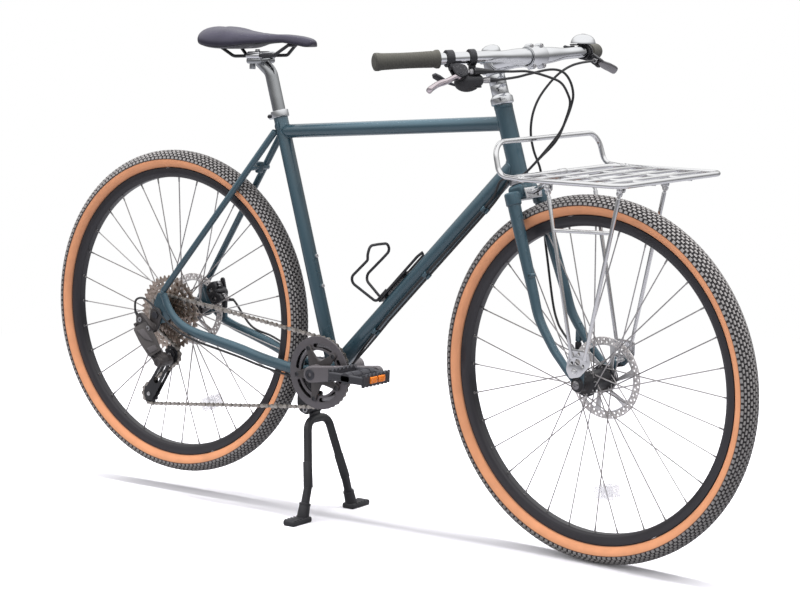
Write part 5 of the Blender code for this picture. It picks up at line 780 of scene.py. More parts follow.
class Wire:
    """A socket in an expression: arithmetic on it adds Math nodes."""

    def __init__(self, graph: "Graph", socket: Any) -> None:
        """Wraps an output socket of the graph."""
        self.graph = graph
        self.socket = socket

    def _with(self, operation: str, other: Any, swap: bool = False) -> "Wire":
        """A Math node on this wire and another value."""
        pair = (other, self) if swap else (self, other)
        return self.graph.node("ShaderNodeMath", {"operation": operation}, {0: pair[0], 1: pair[1]})[0]

    def __add__(self, other: Any) -> "Wire":
        """Sum."""
        return self._with("ADD", other)

    def __radd__(self, other: Any) -> "Wire":
        """Sum."""
        return self._with("ADD", other)

    def __sub__(self, other: Any) -> "Wire":
        """Difference."""
        return self._with("SUBTRACT", other)

    def __rsub__(self, other: Any) -> "Wire":
        """Difference the other way round."""
        return self._with("SUBTRACT", other, True)

    def __mul__(self, other: Any) -> "Wire":
        """Product."""
        return self._with("MULTIPLY", other)

    def __rmul__(self, other: Any) -> "Wire":
        """Product."""
        return self._with("MULTIPLY", other)

    def __truediv__(self, other: Any) -> "Wire":
        """Quotient."""
        return self._with("DIVIDE", other)

    def __pow__(self, other: Any) -> "Wire":
        """Power."""
        return self._with("POWER", other)

    def __rtruediv__(self, other: Any) -> "Wire":
        """The other value over this one."""
        return self._with("DIVIDE", other, True)

    def __rpow__(self, other: Any) -> "Wire":
        """The other value raised to this one."""
        return self._with("POWER", other, True)

    def over(self, other: Any) -> "Wire":
        """1 where this is greater than the other, and 0 elsewhere."""
        return self._with("GREATER_THAN", other)

    def wave(self) -> "Wire":
        """Sine of this value."""
        return self.graph.node("ShaderNodeMath", {"operation": "SINE"}, {0: self})[0]


class Graph:
    """The node tree of a finish or of the world."""

    def __init__(self, owner: bpy.types.Material | bpy.types.World) -> None:
        """Starts on a new material's Principled surface or a new world's background.

        Args:
            owner: the new material or world.
        """
        owner.use_nodes = True
        self.owner = owner
        self.tree = owner.node_tree
        self.surface = next(n for n in self.tree.nodes if n.type in ("BSDF_PRINCIPLED", "BACKGROUND"))

    def node(self, kind: str, settings: dict[str, Any] | None = None,
             inputs: dict[Any, Any] | None = None) -> list[Wire]:
        """Adds a node.

        Args:
            kind: the node's type.
            settings: what is set on the node itself. "stops" sets a ramp's (place, colour) pairs.
            inputs: values, colours or wires for its sockets, by name or number.

        Returns:
            A wire for each output.
        """
        made = self.tree.nodes.new(kind)
        for key, value in (settings or {}).items():
            if key == "stops":
                ramp = made.color_ramp
                while len(ramp.elements) < len(value):
                    ramp.elements.new(0.5)
                for element, (place, colour) in zip(ramp.elements, value):
                    element.position = place
                    element.color = (*colour, 1.0) if np.ndim(colour) else (colour, colour, colour, 1.0)
            else:
                setattr(made, key, value)
        for key, value in (inputs or {}).items():
            self.feed(made.inputs[key], value)
        return [Wire(self, out) for out in made.outputs]

    def feed(self, socket: Any, value: Any) -> None:
        """Links a wire to a socket or sets its value.

        Args:
            socket: an input socket.
            value: a wire, a number, a colour or a vector.
        """
        if isinstance(value, Wire):
            self.tree.links.new(value.socket, socket)
        elif np.ndim(value) and len(value) == 3 and socket.type == "RGBA":
            socket.default_value = (*value, 1.0)
        else:
            socket.default_value = value

    def set(self, **values: Any) -> None:
        """Sets or links the surface's own sockets, by name with _ for a space."""
        for key, value in values.items():
            self.feed(self.surface.inputs[key.replace("_", " ").title().replace("Ior", "IOR")], value)

    def place(self) -> Wire:
        """Object coordinates."""
        return self.node("ShaderNodeTexCoord")[3]

    def own(self) -> Wire:
        """The piece's drawn coordinates."""
        return self.node("ShaderNodeAttribute", {"attribute_name": "local"})[1]

    def tone(self) -> Wire:
        """The piece's tone."""
        return self.node("ShaderNodeAttribute", {"attribute_name": "tone"})[2]

    def noise(self, scale: float, detail: float = 3.0, where: Wire | None = None) -> Wire:
        """Noise from about 0.3 to 0.7."""
        inputs = {"Scale": scale, "Detail": detail, "Vector": where or self.place()}
        return self.node("ShaderNodeTexNoise", None, inputs)[0]

    def cells(self, scale: float, where: Wire | None = None, feature: str = "F1") -> Wire:
        """Distance to the nearest point of a cellular pattern."""
        inputs = {"Scale": scale, "Vector": where or self.place()}
        return self.node("ShaderNodeTexVoronoi", {"feature": feature}, inputs)[0]

    def ramp(self, value: Wire, *stops: tuple[float, Any]) -> Wire:
        """A value through a colour ramp."""
        return self.node("ShaderNodeValToRGB", {"stops": stops}, {0: value})[0]

    def blend(self, factor: Any, first: Any, second: Any) -> Wire:
        """A mix of two colours."""
        return self.node("ShaderNodeMix", {"data_type": "RGBA"}, {0: factor, 6: first, 7: second})[2]

    def split(self, vector: Wire) -> list[Wire]:
        """The three numbers of a vector."""
        return self.node("ShaderNodeSeparateXYZ", None, {0: vector})

    def emboss(self, height: Any, distance: float, strength: float = 1.0) -> None:
        """Raises the surface by a height times a distance in metres."""
        bump = self.node("ShaderNodeBump", None, {"Height": height,
                                                  "Distance": distance, "Strength": strength})[0]
        self.set(Normal=bump)

    def radial(self, centre: Array) -> tuple[Wire, Wire]:
        """Distance from a wheel-like axis along Y, and the angle round it, in the drawn coordinates.

        Args:
            centre: a point on the axis.

        Returns:
            The distance and the angle.
        """
        x, _, z = self.split(self.own())
        x, z = x - float(centre[0]), z - float(centre[2])
        angle = self.node("ShaderNodeMath", {"operation": "ARCTAN2"}, {0: z, 1: x})[0]
        return (x * x + z * z) ** 0.5, angle


@dataclass(frozen=True)
class Finish:
    """A surface's look: its colour, gloss and grain.

    Attributes:
        slot: the record's material slot that it belongs to.
        colour: its base colour, linear.
        rough: its roughness.
        metal: how metallic it is.
        coat: its clear coat.
        grain: the scale of its surface grain, per metre.
        depth: the height of that grain, in metres.
        stain: how much its colour varies.
    """

    slot: str
    colour: tuple[float, float, float]
    rough: float
    metal: float = 0.0
    coat: float = 0.0
    grain: float = 900.0
    depth: float = 0.00002
    stain: float = 0.1

    def shade(self, share: float) -> tuple[float, ...]:
        """The base colour made darker or lighter, each part at most 1."""
        return tuple(min(c * share, 1.0) for c in self.colour)

    def material(self) -> bpy.types.Material:
        """The finish's material, made once.

        Returns:
            The material, the same one each time.
        """
        name = f"{type(self).__name__}_{self.slot}_{zlib.crc32(repr(self).encode()) % 99991:05d}"
        found = bpy.data.materials.get(name)
        if found:
            return found
        graph = Graph(bpy.data.materials.new(name))
        graph.set(Metallic=self.metal, Coat_Weight=self.coat, Coat_Roughness=0.08)
        self.dress(graph)
        return graph.owner

    def dress(self, graph: Graph) -> None:
        """Fine grain, a slow change of colour and a slightly uneven gloss.

        Args:
            graph: the node graph of the material.
        """
        cloud = graph.noise(14.0, 4.0)
        fine = graph.noise(self.grain, 2.0)
        swing = 1.6 * self.stain
        graph.set(Base_Color=graph.blend(cloud, self.shade(1 - swing), self.shade(1 + swing)))
        graph.set(Roughness=self.rough + (cloud - 0.5) * 0.16 + (fine - 0.5) * 0.06)
        graph.emboss(fine, self.depth)


@dataclass(frozen=True)
class GlossPaint(Finish):
    """Sprayed gloss paint under lacquer: orange peel, fine dust and a slow drift of tone."""

    def dress(self, graph: Graph) -> None:
        """Orange peel in the lacquer and a few specks of dust.

        Args:
            graph: the node graph of the material.
        """
        peel = graph.noise(420.0, 2.0)
        cloud = graph.noise(7.0, 4.0)
        dust = graph.cells(260.0)
        speck = 1.0 - graph.ramp(dust, (0.0, 0.0), (0.05, 1.0))
        base = graph.blend(cloud, self.shade(0.88), self.shade(1.12))
        graph.set(Base_Color=graph.blend(speck * 0.25, base, self.shade(1.7)))
        graph.set(Roughness=self.rough + (cloud - 0.5) * 0.1 + speck * 0.2)
        graph.emboss(peel, self.depth)


@dataclass(frozen=True)
class BrushedMetal(Finish):
    """Polished metal with fine drawn lines and faint smudges."""

    def dress(self, graph: Graph) -> None:
        """Lines drawn out by a stretched noise, and smudges in the gloss.

        Args:
            graph: the node graph of the material.
        """
        stretched = graph.node("ShaderNodeMapping", None,
                               {"Vector": graph.place(), "Scale": (1.0, 0.12, 1.0)})[0]
        lines = graph.noise(self.grain, 3.0, stretched)
        smudge = graph.noise(22.0, 5.0)
        graph.set(Base_Color=graph.blend(smudge, self.shade(1 - self.stain), self.colour))
        graph.set(Roughness=self.rough + (smudge - 0.5) * 0.18 + (lines - 0.5) * 0.08)
        graph.emboss(lines, self.depth)


@dataclass(frozen=True)
class TurnedSteel(Finish):
    """Ground steel with rings about a wheel's axis, random oil stains, and painted shade on the parts that sit
    deeper between others.
    """

    centre: tuple[float, float, float] = (0.0, 0.0, 0.0)
    rings: float = 5200.0

    def dress(self, graph: Graph) -> None:
        """Fine rings cut about the axis, with stains that vary round it, and painted shade that darkens each
        part by its tone.

        Args:
            graph: the node graph of the material.
        """
        radius, _ = graph.radial(np.asarray(self.centre))
        rings = (radius * self.rings).wave() * 0.5 + 0.5
        oil = graph.noise(120.0, 5.0)
        shade = graph.ramp(oil, (0.36, 0.42), (0.58, 1.0))
        base = graph.blend(shade, self.shade(0.4), self.colour)
        # Painted shade: a part is darker the higher its tone, which is set high on parts deep between others.
        graph.set(Base_Color=graph.blend(graph.tone(), base, self.shade(0.3)))
        graph.set(Roughness=self.rough + (oil - 0.5) * 0.25 + rings * 0.06)
        graph.emboss(rings, self.depth)


@dataclass(frozen=True)
class Sidewall(Finish):
    """Tyre casing: tan cloth walls with diagonal threads, black at the rim's edge and above the walls."""

    centre: tuple[float, float, float] = (0.0, 0.0, 0.0)
    inner: float = 0.3186
    outer: float = 0.3362

    def dress(self, graph: Graph) -> None:
        """Tan between two radii with a thread weave, dark rubber elsewhere.

        Args:
            graph: the node graph of the material.
        """
        radius, angle = graph.radial(np.asarray(self.centre))
        cloud = graph.noise(30.0, 5.0)
        fleck = graph.noise(700.0, 2.0)
        edge = radius + (fleck - 0.5) * 0.0003
        inside = edge.over(self.inner) * (1.0 - edge.over(self.outer))
        lip = edge.over(self.inner + 0.0012) * (1.0 - edge.over(self.outer - 0.001))
        weave = ((angle * 0.33 + radius * 1.2) * 2100.0).wave() * (
            (angle * 0.33 - radius * 1.2) * 2100.0).wave()
        tan = graph.blend(cloud, self.shade(0.8), self.shade(1.16))
        tan = graph.blend(lip, self.shade(0.62), tan)
        tan = graph.blend(weave * 0.1 + 0.05, tan, self.shade(0.7))
        rubber = graph.blend(cloud, (0.02, 0.018, 0.02), (0.042, 0.038, 0.04))
        graph.set(Base_Color=graph.blend(inside, rubber, tan))
        graph.set(Roughness=0.72 - inside * 0.16 + (fleck - 0.5) * 0.12)
        graph.emboss(weave * inside * 0.5 + fleck * 0.4, self.depth)


@dataclass(frozen=True)
class Tread(Finish):
    """Tread rubber: dull, with fine moulding marks and greyer knob tops that are painted as wear and as
    highlight from the light above.
    """

    def dress(self, graph: Graph) -> None:
        """Blocks differ a little from each other, and their tops are painted greyer than the gaps, as wear and
        as a painted highlight.

        Args:
            graph: the node graph of the material.
        """
        fleck = graph.noise(1400.0, 3.0)
        cloud = graph.noise(40.0, 4.0)
        top = graph.tone()
        base = graph.blend(cloud, self.shade(0.8), self.shade(1.25))
        # Wear and painted highlight on the knob tops.
        worn_and_lit_tops = graph.blend(fleck, (0.2, 0.19, 0.188), (0.44, 0.42, 0.415))
        graph.set(Base_Color=graph.blend(top * 0.85, base, worn_and_lit_tops))
        graph.set(Roughness=self.rough - top * 0.12 + (fleck - 0.5) * 0.15)
        graph.emboss(fleck, self.depth)


@dataclass(frozen=True)
class Leatherette(Finish):
    """Smooth synthetic cover with a tight leather grain and a soft sheen."""

    def dress(self, graph: Graph) -> None:
        """Small cells with creases between them.

        Args:
            graph: the node graph of the material.
        """
        cell = graph.cells(self.grain)
        crease = graph.cells(self.grain, feature="DISTANCE_TO_EDGE")
        cloud = graph.noise(30.0, 4.0)
        graph.set(Base_Color=graph.blend(cloud, self.shade(0.8), self.shade(1.35)))
        graph.set(Roughness=self.rough + (cloud - 0.5) * 0.2 + cell * 0.08)
        graph.emboss(graph.ramp(crease, (0.0, 0.0), (0.16, 1.0)) * 0.7 + cell * 0.3, self.depth)


@dataclass(frozen=True)
class Prism(Finish):
    """Moulded reflector: rows of small prisms under a smooth face."""

    alpha: float = 1.0

    def dress(self, graph: Graph) -> None:
        """A grid of facets that shifts the colour and the face.

        Args:
            graph: the node graph of the material.
        """
        facet = graph.cells(self.grain)
        shade = graph.ramp(facet, (0.0, 0.35), (0.8, 1.0))
        graph.set(Base_Color=graph.blend(shade, self.shade(0.55), self.colour))
        graph.set(Roughness=self.rough + facet * 0.15, Alpha=self.alpha + facet * 0.1 * (1 - self.alpha))
        graph.emboss(facet, self.depth)


class Finishes:
    """Every finish of the bike."""

    paint = GlossPaint("painted_steel", (0.04, 0.082, 0.108), 0.28, metal=0.15, coat=0.6, depth=0.000008)
    silver = BrushedMetal("polished_silver", (0.78, 0.79, 0.81), 0.1, 1.0, grain=900.0,
                          depth=0.000006, stain=0.12)
    post = BrushedMetal("polished_silver", (0.5, 0.515, 0.53), 0.2, 1.0, grain=700.0,
                        depth=0.000008, stain=0.45)
    arm = Finish("grey_metal", (0.165, 0.153, 0.162), 0.38, 0.55, 0.1, 1500.0, 0.000012, 0.12)
    satin = BrushedMetal("polished_silver", (0.58, 0.57, 0.58), 0.3, 1.0, grain=1500.0,
                         depth=0.00001, stain=0.18)
    lever = BrushedMetal("polished_silver", (0.74, 0.66, 0.69), 0.3, 1.0, grain=1300.0,
                         depth=0.00001, stain=0.15)
    carrier = BrushedMetal("polished_silver", (0.8, 0.79, 0.8), 0.3, 0.8, grain=1400.0,
                           depth=0.00001, stain=0.25)
    wire = BrushedMetal("stainless_wire", (0.82, 0.82, 0.83), 0.12, 1.0, grain=1200.0,
                        depth=0.000005, stain=0.1)
    spoke = BrushedMetal("stainless_wire", (0.52, 0.5, 0.5), 0.38, 1.0, grain=1500.0,
                         depth=0.000004, stain=0.12)
    nipple = BrushedMetal("stainless_wire", (0.4, 0.39, 0.39), 0.3, 1.0, grain=1500.0,
                          depth=0.000004, stain=0.12)
    black = Finish("black_metal", (0.018, 0.018, 0.021), 0.42, 0.0, 0.05, 1800.0, 0.000012, 0.14)
    bolt = BrushedMetal("black_metal", (0.1, 0.1, 0.11), 0.3, 1.0, grain=1600.0, depth=0.000008, stain=0.15)
    grey = Finish("grey_metal", (0.13, 0.12, 0.128), 0.4, 0.55, 0.1, 1500.0, 0.000012, 0.12)
    # A lighter copy of mech: painted highlight on the link's raised facets.
    mech_light = Finish("grey_metal", (0.09, 0.082, 0.086), 0.3, 0.45, 0.1, 1500.0, 0.000012, 0.16)
    mech = Finish("grey_metal", (0.062, 0.056, 0.056), 0.36, 0.25, 0.1, 1500.0, 0.000015, 0.16)
    grey_edge = BrushedMetal("grey_metal", (0.3, 0.29, 0.3), 0.24, 1.0, grain=1500.0,
                             depth=0.000008, stain=0.16)
    plastic = Finish("black_plastic", (0.019, 0.019, 0.022), 0.46, 0.0, 0.0, 2600.0, 0.000022, 0.12)
    dark_plastic = Finish("black_plastic", (0.034, 0.034, 0.04), 0.52, 0.0, 0.0, 2200.0, 0.00003, 0.15)
    rubber = Finish("grip_rubber", (0.066, 0.064, 0.056), 0.7, 0.0, 0.0, 2600.0, 0.00005, 0.12)
    housing = Finish("housing_black", (0.014, 0.014, 0.016), 0.32, 0.0, 0.2, 1500.0, 0.00001, 0.1)
    rim = Finish("rim_black", (0.03, 0.028, 0.033), 0.36, 0.3, 0.2, 2000.0, 0.000008, 0.12)
    saddle = Leatherette("saddle_cover", (0.024, 0.022, 0.036), 0.26, grain=1500.0, depth=0.00005)
    tread = Tread("tyre_rubber", (0.015, 0.014, 0.015), 0.8, grain=1400.0, depth=0.00006)
    amber = Prism("black_plastic", (0.95, 0.24, 0.015), 0.14, coat=0.6, grain=700.0, depth=0.0001)
    clear = Prism("black_plastic", (0.96, 0.95, 0.99), 0.16, coat=0.3, grain=420.0, depth=0.0001, alpha=0.26)

    @staticmethod
    def cog(centre: Array) -> TurnedSteel:
        """Coated sprocket steel, turned about a centre."""
        return TurnedSteel("bronze_steel", (0.66, 0.55, 0.475), 0.32, 1.0, depth=0.00001, centre=tuple(centre))

    @staticmethod
    def link(centre: Array) -> TurnedSteel:
        """Oiled chain steel, darker than the sprockets."""
        return TurnedSteel("bronze_steel", (0.6, 0.555, 0.51), 0.36, 1.0, depth=0.00001,
                           centre=tuple(centre), rings=900.0)

    @staticmethod
    def rotor(centre: Array) -> TurnedSteel:
        """Ground brake-disc steel, turned about a centre."""
        return TurnedSteel("polished_silver", (0.8, 0.765, 0.76), 0.26, 0.45,
                           depth=0.00001, centre=tuple(centre))

    @staticmethod
    def wall(centre: Array) -> Sidewall:
        """Tan tyre casing about a centre."""
        return Sidewall("tyre_rubber", (0.88, 0.385, 0.195), 0.6, depth=0.00008, centre=tuple(centre))


@dataclass
class Workshop:
    """Turns skins into pieces that ride on the bike's bodies."""

    pieces: list[str] = field(default_factory=list)

    def fit(self, name: str, skin: Skin, finish: Finish, body: str, place: Place, *nodes: str,
            crease: float = 32.0) -> Any:
        """Makes one piece and hangs it on its body.

        Args:
            name: the piece's name.
            skin: its surfaces.
            finish: its look.
            body: the body that it rides on.
            place: the placement that stands it in the world.
            nodes: the CAD nodes that it stands for.
            crease: the angle in degrees above which an edge stays sharp.

        Returns:
            The piece.
        """
        obj = skin.object(name, place.matrix, crease)
        obj.data.materials.append(finish.material())
        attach(obj, body)
        if nodes:
            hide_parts(*nodes)
        self.pieces.append(name)
        log.info("%s: %d faces on %s", name, len(obj.data.polygons), body)
        return obj


def repeat(surface: Surface, matrices: Iterable[Array]) -> Surface:
    """Copies of one surface, each carried by a matrix.

    Args:
        surface: its points and faces.
        matrices: where each copy stands.

    Returns:
        The points and faces of all the copies.
    """
    points, faces = surface
    copies = [placed(points, m) for m in matrices]
    made = [tuple(int(i) + k * len(points) for i in face) for k in range(len(copies)) for face in faces]
    return np.vstack(copies), made


def round_box(length: float, width: float, radius: float, steps: int = 8) -> Array:
    """The outline of a rectangle with round corners.

    Args:
        length: its size along X.
        width: its size along Y.
        radius: the radius of its corners.
        steps: how many points each corner has.

    Returns:
        Its points in order.
    """
    found = []
    for sx, sy, start in ((1, 1, 0.0), (-1, 1, 0.5), (-1, -1, 1.0), (1, -1, 1.5)):
        for a in np.linspace(start * math.pi, (start + 0.5) * math.pi, steps):
            found.append(np.add((sx * (length / 2 - radius), sy * (width / 2 - radius)), polar(radius, a)))
    return np.array(found)


def upright(y: float, about: Array | None = None) -> Array:
    """Frame of a plate that lies fore and aft at a distance to the left, its XY plane on x and z.

    Args:
        y: the distance to the left.
        about: the point whose x and z its origin takes. Otherwise the origin is the bike's.

    Returns:
        The 4x4 frame.
    """
    side_on = shift((0.0, y, 0.0)) @ SIDE_ON
    return side_on if about is None else side_on @ shift((*side_view(about), 0.0))


def sideways(point: Any, side: float) -> Array:
    """Frame at a point with its Z straight out to one side and its X forward."""
    return axes_at(point, (0, side, 0), (1, 0, 0))


def round_point(centre: Array, radius: float, angle: float, y: float) -> Array:
    """A point at a radius and an angle round a centre in the side view, at its own y."""
    x, z = polar(radius, angle)
    return vec(centre[0] + x, y, centre[2] + z)


def beyond(base: Array, tip: Array, distance: float) -> Array:
    """A point past the tip on the line from the base."""
    return tip + unit(tip - base) * distance


@dataclass
class FrameSet:
    """The painted diamond frame with its stays, dropouts, cable guides and weld beads."""

    head_radius: float = 0.018
    head_bore: float = 0.0155
    top_radius: float = 0.0143
    down_radius: float = 0.01745
    seat_radius: float = 0.015
    seat_bore: float = 0.0139
    shell_radius: float = 0.0205
    shell_half: float = 0.034
    seatstay_radius: float = 0.0072
    stay_height: float = 0.0118
    stay_end_height: float = 0.0087
    stay_narrowing: float = 0.746
    top_below_head: float = 0.036
    top_below_seat: float = 0.0295
    dropout_y: float = 0.0703
    stop_places: tuple[float, ...] = (0.15, 0.328, 0.525)
    boss_places: tuple[float, ...] = (0.176, 0.24)
    dropout: Loop = (
        (-0.533, 0.406), (-0.516, 0.404), (-0.503, 0.38), (-0.49, 0.36), (-0.505, 0.344),
        (-0.524, 0.339), (-0.548, 0.342), (-0.554, 0.356), (-0.548, 0.372),
    )
    hanger_corner: Loop = (
        (-0.528, 0.336), (-0.53, 0.325), (-0.538, 0.3185), (-0.547, 0.319), (-0.5525, 0.327), (-0.552, 0.342),
    )
    lanes: tuple[tuple[float, float], ...] = ((0.0176, -0.0186), (0.0234, -0.012))
    stay_route: tuple[tuple[float, float, float], ...] = (
        (-0.101, 0.022, 0.286), (-0.13, 0.0258, 0.2835), (-0.165, 0.031, 0.28), (-0.212, 0.0375, 0.286),
        (-0.263, 0.044, 0.295), (-0.313, 0.0515, 0.307), (-0.377, 0.06, 0.3195), (-0.423, 0.065, 0.328),
        (-0.457, 0.068, 0.338), (-0.485, 0.069, 0.354), (-0.505, 0.069, 0.376), (-0.519, 0.069, 0.403),
    )

    def build(self, shop: Workshop) -> None:
        """Builds the frame, its bottom bracket and its seat collar.

        Args:
            shop: where the pieces are made.
        """
        skin = Skin()
        self.main_tubes(skin)
        for side in (-1, 1):
            self.stays(skin, side)
        self.fittings(skin)
        shop.fit("frame_tubes", skin, Finishes.paint, "frame_body", Place.FRAME, "frame")
        bolts = Skin()
        for at in self.seat_bosses():
            bolts.add(screw(at @ shift((0, 0, 0.001)), 0.0042, 0.003))
        shop.fit("boss_bolts", bolts, Finishes.satin, "frame_body", Place.FRAME)
        self.bottom_bracket(shop)
        self.seat_collar(shop)

    def main_tubes(self, skin: Skin) -> None:
        """Head, top, down and seat tubes with the bracket shell and the beads where they meet.

        Args:
            skin: what the surfaces are added to.
        """
        top_rear = SEAT_TOP - SEAT_AXIS * self.top_below_seat
        top_front = steer_at(SIZE.head_length - self.top_below_head)
        lip, long = self.head_radius + 0.0005, SIZE.head_length
        head = [(self.head_bore, 0.0), (lip, 0.0), (lip, 0.005), (self.head_radius, 0.0075),
                (self.head_radius, long - 0.0075), (lip, long - 0.005), (lip, long), (self.head_bore, long)]
        skin.add(turned(soften(head, 0.0008, ring=True), STEER_FRAME, 56, ring=True))
        skin.add(rod(BRACKET, DOWN_TOP, self.down_radius, sides=48))
        skin.add(rod(top_rear, top_front, self.top_radius, sides=48))
        skin.add(collar(BRACKET, SEAT_TOP, self.seat_radius, self.seat_bore, 48))
        half = vec(0.0, self.shell_half, 0.0)
        skin.add(collar(BRACKET - half, BRACKET + half, self.shell_radius, 0.0172, 56, 0.001))
        across = vec(0.0, 1.0, 0.0)
        skin.add(weld_bead(down_at(0.4), DOWN_AXIS, self.down_radius, HEAD_BOTTOM,
                           STEER_AXIS, self.head_radius))
        skin.add(weld_bead(top_rear, top_front - top_rear, self.top_radius, HEAD_BOTTOM,
                           STEER_AXIS, self.head_radius))
        skin.add(weld_bead(top_front, top_rear - top_front, self.top_radius, SEAT_TOP,
                           SEAT_AXIS, self.seat_radius))
        skin.add(weld_bead(down_at(0.3), -DOWN_AXIS, self.down_radius, BRACKET, across, self.shell_radius))
        skin.add(weld_bead(SEAT_TOP, -SEAT_AXIS, self.seat_radius, BRACKET, across, self.shell_radius))

    def stays(self, skin: Skin, side: float) -> None:
        """Seatstay, chainstay and dropout of one side.

        Args:
            skin: what the surfaces are added to.
            side: -1 for the right and 1 for the left.
        """
        top, low = mirror((-0.266, 0.013, 0.772), side), mirror((-0.522, 0.069, 0.408), side)
        skin.add(rod(low, top + unit(top - low) * 0.004, self.seatstay_radius * 0.92,
                     self.seatstay_radius, 32, dome=0.004))
        skin.add(weld_bead(low, top - low, self.seatstay_radius, SEAT_TOP, SEAT_AXIS, self.seat_radius, 0.0016))
        path = flowing(mirror(self.stay_route, side), 64)
        height = np.interp(np.linspace(0, 1, 64), [0.0, 0.5, 1.0],
                           [self.stay_height, self.stay_height, self.stay_end_height])
        skin.add(tube(path, height, 28, flat=self.stay_narrowing, hint=(0.0, 0.0, 1.0)))
        outline = list(self.dropout)
        holes = [circle(0.0055, 24, side_view(REAR))]
        if side < 0:
            outline[5:7] = self.hanger_corner
            holes.append(circle(0.004, 18, side_view(HANGER)))
        skin.add(plate(soften(outline, 0.006, 6, True), 0.005,
                       upright(side * self.dropout_y), holes, 0.0009, 2))
        weld = mirror([(-0.524, 0.069, 0.405), (-0.516, 0.069, 0.41)], side)
        skin.add(rod(weld[0], weld[1], 0.0068, sides=24, dome=0.003))

    def fittings(self, skin: Skin) -> None:
        """Seatstay bridge, stand plate, cable guides, brake tab and mudguard boss.

        Args:
            skin: what the surfaces are added to.
        """
        bridge = vec(-0.316, 0.028, 0.693)
        skin.add(rod(mirror(bridge, -1), bridge, 0.006, sides=28))
        skin.add(box((0.014, 0.014, 0.024), shift((bridge[0], 0.0, bridge[2])), 0.003))
        skin.add(screw(axes_at((bridge[0] - 0.0065, 0.0, bridge[2]), (-1, 0, 0), (0, 0, 1)), 0.0036, 0.003))
        skin.add(box((0.034, 0.064, 0.006), shift((-0.158, 0.0, 0.2795)), 0.0016))
        for distance in self.stop_places:
            for under, across in self.lanes:
                away = unit(vec(0.0, across, 0.0) + DOWN_UNDER * under)
                base = BRACKET + DOWN_AXIS * distance
                guide = down_at(distance, under, across)
                skin.add(rod(base + away * 0.015, guide - away * 0.0024, 0.0028, sides=16))
                skin.add(collar(guide - DOWN_AXIS * 0.006, guide + DOWN_AXIS * 0.006,
                                0.0038, 0.00265, 24, 0.0004))
        skin.add(box((0.014, 0.008, 0.022), shift((-0.46, 0.0655, 0.3545)), 0.002))
        for at in self.seat_bosses():
            skin.add(turned(soften([(0, -0.003), (0.0062, -0.003), (0.0056, 0.0012),
                                    (0, 0.0012)], 0.0006), at, 28))

    def seat_bosses(self) -> list[Array]:
        """Frames of the two threaded bosses on the front of the seat tube."""
        ahead = unit(np.cross(vec(0, 1, 0), SEAT_AXIS))
        return [axes_at(BRACKET + SEAT_AXIS * d + ahead * self.seat_radius, ahead, SEAT_AXIS)
                for d in self.boss_places]

    def bottom_bracket(self, shop: Workshop) -> None:
        """The cartridge's two notched cups.

        Args:
            shop: where the pieces are made.
        """
        skin = Skin()
        half = self.shell_half
        profile = [(0.0088, half + 0.006), (0.0175, half + 0.006), (0.0175, half + 0.0003),
                   (0.0162, half + 0.0003)]
        profile += [(r, -y) for r, y in reversed(profile)]
        skin.add(turned(soften(profile, 0.0005, ring=True), shift(BRACKET) @ ALONG_Y, 48, ring=True))
        for k in range(16):
            for end in (-1, 1):
                notch = round_point(BRACKET, 0.0172, k * math.pi / 8, end * (half + 0.0032))
                at = shift(notch) @ spin(-k * math.pi / 8, "Y")
                skin.add(box((0.0022, 0.0036, 0.0022), at, 0.0006, 1))
        shop.fit("bracket_cups", skin, Finishes.black, "frame_body", Place.FRAME, "bottom_bracket")

    def seat_collar(self, shop: Workshop) -> None:
        """The split ring at the top of the seat tube with its pinch bolt.

        Args:
            shop: where the pieces are made.
        """
        frame_at = shift(SEAT_TOP) @ spin(SIZE.seat_angle - math.pi / 2, "Y")
        low, high, outer, bore = 0.0003, 0.0148, 0.0186, 0.0142
        gap = 0.045
        t = np.linspace(math.pi + gap, 3 * math.pi - gap, 56)
        section = soften([(bore, low), (outer, low), (outer, high), (bore, high)], 0.0012, 4, True)
        rows = np.stack([section[:, 0] * np.cos(t)[:, None], section[:, 0] * np.sin(t)[:, None],
                         np.broadcast_to(section[:, 1], (len(t), len(section)))], axis=2)
        skin = Skin().add(loft(placed(rows.reshape(-1, 3), frame_at).reshape(rows.shape)))
        middle = (low + high) / 2
        for side in (-1, 1):
            ear = frame_at @ shift((-outer - 0.002, side * 0.005, middle))
            skin.add(box((0.011, 0.0062, 0.0125), ear, 0.0024, 4))
        shop.fit("collar_ring", skin, Finishes.silver, "frame_body", Place.FRAME, "seat_collar")
        bolt = Skin().add(rod(spot(frame_at, -outer - 0.003, -0.01, middle),
                              spot(frame_at, -outer - 0.003, 0.01, middle), 0.0024))
        head = frame_at @ shift((-outer - 0.003, -0.0082, middle)) @ spin(math.pi / 2, "X")
        bolt.add(screw(head, 0.0038, 0.0042))
        shop.fit("collar_bolt", bolt, Finishes.bolt, "frame_body", Place.FRAME)


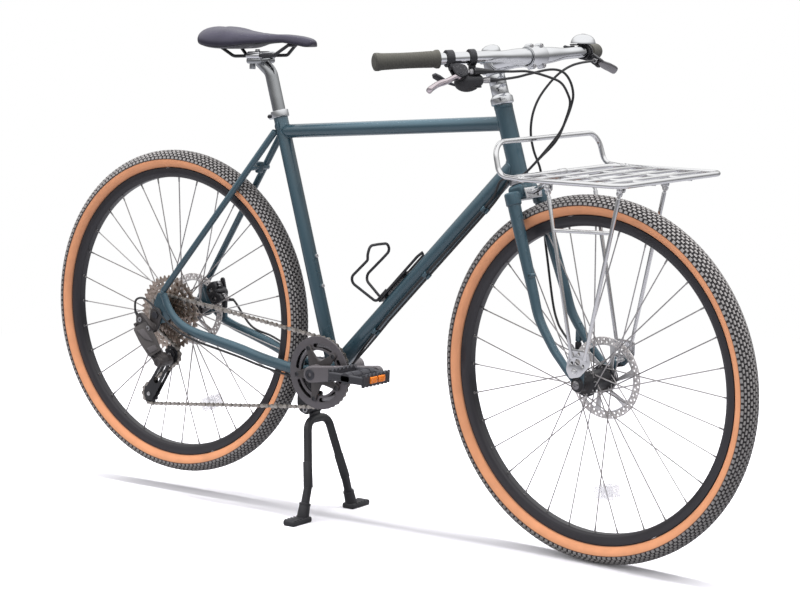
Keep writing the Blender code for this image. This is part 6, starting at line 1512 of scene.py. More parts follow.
@dataclass
class Headset:
    """Bearing cups, spacers, stem and top cap."""

    steerer: float = 0.0147
    cup: float = 0.02225
    spacer: float = 0.0168
    cup_top: float = 0.1658
    spacer_top: float = 0.2051
    stem_low: float = 0.2054
    stem_high: float = 0.2474
    clamp: float = 0.0195

    def build(self, shop: Workshop) -> None:
        """Builds the column from the lower cup to the cap.

        Args:
            shop: where the pieces are made.
        """
        r, b = self.cup, self.steerer
        low = 0.1448
        upper = [(b, self.cup_top), (self.spacer + 0.0006, self.cup_top), (r - 0.0045, low + 0.019),
                 (r - 0.001, low + 0.0156), (r - 0.001, low + 0.0149), (r, low + 0.0143),
                 (r, low + 0.003), (0.0182, low), (b, low)]
        shop.fit("upper_cup", Skin().add(turned(soften(upper, 0.0008, 4, True), STEER_FRAME, 64, True)),
                 Finishes.silver, "frame_body", Place.FRAME, "headset_cup_upper")
        lower = [(b, -0.0003), (0.0182, -0.0003), (r, -0.0033), (r, -0.0078), (r - 0.0008, -0.0082),
                 (r - 0.0008, -0.0088), (r, -0.0092), (r - 0.0006, -0.0115), (0.0192, -0.0125), (b, -0.0125)]
        shop.fit("lower_cup", Skin().add(turned(soften(lower, 0.0006, 4, True), STEER_FRAME, 64, True)),
                 Finishes.satin, "frame_body", Place.FRAME, "headset_cup_lower")
        seam = self.cup_top + 0.0003 + 0.039 * 0.47
        spacers = Skin()
        for a, z in ((self.cup_top + 0.0003, seam - 0.00015), (seam + 0.00015, self.spacer_top)):
            spacers.add(collar(steer_at(a), steer_at(z), self.spacer, b, 56, 0.0007))
        shop.fit("spacer_rings", spacers, Finishes.silver, "steering_body", Place.STEERING, "headset_spacers")
        self.stem(shop)
        base, rise = self.stem_high + 0.0003, 0.017
        cap = [(0.0, base + rise - 0.0032), (0.0036, base + rise - 0.0032), (0.0042, base + rise),
               (0.0085, base + rise - 0.0008), (0.0155, base + rise - 0.004), (0.0183, base + 0.0085),
               (0.019, base + 0.004), (0.019, base), (0.0, base)]
        shop.fit("stem_cap", Skin().add(turned(soften(cap, 0.0012, 4), STEER_FRAME, 56)), Finishes.silver,
                 "steering_body", Place.STEERING, "top_cap")
        skin = Skin().add(screw(STEER_FRAME @ shift((0, 0, base + rise - 0.0035)), 0.0034, 0.003))
        shop.fit("stem_cap_bolt", skin, Finishes.bolt, "steering_body", Place.STEERING)

    def stem(self, shop: Workshop) -> None:
        """Steerer clamp, extension and the four-bolt bar clamp.

        Args:
            shop: where the pieces are made.
        """
        middle = (self.stem_low + self.stem_high) / 2
        foot = steer_at(middle)
        ahead = unit(BAR_CENTRE - foot)
        skin = Skin()
        skin.add(collar(steer_at(self.stem_low), steer_at(self.stem_high), self.clamp, 0.0143, 64, 0.0016))
        reach = float(np.linalg.norm(BAR_CENTRE - foot))
        places = np.linspace(0.006, reach - 0.01, 24)
        share = (places - places[0]) / (places[-1] - places[0])
        radii = 0.0178 - 0.0022 * np.sin(share * math.pi) ** 2 - 0.0008 * share
        skin.add(tube(foot + ahead * places[:, None], radii, 48))
        skin.add(weld_bead(foot + ahead * 0.06, -ahead, 0.0176, foot, STEER_AXIS, self.clamp, 0.0022))
        skin.add(weld_bead(foot + ahead * 0.02, ahead, 0.0168, BAR_CENTRE, vec(0, 1, 0), 0.0205, 0.0018))
        barrel = vec(0.0, 0.023, 0.0)
        skin.add(collar(BAR_CENTRE - barrel, BAR_CENTRE + barrel, 0.0205, 0.0162, 64, 0.0018))
        frame_at = axes_at(BAR_CENTRE, (0.0, 1.0, 0.0), ahead)
        bolts = Skin()
        for up in (-1, 1):
            for side in (-1, 1):
                lug = [spot(frame_at, x, up * 0.0195, side * 0.0155) for x in (-0.004, 0.01)]
                skin.add(rod(lug[0], lug[1], 0.005, sides=28, edge=0.001))
                bolts.add(screw(axes_at(lug[1] - ahead * 0.0005, ahead, (0, 1, 0)), 0.0036, 0.0036))
        for height in (-0.011, 0.011):
            ends = [steer_at(middle + height, -self.clamp - 0.003, y) for y in (-0.008, 0.008)]
            skin.add(rod(ends[0], ends[1], 0.005, sides=28, edge=0.001))
            bolts.add(screw(sideways(ends[0] + vec(0, 0.0005, 0), -1), 0.0036, 0.003))
        shop.fit("stem_body", skin, Finishes.silver, "steering_body", Place.STEERING, "stem")
        shop.fit("stem_bolts", bolts, Finishes.satin, "steering_body", Place.STEERING)


@dataclass
class Cockpit:
    """Handlebar, grips, brake levers, shifter and bell."""

    bar: float = 0.0111
    bar_middle: float = 0.0159
    grip: float = 0.0155
    grip_length: float = 0.125
    shifter_at: float = 0.192
    bell_at: float = 0.178
    adjuster: tuple[float, ...] = (-0.025, -0.033, -0.04, -0.042)
    adjuster_ahead: float = 0.03
    cheek: Loop = (
        (0.0135, -0.006), (0.019, -0.025), (0.029, -0.0285), (0.039, -0.0255), (0.044, -0.015),
        (0.0425, -0.006), (0.036, -0.001), (0.02, 0.0035),
    )

    def build(self, shop: Workshop) -> None:
        """Builds everything along the bar.

        Args:
            shop: where the pieces are made.
        """
        self.handlebar(shop)
        for side, word in SIDES:
            self.grip_cover(shop, side, word)
            self.lever_body(shop, side, word)
            self.blade(shop, side, word)
        self.shifter(shop)
        self.paddle(shop)
        self.bell(shop)

    def handlebar(self, shop: Workshop) -> None:
        """The swept bar, fat at the clamp and tapered towards the grips.

        Args:
            shop: where the pieces are made.
        """
        bend = BAR_CENTRE + vec(0.0, 0.15, 0.004)
        outward = unit(BAR_END - bend)
        half = bent([BAR_CENTRE, bend, BAR_END - outward * 0.006], 0.075, 14)
        path = spaced(np.vstack([mirror(half[:0:-1], -1), half]), 180)
        share = np.clip((np.abs(path[:, 1]) - 0.038) / 0.07, 0.0, 1.0)
        radii = self.bar_middle + (self.bar - self.bar_middle) * share * share * (3 - 2 * share)
        shop.fit("bar_tube", Skin().add(tube(path, radii, 36)), Finishes.silver, "steering_body",
                 Place.STEERING, "handlebar")

    def grip_cover(self, shop: Workshop, side: float, word: str) -> None:
        """A rubber grip with rounded flanges and shallow rings.

        Args:
            shop: where the pieces are made.
            side: -1 for the right and 1 for the left.
            word: the side's name in the pieces' names.
        """
        r, long = self.grip, self.grip_length
        profile = [(0.0, 0.002), (0.012, 0.002), (r + 0.001, -0.0004), (r + 0.0013, -0.006),
                   (r + 0.0004, -0.011)]
        for k in range(22):
            z = -0.015 - k * 0.0045
            waist = r - 0.0008 * math.sin(min(1.0, k / 21) * math.pi)
            profile += [(waist, z), (waist, z - 0.0028), (waist - 0.00035, z - 0.0033),
                        (waist - 0.00035, z - 0.004)]
        profile += [(r, -long + 0.009), (r + 0.0018, -long + 0.0045), (r + 0.002, -long),
                    (self.bar + 0.0003, -long), (self.bar + 0.0003, -0.005), (0.0, -0.005)]
        shop.fit(f"{word}_grip_cover",
                 Skin().add(turned(soften(profile, 0.0006, 3), bar_frame(side, 0.0), 48)), Finishes.rubber,
                 "steering_body", Place.STEERING, f"grip_{word}")

    def clamp_ring(self, side: float, from_end: float, width: float, outer: float) -> Surface:
        """A ring that grips the bar."""
        base = bar_frame(side, from_end)
        return collar(spot(base, 0, 0, -width / 2), spot(base, 0, 0, width / 2), outer,
                      self.bar + 0.0003, 48, 0.0012)

    def lever_body(self, shop: Workshop, side: float, word: str) -> None:
        """Clamp, forked body, pivot screw and cable adjuster of one brake lever.

        Args:
            shop: where the pieces are made.
            side: -1 for the right and 1 for the left.
            word: the side's name in the pieces' names.
        """
        base = lever_frame(side)
        skin = Skin().add(self.clamp_ring(side, LEVER_FROM_END, 0.014, 0.016))
        for up in (-1, 1):
            tilt = base @ spin(math.pi / 2, "X") @ shift((0.0, 0.0, up * 0.0064))
            skin.add(plate(soften(self.cheek, 0.005, 6, True), 0.004, tilt, edge=0.0012, steps=3))
        skin.add(box((0.014, 0.015, 0.022), base @ shift((0.0225, 0.0, -0.015)), 0.005, 4))
        skin.add(box((0.012, 0.014, 0.012), base @ shift((0.018, 0.0, -0.001)), 0.003, 3))
        shop.fit(f"{word}_lever_body", skin, Finishes.black, "steering_body",
                 Place.STEERING, f"lever_mount_{word}")
        ends = [spot(base, self.adjuster_ahead, 0.0, z) for z in self.adjuster]
        barrel = Skin().add(rod(ends[0], ends[1], 0.003, sides=28))
        barrel.add(rod(ends[1], ends[2], 0.0048, 0.0042, 28))
        for k in range(12):
            x, y = polar(0.0045, k * math.pi / 6)
            rib = base @ shift((self.adjuster_ahead + x, y, -0.0365)) @ spin(k * math.pi / 6, "Z")
            barrel.add(box((0.0012, 0.0012, 0.006), rib, 0.0004, 1))
        barrel.add(rod(ends[2], ends[3], 0.0036, 0.0032, 28))
        barrel.add(screw(base @ shift((-0.0125, 0.0, 0.0)) @ spin(-math.pi / 2, "Y") @ shift((0, 0, 0.0022)),
                         0.0032, 0.0024))
        pin = Skin().add(screw(base @ spin(-math.pi / 2, "X") @ shift((0.037, 0.011, 0.0082)), 0.0036, 0.0018))
        shop.fit(f"{word}_lever_pin", pin, Finishes.bolt, "steering_body", Place.STEERING)
        shop.fit(f"{word}_lever_adjuster", barrel, Finishes.satin, "steering_body", Place.STEERING)

    def blade(self, shop: Workshop, side: float, word: str) -> None:
        """The lever blade, a flattened bar that swells to a hooked, rounded tip.

        Args:
            shop: where the pieces are made.
            side: -1 for the right and 1 for the left.
            word: the side's name in the pieces' names.
        """
        pivot, tip = vec(0.037, 0.0, -0.011), vec(0.068, 0.0, 0.056)
        route = [pivot, pivot + vec(0.004, 0, 0.012), pivot + vec(0.011, 0, 0.028),
                 pivot + vec(0.0155, 0, 0.045), pivot + vec(0.022, 0.0, 0.058), tip + vec(-0.001, 0.0, 0.003)]
        base = lever_frame(side)
        path = placed(flowing(route, 46), base)
        u = np.linspace(0.0, 1.0, 46)
        high = np.interp(u, [0, 0.15, 0.5, 0.9, 1.0], [0.0056, 0.0072, 0.0084, 0.0086, 0.0074])
        thick = np.interp(u, [0, 0.15, 0.5, 0.86, 1.0], [0.0048, 0.0044, 0.0044, 0.005, 0.0062])
        t = np.arange(24) * 2 * math.pi / 24
        ring = np.stack([np.sign(np.cos(t)) * np.abs(np.cos(t)) ** 0.7,
                         np.sign(np.sin(t)) * np.abs(np.sin(t)) ** 0.7], 1)
        close = np.sqrt(np.clip(1 - np.clip((u - 0.94) / 0.06, 0, 1) ** 2, 0.02, 1.0))
        sections = ring[None] * np.stack([high, thick], 1)[:, None] * close[:, None, None]
        skin = Skin().add(along(path, sections, hint=base[:3, 1]))
        up = base[:3, 1]
        middle = spot(base, *pivot)
        skin.add(rod(middle - up * 0.004, middle + up * 0.004, 0.0062, sides=36, edge=0.001))
        finish = Finishes.lever if side < 0 else Finishes.grey_edge
        shop.fit(f"{word}_lever_blade", skin, finish, f"{word}_lever_body", Place.STEERING,
                 f"brake_lever_{word}", crease=50.0)

    def shift_outlet(self) -> tuple[Array, Array]:
        """Where the shifter's cable adjuster starts and ends."""
        base = bar_frame(-1, self.shifter_at)
        return spot(base, 0.01, -0.042, -0.015), spot(base, 0.017, -0.042, -0.033)

    def shifter(self, shop: Workshop) -> None:
        """Clamp, neck, rounded pod and housing outlet of the gear shifter.

        Args:
            shop: where the pieces are made.
        """
        base = bar_frame(-1, self.shifter_at)
        skin = Skin().add(self.clamp_ring(-1, self.shifter_at, 0.012, 0.0158))
        skin.add(box((0.014, 0.02, 0.012), base @ shift((0.002, -0.0225, 0.0)), 0.004, 4))
        skin.add(box((0.036, 0.024, 0.046), base @ shift((0.006, -0.042, 0.0055)), 0.0115, 8))
        skin.add(box((0.026, 0.003, 0.034), base @ shift((0.006, -0.0535, 0.005)), 0.0012, 3))
        skin.add(box((0.03, 0.022, 0.036), base @ shift((0.004, -0.049, 0.009)), 0.0105, 7))
        bulb = [(0.0175 * math.sin(t), -0.025 * math.cos(t)) for t in np.linspace(0.0, math.pi, 19)]
        skin.add(turned(bulb, base @ shift((0.005, -0.0455, 0.012)), 48))
        foot, tip = self.shift_outlet()
        barrel = Skin().add(rod(foot, foot + (tip - foot) * 0.85, 0.0056, 0.005, 28, 0.0008))
        for k in range(12):
            rib = axes_at(foot + (tip - foot) * 0.55, tip - foot, (1, 0, 0)) @ spin(k * math.pi / 6, "Z")
            barrel.add(box((0.001, 0.001, 0.01), rib @ shift((0.0053, 0, 0)), 0.0003, 1))
        shop.fit("shifter_barrel", barrel, Finishes.satin, "steering_body", Place.STEERING)
        skin.add(rod(foot + (tip - foot) * 0.85, beyond(foot, tip, 0.01), 0.0048, 0.0032, 28, 0.0008))
        skin.add(screw(base @ shift((0.006, -0.0548, -0.0035)) @ spin(math.pi / 2, "X"), 0.004, 0.0012))
        shop.fit("shifter_pod", skin, Finishes.plastic, "steering_body", Place.STEERING, "shifter")

    def paddle(self, shop: Workshop) -> None:
        """The thumb paddle, a curved arm that ends in an ovoid pad.

        Args:
            shop: where the pieces are made.
        """
        base = bar_frame(-1, self.shifter_at)
        pivot = vec(-0.005, -0.0565, -0.002)
        route = [pivot, pivot + vec(-0.008, 0.0015, 0.018), pivot + vec(-0.017, 0.012, 0.044),
                 pivot + vec(-0.021, 0.026, 0.07)]
        path = placed(flowing(route, 40), base)
        u = np.linspace(0.0, 1.0, 40)
        size = np.interp(u, [0, 0.35, 0.62, 0.82, 0.95, 1.0], [0.0026, 0.0028, 0.005, 0.0086, 0.0078, 0.002])
        skin = Skin().add(tube(path, size, 24, flat=0.72, hint=base[:3, 0]))
        hub = [spot(base, *(pivot + vec(0, y, 0))) for y in (0.002, -0.0022)]
        skin.add(rod(hub[0], hub[1], 0.0072, sides=36, edge=0.0008))
        shop.fit("thumb_paddle", skin, Finishes.dark_plastic, "paddle_body", Place.STEERING,
                 "shift_paddle", crease=50.0)

    def bell(self, shop: Workshop) -> None:
        """Domed bell on its clamp and the sprung striker.

        Args:
            shop: where the pieces are made.
        """
        base = bar_frame(1, self.bell_at)
        sign = 1.0 if base[2, 1] > 0 else -1.0
        up = base @ spin(-math.pi / 2 * sign, "X")
        lift, r = 0.0165, 0.025
        dome = [(0.0, lift + 0.019), (0.006, lift + 0.0186), (0.013, lift + 0.0168), (0.0185, lift + 0.0135),
                (0.0222, lift + 0.009), (r - 0.0006, lift + 0.0035), (r, lift + 0.0004), (r - 0.0006, lift),
                (r - 0.0014, lift + 0.0004), (0.0212, lift + 0.0085), (0.012, lift + 0.015),
                (0.0, lift + 0.0168)]
        skin = Skin().add(turned(soften(dome, 0.0016, 4), up, 64))
        shop.fit("bell_dome", skin, Finishes.silver, "steering_body", Place.STEERING, "bell")
        mount = Skin().add(self.clamp_ring(1, self.bell_at, 0.011, 0.015))
        mount.add(box((0.02, 0.03, 0.003), up @ shift((0, 0, 0.015)), 0.0012, 3))
        mount.add(rod(spot(up, 0, 0, 0.0125), spot(up, 0, 0, lift + 0.016), 0.0045, sides=24))
        mount.add(box((0.032, 0.009, 0.0028), up @ shift((-0.012, 0.0125, 0.0137)), 0.0012, 3))
        shop.fit("bell_mount", mount, Finishes.plastic, "steering_body", Place.STEERING)
        pivot = vec(-0.023, 0.0125, 0.0122)
        striker = Skin().add(rod(spot(up, *(pivot - vec(0, 0, 0.006))), spot(up, *(pivot - vec(0, 0, 0.0003))),
                                 0.0045, sides=28))
        root = pivot - vec(0, 0, 0.0038)
        arm = [root, root + vec(-0.007, 0.0028, 0.0001), root + vec(-0.0135, 0.0056, 0.0003),
               root + vec(-0.019, 0.008, 0.0006)]
        sizes = np.interp(np.linspace(0, 1, 24), [0, 0.5, 0.85, 1.0], [0.0022, 0.0024, 0.0036, 0.0012])
        striker.add(tube(placed(flowing(arm, 24), up), sizes, 20))
        shop.fit("bell_thumb", striker, Finishes.plastic, "striker_body", Place.STEERING,
                 "bell_striker", crease=50.0)
        top = Skin().add(screw(up @ shift((0, 0, lift + 0.0184)), 0.0042, 0.0012, 0.4))
        shop.fit("bell_screw", top, Finishes.satin, "steering_body", Place.STEERING)


@dataclass
class Fork:
    """Steerer, crown with blade sockets, blades, tips and the front axle."""

    crown_height: float = -0.0258
    blade_top: float = 0.013
    blade_tip: float = 0.0075
    tip_y: float = 0.0528
    cap: Loop = ((0, 0), (0.0142, 0), (0.0142, 0.0026), (0.0134, 0.0034), (0.0128, 0.003), (0.012, 0.0036),
                 (0.0118, 0.0052), (0.0108, 0.006), (0.0094, 0.0062), (0.0092, 0.0072), (0.0, 0.0072),)
    cone: Loop = ((0, 0.007), (0.0088, 0.007), (0.0046, 0.0094), (0.0022, 0.0096),
                  (0.0018, 0.0084), (0.0, 0.0084))

    def build(self, shop: Workshop) -> None:
        """Builds the fork and its axle.

        Args:
            shop: where the pieces are made.
        """
        skin = Skin()
        skin.add(rod(steer_at(self.crown_height + 0.002), steer_at(0.2464), 0.0143, sides=32))
        crown = steer_at(self.crown_height, 0.002)
        tilt = shift(crown) @ spin(SIZE.head_angle - math.pi / 2, "Y")
        skin.add(box((0.038, 0.056, 0.025), tilt, 0.0085, 6))
        skin.add(box((0.03, 0.09, 0.0165), tilt @ shift((0.0, 0.0, -0.01)), 0.0065, 6))
        skin.add(turned(soften([(0.0, 0.014), (0.02, 0.0138), (0.0205, 0.01), (0.0215, 0.0),
                                (0.0, 0.0)], 0.001, 4), tilt, 48))
        for side in (-1.0, 1.0):
            self.blade(skin, side)
        skin.add(collar((0.415, -0.06, 0.55), (0.415, -0.044, 0.55), 0.0052, 0.0024, 28))
        skin.add(box((0.012, 0.008, 0.04), shift((0.456, 0.053, 0.433)), 0.0025, 3))
        shop.fit("fork_blades", skin, Finishes.paint, "steering_body", Place.STEERING, "fork")
        self.axle(shop)

    def blade(self, skin: Skin, side: float) -> None:
        """One tapered blade in its socket, its tip plate and its eyelet.

        Args:
            skin: what the surfaces are added to.
            side: -1 for the right and 1 for the left.
        """
        slope = math.tan(SIZE.head_angle)
        path = [(HEAD_BOTTOM[0] + (HEAD_BOTTOM[2] - z) / slope + ahead, z) for z, ahead in (
            (0.7, 0.005), (0.64, 0.006), (0.58, 0.007), (0.52, 0.009), (0.47, 0.011))]
        path += [(0.4665, 0.428), (0.48, 0.411), (0.494, 0.397), (0.511, 0.38), (0.524, 0.369)]
        route = [(x, side * (0.042 + 0.0155 * (0.7 - z) / 0.331), z) for x, z in path]
        line = flowing(route, 90)
        drop = np.clip((0.7 - line[:, 2]) / 0.331, 0.0, 1.0)
        skin.add(tube(line, self.blade_top + (self.blade_tip - self.blade_top) * drop**1.15, 36))
        rise = unit(line[0] - line[3])
        profile = [(0.0, 0.0), (0.0152, 0.0), (0.0152, 0.0215), (0.0128, 0.024), (0.0, 0.024)]
        skin.add(turned(soften(profile, 0.0014, 4), axes_at(line[5], rise, (0, 1, 0)), 40))
        skin.add(tube([line[5] - unit(line[5] - line[4]) * 0.001, line[5],
                       line[5] + unit(line[6] - line[5]) * 0.0014], [0.015, 0.015, 0.0136], 36))
        frame_at = upright(side * self.tip_y)
        axle = side_view(FRONT)
        hole = [circle(0.0052, 20, axle)]
        skin.add(plate(hull((0.518, 0.3735), 0.0085, axle, 0.0115), 0.005, frame_at, hole, 0.001, 2))
        skin.add(plate(hull(axle, 0.0115, (0.54, 0.385), 0.0065), 0.005, frame_at, hole, 0.001, 2))

    def axle(self, shop: Workshop) -> None:
        """Axle with a ringed cap at each end.

        Args:
            shop: where the pieces are made.
        """
        skin = Skin().add(rod(FRONT - vec(0, 0.058, 0), FRONT + vec(0, 0.058, 0), 0.0047))
        caps = Skin()
        for side in (-1, 1):
            at = sideways(FRONT + vec(0, side * 0.0556, 0), side)
            skin.add(turned(soften(self.cap, 0.0005, 3), at, 48))
            caps.add(turned(soften(self.cone, 0.0004, 3), at, 32))
        shop.fit("front_axle_ends", skin, Finishes.black, "steering_body", Place.STEERING, "front_axle")
        shop.fit("front_axle_caps", caps, Finishes.grey_edge, "steering_body", Place.STEERING)


@dataclass
class Rack:
    """The wire front rack, its hoop, struts, plates and crown bracket."""

    centre: tuple[float, float, float] = (0.567, 0.0, 0.7517)
    length: float = 0.252
    width: float = 0.3375
    rim: float = 0.005
    pitch: float = math.radians(1.8)
    strut_y: float = 0.07
    lug_places: tuple[tuple[float, float, float], ...] = ((-0.105, -0.016, 0.028), (0.06, -0.012, 0.022))
    bracket: tuple[float, float] = (0.54, 0.385)
    axle_plate: Loop = (
        (0.52, 0.385), (0.53, 0.37), (0.552, 0.376), (0.574, 0.4), (0.572, 0.428), (0.526, 0.428),
    )
    axle_plate_holes: tuple[tuple[float, tuple[float, float]], ...] = (
        (0.0062, (0.546, 0.404)), (0.0034, (0.5625, 0.414)), (0.0034, (0.5345, 0.418)),
        (0.003, (0.5485, 0.4205)), (0.003, (0.559, 0.3985)), (0.0032, (0.533, 0.401)),
    )

    @property
    def frame(self) -> Array:
        """The frame of its platform."""
        return shift(self.centre) @ spin(-self.pitch, "Y")

    def build(self, shop: Workshop) -> None:
        """Builds the platform and the two strut frames.

        Args:
            shop: where the pieces are made.
        """
        deck = self.frame
        half_width, half_length = self.width / 2, self.length / 2
        rim = [spot(deck, x, y, 0.0) for x, y in round_box(self.length, self.width, 0.026, 9)]
        skin = Skin().add(tube(rim, self.rim, 20, closed=True, hint=(0, 0, 1)))
        for i in range(4):
            x = -half_length + self.length * (i + 1) / 5
            skin.add(rod(spot(deck, x, -half_width, 0.0), spot(deck, x, half_width, 0.0), 0.0033, sides=16))
        for side in (-1, 1):
            y = side * (self.strut_y - 0.01)
            skin.add(rod(spot(deck, -half_length, y, -0.003),
                         spot(deck, half_length, y, -0.003), 0.004, sides=20))
            for x, drop, tall in self.lug_places:
                lug = deck @ shift((x, side * self.strut_y, drop))
                skin.add(plate(round_box(0.016, tall, 0.005), 0.003, lug @ SIDE_ON, edge=0.0006, steps=2))
                skin.add(box((0.014, 0.014, 0.004),
                             deck @ shift((x, side * (self.strut_y - 0.005), -0.004)), 0.0012))
                nut = lug @ shift((0, side * 0.0075, drop * 0.45)) @ spin(-side * math.pi / 2, "X")
                skin.add(screw(nut, 0.0048, 0.0032))
                skin.add(turned(soften([(0, -0.0012), (0.0062, -0.0012), (0.0062, 0),
                                        (0, 0)], 0.0003), nut, 24))
        hoop = [[spot(deck, *p) for p in ((-0.096, s * half_width, 0.0), (-0.146, s * half_width, 0.004),
                                          (-0.162, s * (half_width - 0.004), 0.064))] for s in (-1, 1)]
        skin.add(tube(bent([*hoop[0], *reversed(hoop[1])], [0.022, 0.032, 0.032, 0.022], 12), self.rim, 20))
        for side in (-1, 1):
            skin.add(rod(spot(deck, -0.1, side * half_width, 0.0), spot(deck, -0.088, side * half_width, 0.0),
                         0.0064, sides=24, dome=0.002))
        face = steer_at(-0.0258, 0.002) + vec(0.0202, 0.0, -0.001)
        tilt = shift(face + vec(0.003, 0, 0)) @ spin(SIZE.head_angle - math.pi / 2, "Y")
        skin.add(box((0.005, 0.05, 0.022), tilt, 0.002, 4))
        skin.add(rod(face + vec(0.003, 0, 0), spot(deck, -half_length, 0.0, -0.001), 0.006, sides=28))
        skin.add(rod(spot(deck, -half_length, -0.012, 0), spot(deck, -half_length, 0.012, 0),
                     0.0064, sides=28, dome=0.002))
        skin.add(turned([(0, 0), (0.0062, 0), (0.0062, 0.0055), (0.005, 0.0064), (0.0, 0.0064)],
                        axes_at(face + vec(0.004, 0.014, 0.0), (1, 0, -0.2), (0, 1, 0)), 6))
        shop.fit("rack_platform", skin, Finishes.wire, "steering_body", Place.STEERING, "rack_deck")
        for side, word in SIDES:
            self.strut(shop, side, word)

    def strut(self, shop: Workshop, side: int, word: str) -> None:
        """Two bars with flattened ends, their cross bar and the perforated plate by the axle.

        Args:
            shop: where the pieces are made.
            side: -1 for the right and 1 for the left.
            word: the side's name in the pieces' names.
        """
        y = side * (self.strut_y + 0.0051)
        tops = vec(0.464, y, 0.722), vec(0.627, y, 0.733)
        lows = vec(0.533, y, 0.408), vec(0.562, y, 0.408)
        skin = Skin()
        for top, low in zip(tops, lows):
            skin.add(rod(top + unit(low - top) * 0.012, low, 0.0041, 0.0036, 20, dome=0.002))
            flat = shift(top + unit(low - top) * 0.004) @ SIDE_ON
            skin.add(plate(circle(0.0066, 24), 0.003, flat, edge=0.0006, steps=2))
            skin.add(rod(top + unit(low - top) * 0.003, top + unit(low - top) * 0.02,
                         0.0024, 0.0041, 20, dome=0.001))
        cross = [t + (w - t) * 0.24 for t, w in zip(tops, lows)]
        skin.add(rod(cross[0], cross[1], 0.0038, sides=20))
        holes = [circle(radius, 20, centre) for radius, centre in self.axle_plate_holes]
        plate_y = side * (self.strut_y + 0.0038)
        skin.add(plate(soften(self.axle_plate, 0.005, 6, True), 0.003, upright(plate_y), holes, 0.0006, 2))
        x, z = self.bracket
        skin.add(rod((x, plate_y, z), (x, side * 0.0556, z), 0.005, sides=24))
        head = sideways((x, plate_y + side * 0.0015, z), side)
        skin.add(turned(soften([(0, 0), (0.0064, 0), (0.0064, 0.0012), (0, 0.0012)], 0.0003), head, 24))
        skin.add(screw(head @ shift((0, 0, 0.001)), 0.0046, 0.0034))
        shop.fit(f"{word}_rack_struts", skin, Finishes.wire, "steering_body",
                 Place.STEERING, f"rack_strut_{word}")


